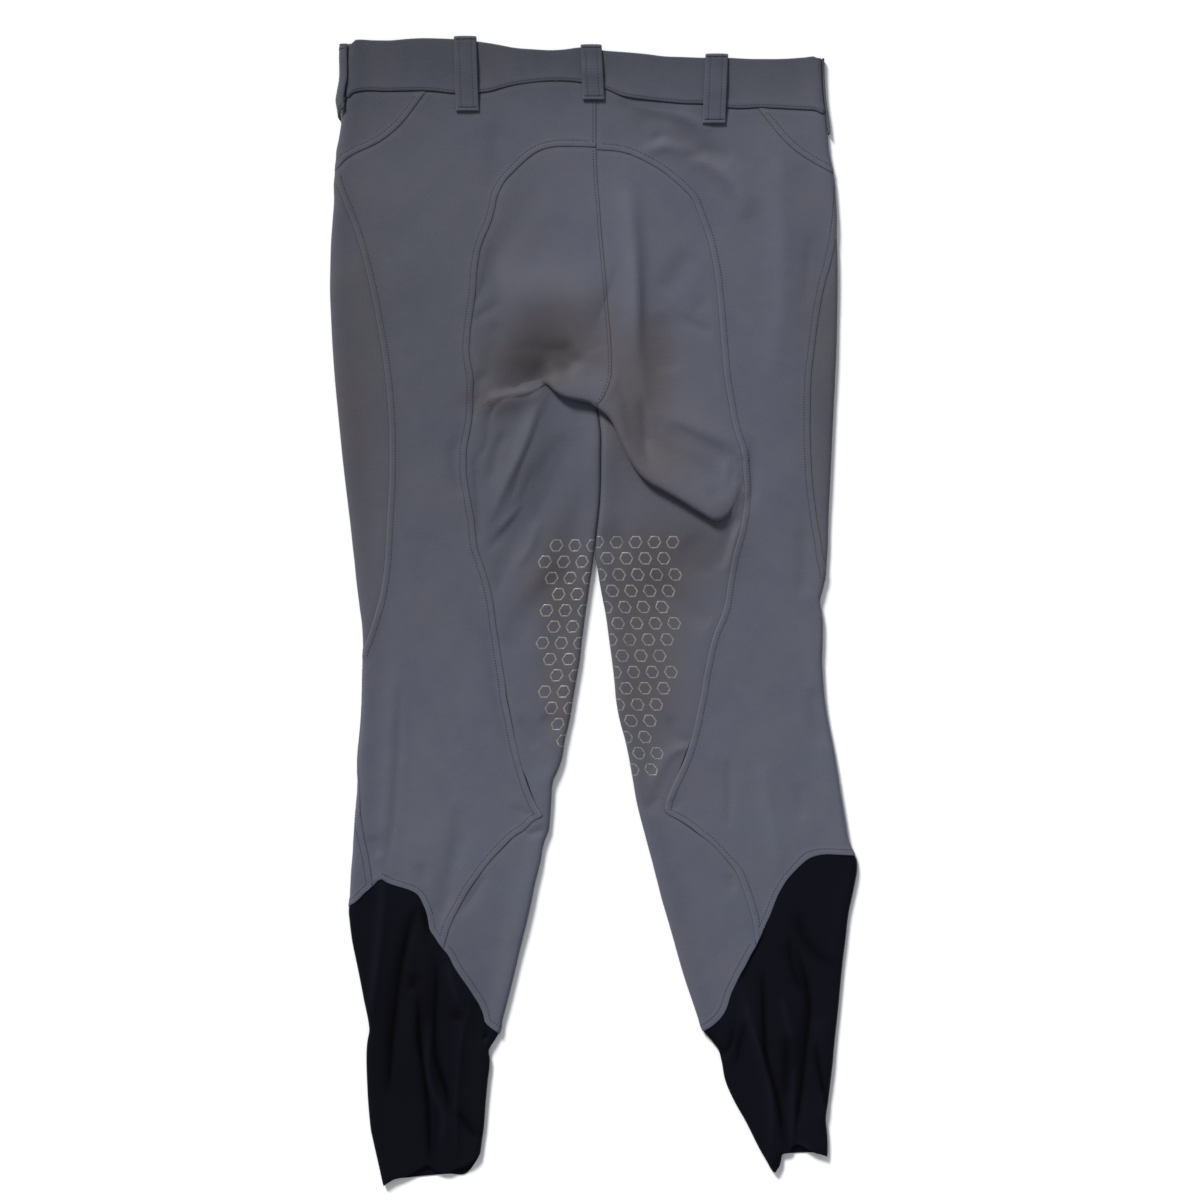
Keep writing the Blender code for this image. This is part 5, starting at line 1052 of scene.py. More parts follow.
def hem_ring(side, back_rows, front_rows):
    """A hem right round a leg: turn and y, from the outer fold by way of the back."""
    back, front = leg_curve(back_rows), leg_curve(front_rows)
    y = back(0.5)
    half = abs(outer_x(side, y) - inner_x(side, y)) - 2 * FOLD_REACH + 2 * QUARTER
    corner = QUARTER / half
    arc = np.array([0.0, 0.5, 1.0]) * corner
    share = np.concatenate([
        arc[:-1],
        np.linspace(corner, 1.0 - corner, HEM_BACK_STEPS + 1),
        1.0 - arc[::-1][1:],
    ])
    straight = np.linspace(corner, 1.0 - corner, HEM_FRONT_STEPS + 1)
    flat = np.concatenate([arc[1:-1], straight, 1.0 - arc[1:-1]])
    flat = np.sort(flat)[::-1]
    rows_back = np.stack([share / 2, back(share)], -1)
    rows_front = np.stack([1.0 - flat / 2, front(flat)], -1)
    return np.vstack([rows_back, rows_front])


def hem_across(side, ring, fold):
    """The hem ring in the flat cloth of one fold."""
    y = ring[:, 1]
    half = SIGN[side] * (outer_x(side, y) - inner_x(side, y)) - 2 * FOLD_REACH + 2 * QUARTER
    place = ring[:, 0] * 2 * half
    if fold == "outer":
        return np.stack([np.where(ring[:, 0] > 0.5, place - 2 * half, place), y], -1)
    return np.stack([half - place, lowered_row(y)], -1)


# Meshes

def turn_way(outline):
    """Twice the signed area."""
    x, y = outline[:, 0], outline[:, 1]
    return float(np.sum(x * np.roll(y, -1) - np.roll(x, -1) * y))


def join(*lines):
    """One closed outline, anticlockwise, from lines that meet end to end."""
    points = []
    for line in lines:
        for point in line:
            if not points or np.hypot(*(np.array(point) - points[-1])) > NEAREST:
                points.append(np.array(point, float))
    if np.hypot(*(points[0] - points[-1])) < NEAREST:
        points.pop()
    outline = np.array(points)
    return outline if turn_way(outline) > 0 else outline[::-1]


def crossed(outline, columns):
    """The outline with a point wherever it crosses one of the given columns."""
    points = []
    for a, b in zip(outline, np.roll(outline, -1, axis=0)):
        points.append(a)
        cuts = [(c - a[0]) / (b[0] - a[0]) for c in columns if (a[0] - c) * (b[0] - c) < 0]
        for t in sorted(cuts):
            point = a + (b - a) * t
            if min(np.hypot(*(point - a)), np.hypot(*(point - b))) > NEAREST / 2:
                points.append(point)
    return np.array(points)


def inset(outline, distance):
    """The outline moved inwards."""
    ahead = np.roll(outline, -1, axis=0) - outline
    ahead /= np.linalg.norm(ahead, axis=1)[:, None]
    inward = np.stack([-ahead[:, 1], ahead[:, 0]], -1)
    before = np.roll(inward, 1, axis=0)
    mitre = inward + before
    scale = np.maximum(np.sum(mitre * inward, axis=1), SHARPEST)
    return outline + mitre / scale[:, None] * distance


def inside(outline, points, clear):
    """Which points lie in the outline, at least `clear` from it."""
    a, b = outline, np.roll(outline, -1, axis=0)
    step = b - a
    rise = np.where(step[:, 1] == 0, 1e-12, step[:, 1])
    kept = np.empty(len(points), bool)
    for low in range(0, len(points), CHUNK):
        px, py = points[low:low + CHUNK, 0:1], points[low:low + CHUNK, 1:2]
        hit = ((a[:, 1] > py) != (b[:, 1] > py)) & (px < step[:, 0] * (py - a[:, 1]) / rise + a[:, 0])
        along = (px - a[:, 0]) * step[:, 0] + (py - a[:, 1]) * step[:, 1]
        t = np.clip(along / np.sum(step**2, axis=1), 0, 1)
        away = np.hypot(px - a[:, 0] - t * step[:, 0], py - a[:, 1] - t * step[:, 1]).min(axis=1)
        kept[low:low + CHUNK] = (hit.sum(axis=1) % 2 == 1) & (away > clear)
    return kept


def lattice(columns, rows):
    across, along = np.meshgrid(columns, rows)
    return np.stack([across.ravel(), along.ravel()], -1)


def column_edges(outline, points):
    """Edges along the fold columns, which keep the folds true."""
    edges = []
    for column in FOLD_COLUMNS:
        on = np.flatnonzero(np.abs(points[:, 0] - column) < ON_COLUMN)
        on = on[np.argsort(points[on, 1])]
        if len(on) > 1:
            clear = inside(outline, (points[on[:-1]] + points[on[1:]]) / 2, ON_COLUMN)
            edges += [(int(a), int(b)) for a, b, kept in zip(on, on[1:], clear) if kept]
    return edges


def seam_rows(outline):
    """Rows of points that follow the outline inside it, where the sewing shapes the cloth."""
    rows = [inset(outline, distance) for distance in SEAM_ROWS]
    return [row[inside(outline, row, distance * ROW_CLEAR)] for row, distance in zip(rows, SEAM_ROWS)]


def filled(outline, zones):
    """Triangles over the outline; each zone is a lattice of points and its clearance."""
    inner = [points[inside(outline, points, clear)] for points, clear in zones]
    points = np.vstack([outline] + seam_rows(outline) + inner)
    ring = list(range(len(outline)))
    edges = column_edges(outline, points)
    made = delaunay_2d_cdt([Vector(p) for p in points], edges, [ring], 1, 1e-4)
    return np.array([tuple(v) for v in made[0]]), [tuple(f) for f in made[2]]


def outward(place, across, along, way):
    """Unit normals of the laid cloth, away from its inside."""
    step = 0.15
    along_u = place(across + step, along) - place(across - step, along)
    along_v = place(across, along + step) - place(across, along - step)
    normal = np.cross(along_u, along_v) * way
    return normal / np.linalg.norm(normal, axis=1)[:, None]


def in_metres(points):
    return (points - np.array([CENTER_X, CENTER_Y, 0.0])) * 0.001


def add_mesh(name, vertices, faces, cloth):
    """A smooth mesh object, its vertices in millimetres."""
    mesh = bpy.data.meshes.new(name)
    mesh.from_pydata(in_metres(vertices).tolist(), [], faces)
    mesh.materials.append(cloth)
    mesh.validate()
    mesh.shade_smooth()
    mesh.set_sharp_from_angle(angle=math.radians(SHARP_ANGLE))
    made = bpy.data.objects.new(name, mesh)
    bpy.context.scene.collection.objects.link(made)
    return made


def map_cloth(made, flat, shade_and_tint):
    """The cloth's own map, in metres of flat cloth, and its attributes of painted shade and tint."""
    mesh = made.data
    corner = np.empty(len(mesh.loops), int)
    mesh.loops.foreach_get("vertex_index", corner)
    layer = mesh.uv_layers.new(name="cloth")
    layer.data.foreach_set("uv", (flat[corner] * 0.001).ravel())
    for title, values in shade_and_tint.items():
        attribute = mesh.attributes.new(title, "FLOAT", "POINT")
        attribute.data.foreach_set("value", np.asarray(values, np.float32))


def wall_faces(middle, faces, flipped):
    """Faces of a closed wall: the outer face, the inner face and the rim."""
    if flipped:
        faces = [face[::-1] for face in faces]
    count = len(middle)
    edges = {(a, b) for face in faces for a, b in zip(face, face[1:] + face[:1])}
    rim = [(b, a, a + count, b + count) for a, b in edges if (b, a) not in edges]
    inner = [tuple(i + count for i in face[::-1]) for face in faces]
    return list(faces) + inner + rim


class Piece:
    """A cut piece: how its flat cloth lies, its wall, and what is sewn along each of its edges."""

    def __init__(self, place, way, wall, edges, on_top=False):
        self.place, self.way, self.wall, self.edges, self.on_top = place, way, wall, edges, on_top

    def cut(self):
        return join(*[line for line, _ in self.edges])

    def facing_up(self, flat):
        """1 on the back of the garment, 0 underneath."""
        return np.ones(len(flat)) if self.on_top else ease((flat[:, 0] + QUARTER) / QUARTER)

    def relief(self, flat):
        """How far the sewing raises or sinks the outer face; underneath it only sinks it."""
        raised, sunk = np.zeros(len(flat)), np.zeros(len(flat))
        back = self.facing_up(flat)
        for line, sewing in self.edges:
            shape = np.array(SEWN[sewing])
            distance, along, _ = beside(line, flat)
            height = np.interp(distance, shape[:, 0], shape[:, 1])
            pucker = 1.0 + PUCKER * sum(np.sin(along * pace + phase) for pace, phase in PUCKER_PACES)
            raised = np.maximum(raised, height * pucker)
            groove = GROOVE * np.exp(-(((distance - STITCH_AT.get(sewing, -9.0)) / GROOVE_WIDTH) ** 2))
            sunk = np.minimum(sunk, np.minimum(height, 0.0) - groove * (1.0 - back))
        return raised * back + sunk

    def frame(self, flat):
        """Middle of the cloth and its outward direction."""
        across, along = flat[:, 0], flat[:, 1]
        return self.place(across, along), outward(self.place, across, along, self.way)

    def on_face(self, flat, height):
        """Points at a height above the outer face; underneath, they stay within it."""
        middle, normal = self.frame(flat)
        over = self.wall / 2 + self.relief(flat) + height - (1.0 - self.facing_up(flat)) * SUNKEN
        return middle + normal * over[:, None]


def painted_shade_and_tint_at(points):
    """Painted shade and light and the cloth's tint at each place, as how much lighter and how much browner;
    little of them shows on the side it lies on.
    """
    tone, warmth = np.zeros(len(points)), np.zeros(len(points))
    shown_share = UNDERSIDE_SHARE + (1.0 - UNDERSIDE_SHARE) * ease((points[:, 2] - SOFTSHELL) / SOFTSHELL)
    for x, y, wide, long, lighter, warmer in PAINTED_SHADE_AND_TINT:
        share = np.exp(-(((points[:, 0] - x) / wide) ** 2 + ((points[:, 1] - y) / long) ** 2))
        tone += lighter * share * shown_share
        warmth += warmer * share * shown_share
    return tone, np.clip(warmth, 0.0, 1.0)


def finish_cloth(made, name, piece, flat, middle, uv, extra_length=0.0):
    """Map, painted shade and tint of a piece that stands for its solid; the solid is hidden and the piece
    hangs from the root.
    """
    # the tone attribute gathers painted shade and light from the table, the painted sheen beside the seams
    # and painted shade in the creases
    tone, warmth = painted_shade_and_tint_at(middle)
    seam_sheen, browned = seam_sheen_and_marks(piece, flat)
    tone, warmth = tone + seam_sheen + painted_crease_shade(name, middle), np.clip(warmth + browned, 0.0, 1.0)
    map_cloth(made, np.vstack([uv, uv]), {"tone": np.tile(tone, 2), "warmth": np.tile(warmth, 2)})
    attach(made, "root")
    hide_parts(name)
    size = uv.max(axis=0) - uv.min(axis=0) + (0.0, extra_length)
    mesh = made.data
    area = sum(face.area for face in mesh.polygons) / 2
    size = np.maximum(size, LEAST_CUT) * 0.001
    area = float(np.clip(area, LEAST_AREA * size[0] * size[1], size[0] * size[1]))


def dressed(name, piece, zones, cloth, extra_length=0.0):
    """A cut piece laid in its place, with its wall and the relief of its sewing."""
    outline = inset(crossed(piece.cut(), FOLD_COLUMNS), JOIN / 2)
    flat, faces = filled(outline, zones)
    middle, normal = piece.frame(flat)
    outer = middle + normal * (piece.wall / 2 + piece.relief(flat))[:, None]
    inner = middle - normal * piece.wall / 2
    vertices = np.vstack([outer, inner])
    made = add_mesh("cloth_" + name, vertices, wall_faces(middle, faces, piece.way < 0), cloth)
    finish_cloth(made, name, piece, flat, middle, flat, extra_length)
    sew(name, piece, seam_runs(piece), STITCH_SIZES)


def painted_crease_shade(name, middle):
    """Painted shade down in a crease and a painted highlight along a ridge."""
    creases, share = (CREASES, SOFTSHELL_CREASE_SHADE)
    if name.startswith("sock"):
        creases, share = (LYCRA_CREASES, LYCRA_CREASE_SHADE)
    tone = share * fold_height(middle[:, 0], middle[:, 1], creases, CREASE_ENDS)
    return np.clip(tone, DARKEST, LIGHTEST)


def seam_sheen_and_marks(piece, flat):
    """The rolled cloth beside a join is lighter, a painted sheen with some wear; the join is darker, each row
    of needle holes carries painted shade, and the cloth is browner along the join.
    """
    tone, warmth = np.zeros(len(flat)), np.zeros(len(flat))
    for line, sewing in piece.edges:
        distance = beside(line, flat)[0]
        light, dark = SEAM_SHEEN_AND_JOIN[sewing]
        tone += light * np.exp(-(((distance - SHEEN_LINE_AT) / LINE_REACH) ** 2))
        tone -= dark * np.exp(-((distance / JOIN_REACH) ** 2))
        if sewing in STITCH_AT:
            tone -= HOLE_SHADE * np.exp(-(((distance - STITCH_AT[sewing]) / LINE_REACH) ** 2))
        if sewing in BROWNED:
            warmth += BROWNED[sewing] * np.exp(-((distance / BROWN_REACH) ** 2))
    return tone, warmth


# Sewing

def add(tree, kind, inputs=None, **settings):
    """A node with its settings, its inputs linked to sockets or set to values; gives its outputs."""
    made = tree.nodes.new(kind)
    for name, value in settings.items():
        setattr(made, name, value)
    for title, value in (inputs or {}).items():
        if isinstance(value, bpy.types.NodeSocket):
            tree.links.new(value, made.inputs[title])
        else:
            made.inputs[title].default_value = value
    return made.outputs


def new_tree(name, numbers, material):
    """A tree whose inputs are a geometry, some named numbers and a named material."""
    tree = bpy.data.node_groups.new(name, "GeometryNodeTree")
    face = tree.interface
    face.new_socket("Geometry", in_out="INPUT", socket_type="NodeSocketGeometry")
    for title, value in numbers.items():
        face.new_socket(title, in_out="INPUT", socket_type="NodeSocketFloat").default_value = value
    face.new_socket(material, in_out="INPUT", socket_type="NodeSocketMaterial")
    face.new_socket("Geometry", in_out="OUTPUT", socket_type="NodeSocketGeometry")
    return tree, add(tree, "NodeGroupInput")


def finish_tree(tree, placed, material):
    """The placed copies become plain mesh of the given material."""
    real = add(tree, "GeometryNodeRealizeInstances", {"Geometry": placed["Instances"]})
    finish = add(tree, "GeometryNodeSetMaterial", {"Geometry": real["Geometry"], "Material": material})
    add(tree, "NodeGroupOutput", {"Geometry": finish["Geometry"]})
    return tree


def stitch_tree():
    """Stitches along lines drawn in flat cloth, in millimetres."""
    tree, given = new_tree("stitches", STITCH_SIZES, "Thread")
    line = add(tree, "GeometryNodeMeshToCurve", {"Mesh": given["Geometry"]})["Curve"]
    spaced = add(tree, "GeometryNodeResampleCurve", {"Curve": line, "Length": given["Pitch"]}, mode="LENGTH")
    bean = add(tree, "GeometryNodeMeshUVSphere", {"Segments": 6, "Rings": 4, "Radius": 0.5})["Mesh"]
    size = {"X": given["Length"], "Y": given["Width"], "Z": given["Height"]}
    size = add(tree, "ShaderNodeCombineXYZ", size)["Vector"]
    shaped = add(tree, "GeometryNodeTransform", {"Geometry": bean, "Scale": size})["Geometry"]
    tangent = add(tree, "GeometryNodeInputTangent")["Tangent"]
    uneven = {"Min": (0.9, 0.85, 0.85), "Max": (1.06, 1.1, 1.1), "Seed": 7}
    placed = add(tree, "GeometryNodeInstanceOnPoints", {
        "Points": spaced["Curve"],
        "Instance": add(tree, "GeometryNodeSetShadeSmooth", {"Geometry": shaped})["Geometry"],
        "Rotation": add(tree, "FunctionNodeAlignRotationToVector", {"Vector": tangent}, axis="X")["Rotation"],
        "Scale": add(tree, "FunctionNodeRandomValue", uneven, data_type="FLOAT_VECTOR")["Value"],
    })
    return finish_tree(tree, placed, given["Thread"])


def motif_tree():
    """Six-sided rings of the knee grip, at points in flat cloth, in millimetres."""
    tree, given = new_tree("knee grip", RING_SIZES, "Silicone")
    circle = "GeometryNodeCurvePrimitiveCircle"
    ring = add(tree, circle, {"Resolution": 6, "Radius": given["Radius"]})["Curve"]
    sides = add(tree, "GeometryNodeSubdivideCurve", {"Cuts": 2, "Curve": ring})["Curve"]
    bead = add(tree, circle, {"Resolution": 4, "Radius": 0.5})["Curve"]
    size = add(tree, "ShaderNodeCombineXYZ", {"X": given["Stroke"], "Y": given["Height"], "Z": 1.0})["Vector"]
    flattened = add(tree, "GeometryNodeTransform", {"Geometry": bead, "Scale": size})["Geometry"]
    drawn = add(tree, "GeometryNodeCurveToMesh", {"Curve": sides, "Profile Curve": flattened})["Mesh"]
    placed = add(tree, "GeometryNodeInstanceOnPoints", {"Points": given["Geometry"], "Instance": drawn})
    return finish_tree(tree, placed, given["Silicone"])


def grown(points, edges, tree, inputs):
    """Runs a tree on points and edges in flat cloth, and gives the vertices and faces that it makes."""
    mesh = bpy.data.meshes.new("flat lines")
    mesh.from_pydata([(p[0], p[1], 0.0) for p in points], edges, [])
    flat = bpy.data.objects.new("flat lines", mesh)
    bpy.context.scene.collection.objects.link(flat)
    modifier = flat.modifiers.new("grown", "NODES")
    modifier.node_group = tree
    for item in tree.interface.items_tree:
        if item.item_type == "SOCKET" and item.in_out == "INPUT" and item.name in inputs:
            modifier[item.identifier] = inputs[item.name]
    bpy.context.view_layer.update()
    evaluated = flat.evaluated_get(bpy.context.evaluated_depsgraph_get())
    made = bpy.data.meshes.new_from_object(evaluated)
    vertices = np.empty(len(made.vertices) * 3)
    made.vertices.foreach_get("co", vertices)
    faces = [tuple(face.vertices) for face in made.polygons]
    bpy.data.objects.remove(flat)
    bpy.data.meshes.remove(made)
    return vertices.reshape(-1, 3), faces


def runs_inside(outline, line, distance):
    """The line moved into the outline by a distance, in the runs that stay clear of the other edges."""
    ahead = np.gradient(line, axis=0)
    ahead /= np.linalg.norm(ahead, axis=1)[:, None]
    aside = np.stack([-ahead[:, 1], ahead[:, 0]], -1)
    middle = len(line) // 2
    if not inside(outline, (line[middle] + aside[middle] * distance)[None], 0.0)[0]:
        aside = -aside
    moved = line + aside * distance
    kept = inside(outline, moved, distance * ROW_CLEAR)
    runs, run = [], []
    for point, good in zip(moved, kept):
        if good:
            run.append(point)
            continue
        runs.append(run)
        run = []
    runs.append(run)
    return [np.array(run) for run in runs if len(run) > 2]


def wire(runs):
    """Points and edges of several lines."""
    points, edges = [], []
    for run in runs:
        first = len(points)
        points += [tuple(p) for p in run]
        edges += [(i, i + 1) for i in range(first, len(points) - 1)]
    return points, edges


def seam_runs(piece):
    """The stitched lines of a cut piece."""
    cut = piece.cut()
    runs = []
    for line, sewing in piece.edges:
        if sewing in STITCH_AT:
            runs += runs_inside(cut, line, STITCH_AT[sewing])
    return runs


def sew(name, piece, runs, sizes_of, yarn=None):
    """Stitches along lines of a piece."""
    if not runs:
        return
    yarn = yarn or thread
    vertices, faces = grown(*wire(runs), STITCHES, sizes_of | {"Thread": yarn})
    laid = piece.on_face(vertices[:, :2], vertices[:, 2] + STITCH_SEAT)
    if piece.way < 0:
        faces = [face[::-1] for face in faces]
    made = add_mesh("stitches_" + name, laid, faces, yarn)
    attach(made, "root")


# Pieces of one leg

def outer_zones(low, high):
    """Lattices for a piece over the outer fold that lies between `low` and `high` across."""
    rows = spread(CLOTH_LOW, CLOTH_HIGH, GRID_BACK)
    sparse = spread(CLOTH_LOW, CLOTH_HIGH, GRID_FRONT)
    return [
        (lattice(FOLD_COLUMNS, rows), FOLD_CLEAR),
        (lattice(spread(QUARTER + BESIDE_FOLD, high, GRID_BACK), rows), ROWS_END),
        (lattice(spread(low, -QUARTER - BESIDE_FRONT, GRID_FRONT), sparse), ROWS_END + 2.0),
    ]


def tuck_rows():
    """Rows of the flat panel at the turns of the tuck."""
    edge, back = math.pi * TUCK_EDGE, math.pi * TUCK_BACK
    total = 2 * TUCK_SPAN + edge + back + 2 * TUCK_DEPTH
    stops = np.cumsum([TUCK_SPAN, edge, TUCK_DEPTH, back])
    s = np.concatenate([
        spread(0.0, stops[0], 3.0)[:-1],
        spread(stops[0], stops[1], 1.0)[:-1],
        spread(stops[1], stops[2], 3.0)[:-1],
        spread(stops[2], stops[3], 1.0)[:-1],
        spread(stops[3], total, 3.0),
    ])
    return TUCK_ROW + TUCK_SPAN - 2 * TUCK_SPAN * s / total


def seams(side):
    """The lines that several pieces share, as flat cloth of the outer fold."""
    waist = waist_line(side, BAND_SEAM, FRONT_SEAM_Y)
    half = to_outer(side, np.array(YOKE_SEAM[side]))
    end = half[0, 0]
    half[0, 1] = np.interp(end, waist[:, 0], waist[:, 1])
    drop = np.interp(-end, waist[:, 0], waist[:, 1]) - half[0, 1]
    front = half[::-1] * (-1.0, 1.0)
    front[:, 1] += drop * ease(-front[:, 0] / end)
    yoke = smooth(np.vstack([half, [(0.0, YOKE_AT_FOLD[side])], front]), SEAM_STEP / 2)
    top = (SIDE_TOP[side], np.interp(-SIDE_TOP[side], -yoke[:, 0], yoke[:, 1]))
    foot = (0.0, SIDE_FOOT[side])
    side_back = smooth(np.vstack([top, to_outer(side, np.array(SIDE_SEAM[side])), foot]), SEAM_STEP)
    axis = top[0] * (side_back[:, 1] - foot[1]) / (top[1] - foot[1])
    side_front = np.stack([axis - INSERT_FRONT * (side_back[:, 0] - axis), side_back[:, 1]], -1)
    return {
        "end": end,
        "top": top[0],
        "waist": waist,
        "yoke": yoke,
        "side_back": side_back,
        "side_front": side_front,
        "shin": smooth(SHIN_SEAM[side], SEAM_STEP),
    }


def calf_hem(side):
    return hem_ring(side, HEM_BACK[side], HEM_FRONT[side])


def front_seam_line(side):
    """The front's inner seam in place, x and y, from the crotch to below the hem."""
    rows = [(inward, CROTCH_Y if y is None else y) for inward, y in FRONT_SEAM]
    line = smooth(rows, SEAM_STEP)
    x = inner_x(side, line[:, 1]) + SIGN[side] * line[:, 0]
    return np.stack([x, line[:, 1]], -1)


def cut_at_hem(line, hem):
    """A line in flat cloth down to the hem, with its crossing point."""
    order = np.argsort(hem[:, 0])
    edge = np.interp(line[:, 0], hem[order, 0], hem[order, 1])
    above = line[:, 1] > edge + 2.0
    kept = line[above]
    last = line[len(kept)] if len(kept) < len(line) else kept[-1] + (kept[-1] - kept[-2])
    foot = kept[-1]
    for _ in range(HEM_ROUNDS):
        target = np.interp(last[0], hem[order, 0], hem[order, 1])
        share = (foot[1] - target) / (foot[1] - last[1])
        last = foot + (last - foot) * share
    return np.vstack([kept, [last]])


def front_across(side, line, fold):
    """A line of the front in the flat cloth of one fold."""
    x, y = line[:, 0], line[:, 1]
    if fold == "outer":
        return np.stack([-outer_across(side, x, y), y], -1)
    row = lowered_row(y)
    return np.stack([inner_opening(row)[1] - SIGN[side] * (x - inner_x(side, y)) - QUARTER, row], -1)


def outer_pieces(side, cloth):
    """Yoke, thigh insert, back panel and front panel."""
    line = seams(side)
    way = -SIGN[side]

    def place(across, y):
        return lay_outer(side, across, y)

    end, top, waist, yoke = line["end"], line["top"], line["waist"], line["yoke"]
    hem = hem_across(side, calf_hem(side), "outer")
    hem = hem[np.argsort(hem[:, 0])]
    shin = cut_at_hem(line["shin"], hem)

    inseam = front_seam_line(side)
    corner = front_across(side, np.array([[center_x(CROTCH_Y), CROTCH_Y]]), "outer")
    inseam = cut_at_hem(front_across(side, inseam, "outer"), hem)
    down_y = spread(waist[0, 1], CROTCH_Y, SEAM_STEP)
    down = np.stack([-outer_across(side, center_x(down_y), down_y), down_y], -1)
    crotch = np.vstack([inseam[:1], corner])
    front = Piece(place, way, SOFTSHELL, [
        (between(waist, waist[0, 0], -end), "under"),
        (between(yoke, -end, top), "under"),
        (line["side_front"], "lapped"),
        (shin, "lapped"),
        (between(hem, inseam[-1, 0], shin[-1, 0])[::-1], "hem"),
        (inseam[::-1], "lapped"),
        (crotch, "under"),
        (down[::-1], "center" if side == "left" else "under"),
    ])
    dressed("front_" + side, front, outer_zones(-260.0, 40.0), cloth)

    dressed("yoke_" + side, Piece(place, way, SOFTSHELL, [
        (between(waist, -end, end)[::-1], "under"),
        (between(yoke, -end, end), "lapped"),
    ]), outer_zones(-end, end), cloth)

    dressed("side_" + side, Piece(place, way, SOFTSHELL, [
        (line["side_back"], "under"),
        (line["side_front"][::-1], "under"),
    ]), outer_zones(-40.0, 60.0), cloth)

    seat = to_outer(side, smooth(SEAT_SEAM[side], SEAM_STEP))
    calf = cut_at_hem(to_outer(side, smooth(CALF_SEAM[side], SEAM_STEP)), hem)
    center_y = spread(waist[-1, 1], seat[0, 1], SEAM_STEP)
    center = np.stack([outer_across(side, center_x(center_y), center_y), center_y], -1)
    back = Piece(place, way, SOFTSHELL, [
        (between(waist, end, waist[-1, 0]), "under"),
        (center, "center" if side == "left" else "under"),
        (seat, "lapped"),
        (calf, "lapped"),
        (between(hem, shin[-1, 0], calf[-1, 0])[::-1], "hem"),
        (shin[::-1], "under"),
        (line["side_back"][::-1], "lapped"),
        (between(yoke, top, end), "under"),
    ])
    dressed("back_" + side, back, outer_zones(-40.0, 240.0), cloth)


def inner_piece(side, cloth):
    """Seat, inner thigh and inner calf in one, round the inner fold, with the knee grip."""
    hem = hem_across(side, calf_hem(side), "inner")
    hem = hem[np.argsort(hem[:, 0])]
    seat = to_inner(side, smooth(SEAT_SEAM[side], SEAM_STEP))
    calf = cut_at_hem(to_inner(side, smooth(CALF_SEAM[side], SEAM_STEP)), hem)
    inseam = cut_at_hem(front_across(side, front_seam_line(side), "inner"), hem)
    rows = tuck_rows()
    edge_rows = rows[rows > CROTCH_ROW + 0.5]
    upper = spread(seat[0, 1], edge_rows[0], SEAM_STEP)[:-1]
    center = np.concatenate([upper, edge_rows, [CROTCH_ROW]])
    center = np.stack([np.full(len(center), QUARTER), center], -1)
    crotch = np.array([(column, CROTCH_ROW) for column in FOLD_COLUMNS[-2::-1]])
    crotch = np.vstack([center[-1:], crotch, inseam[:1]])

    def place(across, row):
        return lay_inner(side, across, row)

    piece = Piece(place, SIGN[side], SOFTSHELL, [
        (center, "center" if side == "left" else "under"),
        (crotch, "under"),
        (inseam, "under"),
        (between(hem, inseam[-1, 0], calf[-1, 0]), "hem"),
        (calf[::-1], "under"),
        (seat[::-1], "under"),
    ])
    above = spread(rows[0] + GRID_BACK, CLOTH_HIGH, GRID_BACK)
    below = spread(CLOTH_LOW, rows[-1] - GRID_BACK, GRID_BACK)
    columns = spread(QUARTER + BESIDE_FOLD, SEAT_REACH, GRID_BACK)
    front_columns = spread(-INSEAM_REACH, -QUARTER - BESIDE_FRONT, GRID_FRONT)
    zones = [
        (lattice(FOLD_COLUMNS, np.concatenate([below, rows[rows < CROTCH_ROW - 1.0]])), FOLD_CLEAR),
        (lattice(columns, rows), ROWS_END),
        (lattice(columns, above), ROWS_END),
        (lattice(columns, below), ROWS_END),
        (lattice(front_columns, spread(CLOTH_LOW, rows[-1], GRID_FRONT)), ROWS_END),
    ]
    dressed("inner_" + side, piece, zones, cloth, TUCK_CLOTH)
    knee_grip(side, piece)


def knee_grip(side, piece):
    """Rings of silicone in staggered rows on the inner side of the knee."""
    limit = np.array(GRIP[side])[::-1]
    points = []
    rise = RING_PITCH * math.sqrt(3) / 2
    y = limit[-1, 0] - RING_SIZES["Radius"]
    stagger = 0
    while y > RING_LOW[side] + RING_SIZES["Radius"]:
        outer = np.interp(y, limit[:, 0], limit[:, 1])
        far = SIGN[side] * (outer - inner_x(side, y)) - FOLD_REACH + QUARTER - RING_SIZES["Radius"]
        across = RING_PITCH * (0.15 + 0.5 * stagger)
        while across < far:
            points.append((across, y))
            across += RING_PITCH
        y -= rise
        stagger = 1 - stagger
    vertices, faces = grown(points, [], RINGS, RING_SIZES | {"Silicone": silicone})
    across = vertices[:, 0]
    row = row_of(SIGN[side] * np.maximum(across - QUARTER, 0.0), vertices[:, 1])
    laid = piece.on_face(np.stack([across, row], -1), vertices[:, 2])
    if piece.way < 0:
        faces = [face[::-1] for face in faces]
    made = add_mesh("knee_grip_" + side, laid, faces, silicone)
    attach(made, "root")


# Tubes and strips, drawn as grids of flat cloth

def lofted(name, middle, normal, over, under, cloth, closed=False):
    """A walled grid of points; `over` and `under` are its two faces' distances from the middle."""
    rows, columns = middle.shape[:2]
    faces = []
    for i in range(rows - 1):
        for j in range(columns if closed else columns - 1):
            k = (j + 1) % columns
            faces.append((i * columns + j, i * columns + k, (i + 1) * columns + k, (i + 1) * columns + j))
    outer = (middle + normal * over[..., None]).reshape(-1, 3)
    inner = (middle - normal * under[..., None]).reshape(-1, 3)
    first, ahead, _, beside_it = (outer[i] for i in faces[0])
    flipped = np.sum(np.cross(ahead - first, beside_it - first) * normal.reshape(-1, 3)[0]) < 0
    return add_mesh(name, np.vstack([outer, inner]), wall_faces(outer, faces, flipped), cloth)


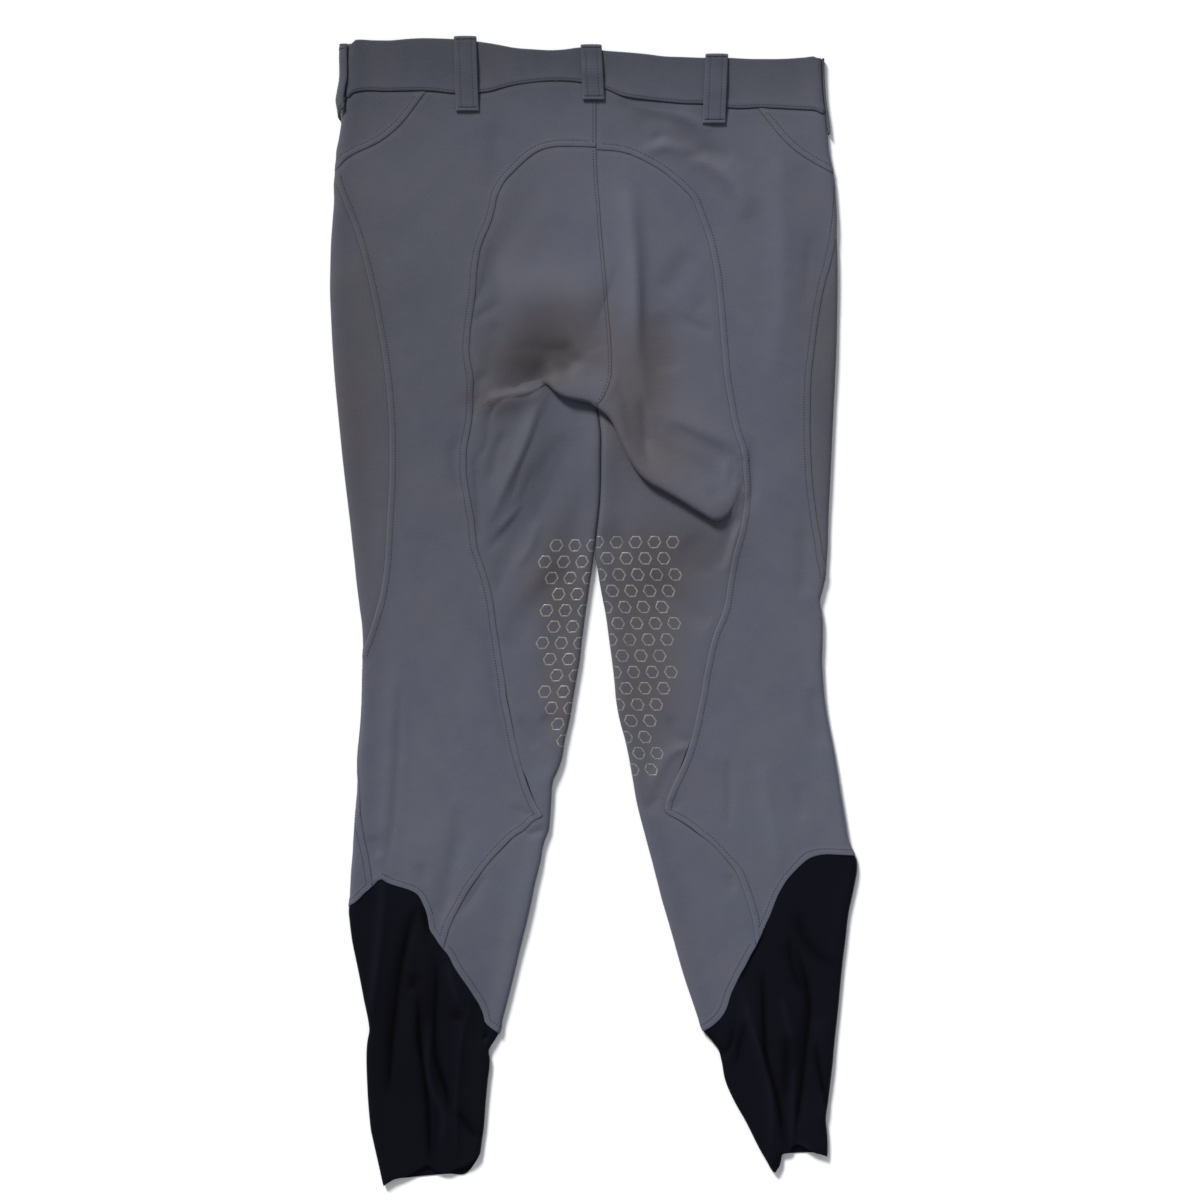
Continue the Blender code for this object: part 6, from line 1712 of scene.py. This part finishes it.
def rounded(distance):
    """Share of the wall left at a distance from a rounded edge."""
    t = 1.0 - np.clip(distance / ROUND_EDGE, 0.0, 1.0)
    return np.maximum(np.sqrt(1.0 - t**2), THINNEST)


def framed(piece, flat):
    """Middle and outward direction over a grid of flat cloth."""
    middle, normal = piece.frame(flat.reshape(-1, 2))
    return middle.reshape(flat.shape[:2] + (3,)), normal.reshape(flat.shape[:2] + (3,))


def tube_round(side, y):
    """Cloth right round a leg."""
    return 2 * (SIGN[side] * (outer_x(side, y) - inner_x(side, y)) - 2 * FOLD_REACH + 2 * QUARTER)


def leg_end(side, cloth):
    """The lycra tube below the calf hem."""
    top = calf_hem(side)
    bottom = hem_ring(side, END_BACK[side], END_FRONT[side])
    turn = top[:, 0]
    order = np.argsort(bottom[:, 0])
    end_y = np.interp(turn, bottom[order, 0], bottom[order, 1])
    ahead = np.roll(top, -1, axis=0) - top
    width = abs(outer_x(side, top[:, 1]) - inner_x(side, top[:, 1]))
    slope = np.abs(ahead[:, 1] / ((ahead[:, 0] + 0.5) % 1.0 - 0.5)) / (2 * width)
    slope = np.maximum(slope, np.roll(slope, 1))
    start_y = top[:, 1] - SEAM_GAP * HEM_CLEAR * np.sqrt(1.0 + slope**2)
    share = np.linspace(1.0, 0.0, LYCRA_ROWS)[:, None]
    y = start_y * (1 - share) + end_y * share
    flat = np.stack([turn * tube_round(side, y), y], -1)

    def place(across, at_y):
        return ring_point(side, across / tube_round(side, at_y), at_y, LYCRA, lycra_height)

    piece = Piece(place, -SIGN[side], LYCRA, [(flat[-1], "under")])
    middle, normal = framed(piece, flat)
    rim = rounded((y - end_y) * END_ROUND)
    over = LYCRA / 2 * rim + piece.relief(flat.reshape(-1, 2)).reshape(y.shape) * HEM_SINK
    made = lofted("cloth_sock_" + side, middle, normal, over, LYCRA / 2 * rim, cloth, closed=True)
    points = flat.reshape(-1, 2)
    finish_cloth(made, "sock_" + side, piece, points, middle.reshape(-1, 3), points)


def band_grid(side):
    """Flat cloth of one half of the waistband, and the distance from its seam and from its top."""
    seam = waist_line(side, BAND_SEAM, FRONT_SEAM_Y)
    top = waist_line(side, BAND_TOP, FRONT_TOP_Y)
    across = seam[:, 0]
    low = seam[:, 1] + SEAM_GAP
    high = np.interp(across, top[:, 0], top[:, 1])
    from_low = np.array(BAND_LOW)[:, None]
    from_top = np.array(BAND_HIGH)[:, None]
    share = np.linspace(0.0, 1.0, BAND_ROWS)[1:-1, None]
    middle = (low + BAND_LOW[-1]) * (1 - share) + (high - BAND_HIGH[0]) * share
    y = np.vstack([low + from_low, middle, high - from_top])
    return np.stack([np.broadcast_to(across, y.shape), y], -1), y - low, high - y


def waistband(cloth):
    """The waistband, one strip from centre front round the back to centre front."""
    halves = {}
    for side in SIDES:
        def place(across, y, side=side):
            return lay_outer(side, across, y, BAND, band_height)

        flat, above_seam, below_top = band_grid(side)
        piece = Piece(place, -SIGN[side], BAND, [(flat[0], "band")])
        middle, normal = framed(piece, flat)
        middle[:, -1, 0] = center_x(flat[:, -1, 1])
        middle[:, 0, 0] = center_x(flat[:, 0, 1]) + SIGN[side] * SEAM_GAP / 2
        rim = rounded(below_top)
        over = BAND / 2 * rim + piece.relief(flat.reshape(-1, 2)).reshape(rim.shape)
        far = flat[0, -1, 0]
        uv = flat.copy()
        uv[..., 0] = flat[..., 0] - far if side == "left" else far - flat[..., 0]
        halves[side] = (middle, normal, over, BAND / 2 * rim, uv, flat)
        sew("waistband_" + side, piece, [flat[BAND_STITCHED, 1:]], STITCH_SIZES)
    both = [np.concatenate([a, b[:, -2::-1]], axis=1) for a, b in zip(halves["left"], halves["right"])]
    middle, normal, over, under, uv, flat = both
    made = lofted("cloth_waistband", middle, normal, over, under, cloth)
    strip = Piece(None, 1, BAND, [(uv[0], "band")])
    uv_points = uv.reshape(-1, 2)
    finish_cloth(made, "waistband", strip, uv_points, middle.reshape(-1, 3), uv_points)


# Belt loops and zip

class Loop(Piece):
    """A folded strip with two rows of stitches; `width` gives its width along it."""

    def __init__(self, place, way, width, middle):
        super().__init__(place, way, LOOP, [], on_top=True)
        self.width, self.middle = width, middle

    def relief(self, flat):
        aside = (flat[:, 0] - self.middle) / self.width(flat[:, 1])
        groove = np.exp(-(((np.abs(aside) - LOOP_ROWS) * LOOP_WIDTH / ROW_WIDTH) ** 2))
        tack = np.exp(-(((flat[:, 1] - LOOP_LIP) / TACK_WIDTH) ** 2))
        return LOOP_FULL * (1.0 - (2 * aside) ** 2 - tack) - ROW_DEPTH * groove


def loop_grid(piece, length, low_edge, high_edge):
    """Points of a loop in flat cloth, finer at its edges, and the share of its wall there."""
    rows = np.concatenate([LOOP_EDGE, LOOP_NEXT[:1], spread(LOOP_NEXT[1], length, LOOP_ROW_STEP)])
    side = np.array(LOOP_EDGE)
    width = high_edge - low_edge
    inner = spread(side[-1], width - side[-1], LOOP_COLUMN_STEP)[1:-1]
    columns = np.concatenate([side, inner, (width - side)[::-1]]) / width
    scale = piece.width(rows)[:, None] / piece.width(np.array([0.0]))
    across = piece.middle + (low_edge + columns * width - piece.middle) * scale
    flat = np.stack([across, np.broadcast_to(rows[:, None], across.shape)], -1)
    near = np.minimum(columns, 1.0 - columns) * width
    rim = np.minimum(rounded(near)[None, :], rounded(rows)[:, None])
    return flat, rim


def loop_sewing(piece, length, low, high):
    """Two rows of stitches and a bar tack at each end, where they lie between low and high."""
    along = spread(LOOP_LIP + 1.2, length - 1.0, 2.0)
    rows, tacks = [], []
    for share in (-LOOP_ROWS, LOOP_ROWS):
        aside = piece.middle + share * piece.width(along)
        if low < aside.min() and aside.max() < high:
            rows.append(np.stack([aside, along], -1))
    for at in (LOOP_LIP, length - TACK_BELOW):
        half = TACK_SHARE * float(piece.width(np.array([at]))[0])
        across = spread(max(piece.middle - half, low), min(piece.middle + half, high), 1.0)
        tacks.append(np.stack([across, np.full(len(across), at)], -1))
    return rows, tacks


def add_loop(name, piece, flat, rim, length, cloth, low=-LOOP_WIDTH, high=LOOP_WIDTH):
    middle, normal = framed(piece, flat)
    points = flat.reshape(-1, 2)
    over = LOOP / 2 * rim + piece.relief(points).reshape(rim.shape) * rim
    made = lofted("cloth_" + name, middle, normal, over, LOOP / 2 * rim, cloth)
    finish_cloth(made, name, piece, points, middle.reshape(-1, 3), points)
    rows, tacks = loop_sewing(piece, length, low, high)
    if rows:
        sew(name, piece, rows, STITCH_SIZES)
    sew(name + "_tacks", piece, tacks, TACK_SIZES)


def back_loop(name, cloth):
    """A belt loop over the waistband of the back, its upper end over the band's edge."""
    x, low = LOOPS[name]
    top_x, top_width, low_x, low_width = LOOP_CUT[name]
    out = BAND / 2 + SEAM_GAP + LOOP / 2
    edge, seam = smooth(BAND_TOP, 2.0), smooth(BAND_SEAM, 2.0)
    band_top = np.interp(x, edge[:, 0], edge[:, 1])
    seam_y = np.interp(x, seam[:, 0], seam[:, 1])
    side = "left" if x < 0 else "right"
    under = band_height(side, np.array([x]), np.array([band_top]))[0] + out
    straight = [
        (low, under - 0.9), (low + 5.0, under - 0.8), (seam_y + 3.0, under + 0.3),
        ((low + band_top) / 2, under + 1.2), (band_top - 8.0, under + 0.4), (band_top, under),
    ]
    angles = np.radians([20.0, 40.0, 60.0, 80.0, 90.0])
    turn = [(band_top + out * math.sin(a), under - out * (1.0 - math.cos(a))) for a in angles]
    path = smooth(straight + turn + [(turn[-1][0], turn[-1][1] - BAND * 0.4)], 0.5)
    along = np.concatenate([[0.0], np.cumsum(np.hypot(*np.diff(path, axis=0).T))])
    length = float(along[-1])

    def place(across, s):
        at_x = np.interp(s, [0.0, length], [low_x, top_x]) + across
        return np.stack([at_x, np.interp(s, along, path[:, 0]), np.interp(s, along, path[:, 1])], -1)

    def width(s):
        return np.interp(s, [0.0, LOOP_LIP, length], [low_width, low_width - 0.4, top_width])

    piece = Loop(place, 1, width, 0.0)
    flat, rim = loop_grid(piece, length, -low_width / 2, low_width / 2)
    add_loop(name, piece, flat, rim, length, cloth)


def side_loop(name, cloth):
    """A belt loop that lies over a side fold."""
    side, start, end, low, low_end, high = SIDE_LOOPS[name]
    bulge = table_curve(SIDE_BULGE[side], 0, 1)
    length = high - low
    out = BAND / 2 + SEAM_GAP + LOOP / 2

    def place(across, s):
        def band(u, v):
            return lay_outer(side, u, v, BAND, band_height)

        lowest = np.interp(across, [start, end], [low, low_end])
        y = high - (high - lowest) * (1.0 - s / length)
        laid = band(across, y) + outward(band, across, y, -SIGN[side]) * out
        laid[:, 0] += SIGN[side] * bulge(y)
        laid[:, 2] = np.maximum(laid[:, 2], LOOP / 2)
        return laid

    piece = Loop(place, -SIGN[side], lambda s: LOOP_WIDTH + 0.0 * s, end - LOOP_WIDTH / 2)
    flat, rim = loop_grid(piece, length, start, end)
    add_loop(name, piece, flat, rim, length, cloth, start + 1.0, end - 1.0)


def fly_zip(cloth):
    """Zip tape with its coil behind the opening of the front."""
    top = FRONT_SEAM_Y - FLY_BELOW
    z = SOFTSHELL + SEAM_GAP + TAPE / 2

    def place(across, y):
        return np.stack([center_x(y) + across, y, z + 0.0 * y], -1)

    piece = Piece(place, 1, TAPE, [], on_top=True)
    across, y = np.meshgrid(spread(-FLY_WIDTH / 2, FLY_WIDTH / 2, 1.5), spread(top - FLY_LENGTH, top, 3.0))
    flat = np.stack([across, y], -1)
    middle, normal = framed(piece, flat)
    half = np.full(across.shape, TAPE / 2)
    made = lofted("cloth_fly_zip", middle, normal, half, half, cloth)
    points = flat.reshape(-1, 2)
    finish_cloth(made, "fly_zip", piece, points, middle.reshape(-1, 3), points)
    coil = np.array([(0.0, v) for v in spread(top - FLY_LENGTH + 3.0, top - 3.0, 3.0)])
    sew("zip_coil", piece, [coil], COIL_SIZES, zip_coil)


# Materials

def shader_of(name, roughness, sheen, sheen_rough, specular):
    made = bpy.data.materials.new(name)
    made.use_nodes = True
    shader = made.node_tree.nodes["Principled BSDF"]
    looks = {"Roughness": roughness, "Sheen Weight": sheen, "Sheen Roughness": sheen_rough}
    for title, value in (looks | {"Specular IOR Level": specular}).items():
        shader.inputs[title].default_value = value
    return made, made.node_tree, shader


def place_in(tree):
    """Places on the piece, in metres."""
    return add(tree, "ShaderNodeTexCoord")["Object"]


def noise(tree, coordinates, scale, detail):
    inputs = {"Scale": scale, "Detail": detail, "Vector": coordinates}
    return add(tree, "ShaderNodeTexNoise", inputs)["Fac"]


def sum_of(tree, *terms):
    """Adds values; a term is a socket and how much of it counts, or a number."""
    total = 0.0
    for term in terms:
        value, share = term if isinstance(term, tuple) else (term, 1.0)
        total = add(tree, "ShaderNodeMath", {0: value, 1: share, 2: total}, operation="MULTIPLY_ADD")[0]
    return total


def mean_one(terms):
    """What makes the sum of these terms about 1, as each noise is about a half."""
    return 1.0 - sum(share for _, share in terms) / 2


def value_of(tree, title):
    return add(tree, "ShaderNodeAttribute", attribute_name=title)["Fac"]


def woven(tree, across_pitch, along_pitch):
    """Fine ribs across and along the cloth, pitch in metres, 0 to 1."""
    cloth_map = add(tree, "ShaderNodeUVMap", uv_map="cloth")["UV"]
    ribs = []
    for direction, pitch in (("X", across_pitch), ("Y", along_pitch)):
        inputs = {"Vector": cloth_map, "Distortion": 1.2, "Detail": 1.0, "Detail Scale": 0.6}
        inputs["Scale"] = 2 * math.pi / (20.0 * pitch)
        ribs.append((add(tree, "ShaderNodeTexWave", inputs, bands_direction=direction)["Fac"], 0.5))
    return sum_of(tree, *ribs), cloth_map


def bumped(tree, shader, layers):
    """Bumps one over the other: a height, its depth in metres and its strength."""
    before = {}
    for height, depth, strength in layers:
        inputs = {"Height": height, "Distance": depth, "Strength": strength} | before
        before = {"Normal": add(tree, "ShaderNodeBump", inputs)["Normal"]}
    tree.links.new(before["Normal"], shader.inputs["Normal"])


def shaded(tree, colour, value):
    """A colour made lighter or darker by a value around 1."""
    if isinstance(colour, tuple):
        colour = (*colour, 1.0)
    return add(tree, "ShaderNodeHueSaturation", {"Color": colour, "Value": value})["Color"]


def softshell_cloth():
    """Dense stretch cloth, slate grey, brownish in places and along its joins, with painted shade and sheen
    from its tone attribute.
    """
    made, tree, shader = shader_of("slate softshell", 0.72, 0.10, 0.5, 0.25)
    weave, cloth_map = woven(tree, 0.0009, 0.0007)
    place = place_in(tree)
    blotch = noise(tree, place, 17.0, 3.0)
    mottle = noise(tree, place, 75.0, 3.0)
    fleck = noise(tree, cloth_map, 700.0, 2.0)
    brownish = sum_of(tree, -0.6, (value_of(tree, "warmth"), 0.9), (blotch, 0.9), (mottle, 0.5))
    mixed = {"A": (*SLATE, 1.0), "B": (*SLATE_WARM, 1.0), "Factor": brownish}
    colour = add(tree, "ShaderNodeMix", mixed, data_type="RGBA")["Result"]
    uneven = ((blotch, 0.14), (mottle, 0.16), (fleck, 0.36), (weave, 0.08))
    # the tone attribute darkens and lightens it with painted shade, light and sheen
    value = sum_of(tree, mean_one(uneven), (value_of(tree, "tone"), 1.0), *uneven)
    tree.links.new(shaded(tree, colour, value), shader.inputs["Base Color"])
    tree.links.new(sum_of(tree, 0.68, (fleck, 0.1)), shader.inputs["Roughness"])
    lumps = noise(tree, place, 160.0, 2.0)
    bumped(tree, shader, [(lumps, 0.0004, 0.25), (weave, 0.00012, 0.35), (fleck, 0.0001, 0.3)])
    return made


def lycra_cloth():
    """Thin black stretch cloth with fine ribs and a dull sheen."""
    made, tree, shader = shader_of("black lycra", 0.42, 0.0, 0.35, 0.05)
    shader.inputs["Sheen Tint"].default_value = (0.55, 0.6, 0.9, 1.0)
    weave, cloth_map = woven(tree, 0.0006, 0.0009)
    place = place_in(tree)
    blotch = noise(tree, place, 25.0, 2.0)
    fleck = noise(tree, cloth_map, 900.0, 2.0)
    uneven = ((blotch, 0.2), (fleck, 0.2))
    # the tone attribute darkens and lightens it with painted shade in the creases and painted highlights on
    # the ridges
    value = sum_of(tree, mean_one(uneven), (value_of(tree, "tone"), 1.0), *uneven)
    tree.links.new(shaded(tree, BLACK, value), shader.inputs["Base Color"])
    lumps = noise(tree, place, 130.0, 2.0)
    bumped(tree, shader, [(lumps, 0.0004, 0.3), (weave, 0.0001, 0.4)])
    return made


def plain_yarn(name, colour, roughness, change):
    """Thread, coil or tape: an even colour with a fine twist."""
    made, tree, shader = shader_of(name, roughness, 0.05, 0.4, 0.3)
    place = place_in(tree)
    twist = noise(tree, place, 2500.0, 1.0)
    value = sum_of(tree, 1.0 - change / 2, (twist, change))
    tree.links.new(shaded(tree, colour, value), shader.inputs["Base Color"])
    bumped(tree, shader, [(twist, 0.00008, 0.4)])
    return made


def silicone_print():
    """Clear-grey silicone, uneven in cover, with a gloss."""
    made, tree, shader = shader_of("grip silicone", 0.28, 0.0, 0.5, 0.6)
    place = place_in(tree)
    patch = noise(tree, place, 420.0, 2.0)
    value = sum_of(tree, 0.1, (patch, 1.7))
    tree.links.new(shaded(tree, GRIP_GREY, value), shader.inputs["Base Color"])
    tree.links.new(sum_of(tree, 0.16, (patch, 0.3)), shader.inputs["Roughness"])
    bumped(tree, shader, [(noise(tree, place, 900.0, 1.0), 0.0002, 0.5)])
    return made


def floor_surface():
    made, tree, shader = shader_of("pale surface", 0.9, 0.0, 0.5, 0.1)
    place = place_in(tree)
    grain = noise(tree, place, 30.0, 2.0)
    value = sum_of(tree, 0.99, (grain, 0.02))
    tree.links.new(shaded(tree, FLOOR_WHITE, value), shader.inputs["Base Color"])
    return made


# The garment

STITCHES, RINGS = stitch_tree(), motif_tree()
softshell = softshell_cloth()
lycra = lycra_cloth()
thread = plain_yarn("slate thread", THREAD_WITH_HOLE_SHADE, 0.6, 0.3)
tape = plain_yarn("zip tape", TAPE_GREY, 0.8, 0.4)
zip_coil = plain_yarn("zip coil", COIL_GREY, 0.4, 0.1)
silicone = silicone_print()

for leg in SIDES:
    outer_pieces(leg, softshell)
    inner_piece(leg, softshell)
    leg_end(leg, lycra)
waistband(softshell)
for loop_name in LOOPS:
    back_loop(loop_name, softshell)
for loop_name in SIDE_LOOPS:
    side_loop(loop_name, softshell)
fly_zip(tape)

# Surface and light

half = FLOOR_SIZE / 2
floor_mesh = bpy.data.meshes.new("floor")
corners = [(-half, -half), (half, -half), (half, half), (-half, half)]
floor_mesh.from_pydata([(x, y, -FLOOR_DROP) for x, y in corners], [], [(0, 1, 2, 3)])
floor_mesh.materials.append(floor_surface())
floor = bpy.data.objects.new("floor", floor_mesh)
bpy.context.scene.collection.objects.link(floor)

key_data = bpy.data.lights.new("key light", "SUN")
key_data.angle = math.radians(KEY_ANGLE)
key_data.energy = KEY_STRENGTH
key = bpy.data.objects.new("key light", key_data)
key.location = KEY_PLACE
key.rotation_euler = Vector(KEY_PLACE).to_track_quat("Z", "Y").to_euler()
bpy.context.scene.collection.objects.link(key)

world = bpy.data.worlds.new("studio")
world.use_nodes = True
world.node_tree.nodes["Background"].inputs["Color"].default_value = (*SKY, 1.0)
world.node_tree.nodes["Background"].inputs["Strength"].default_value = FILL
bpy.context.scene.world = world
bpy.context.scene.view_settings.view_transform = "Standard"
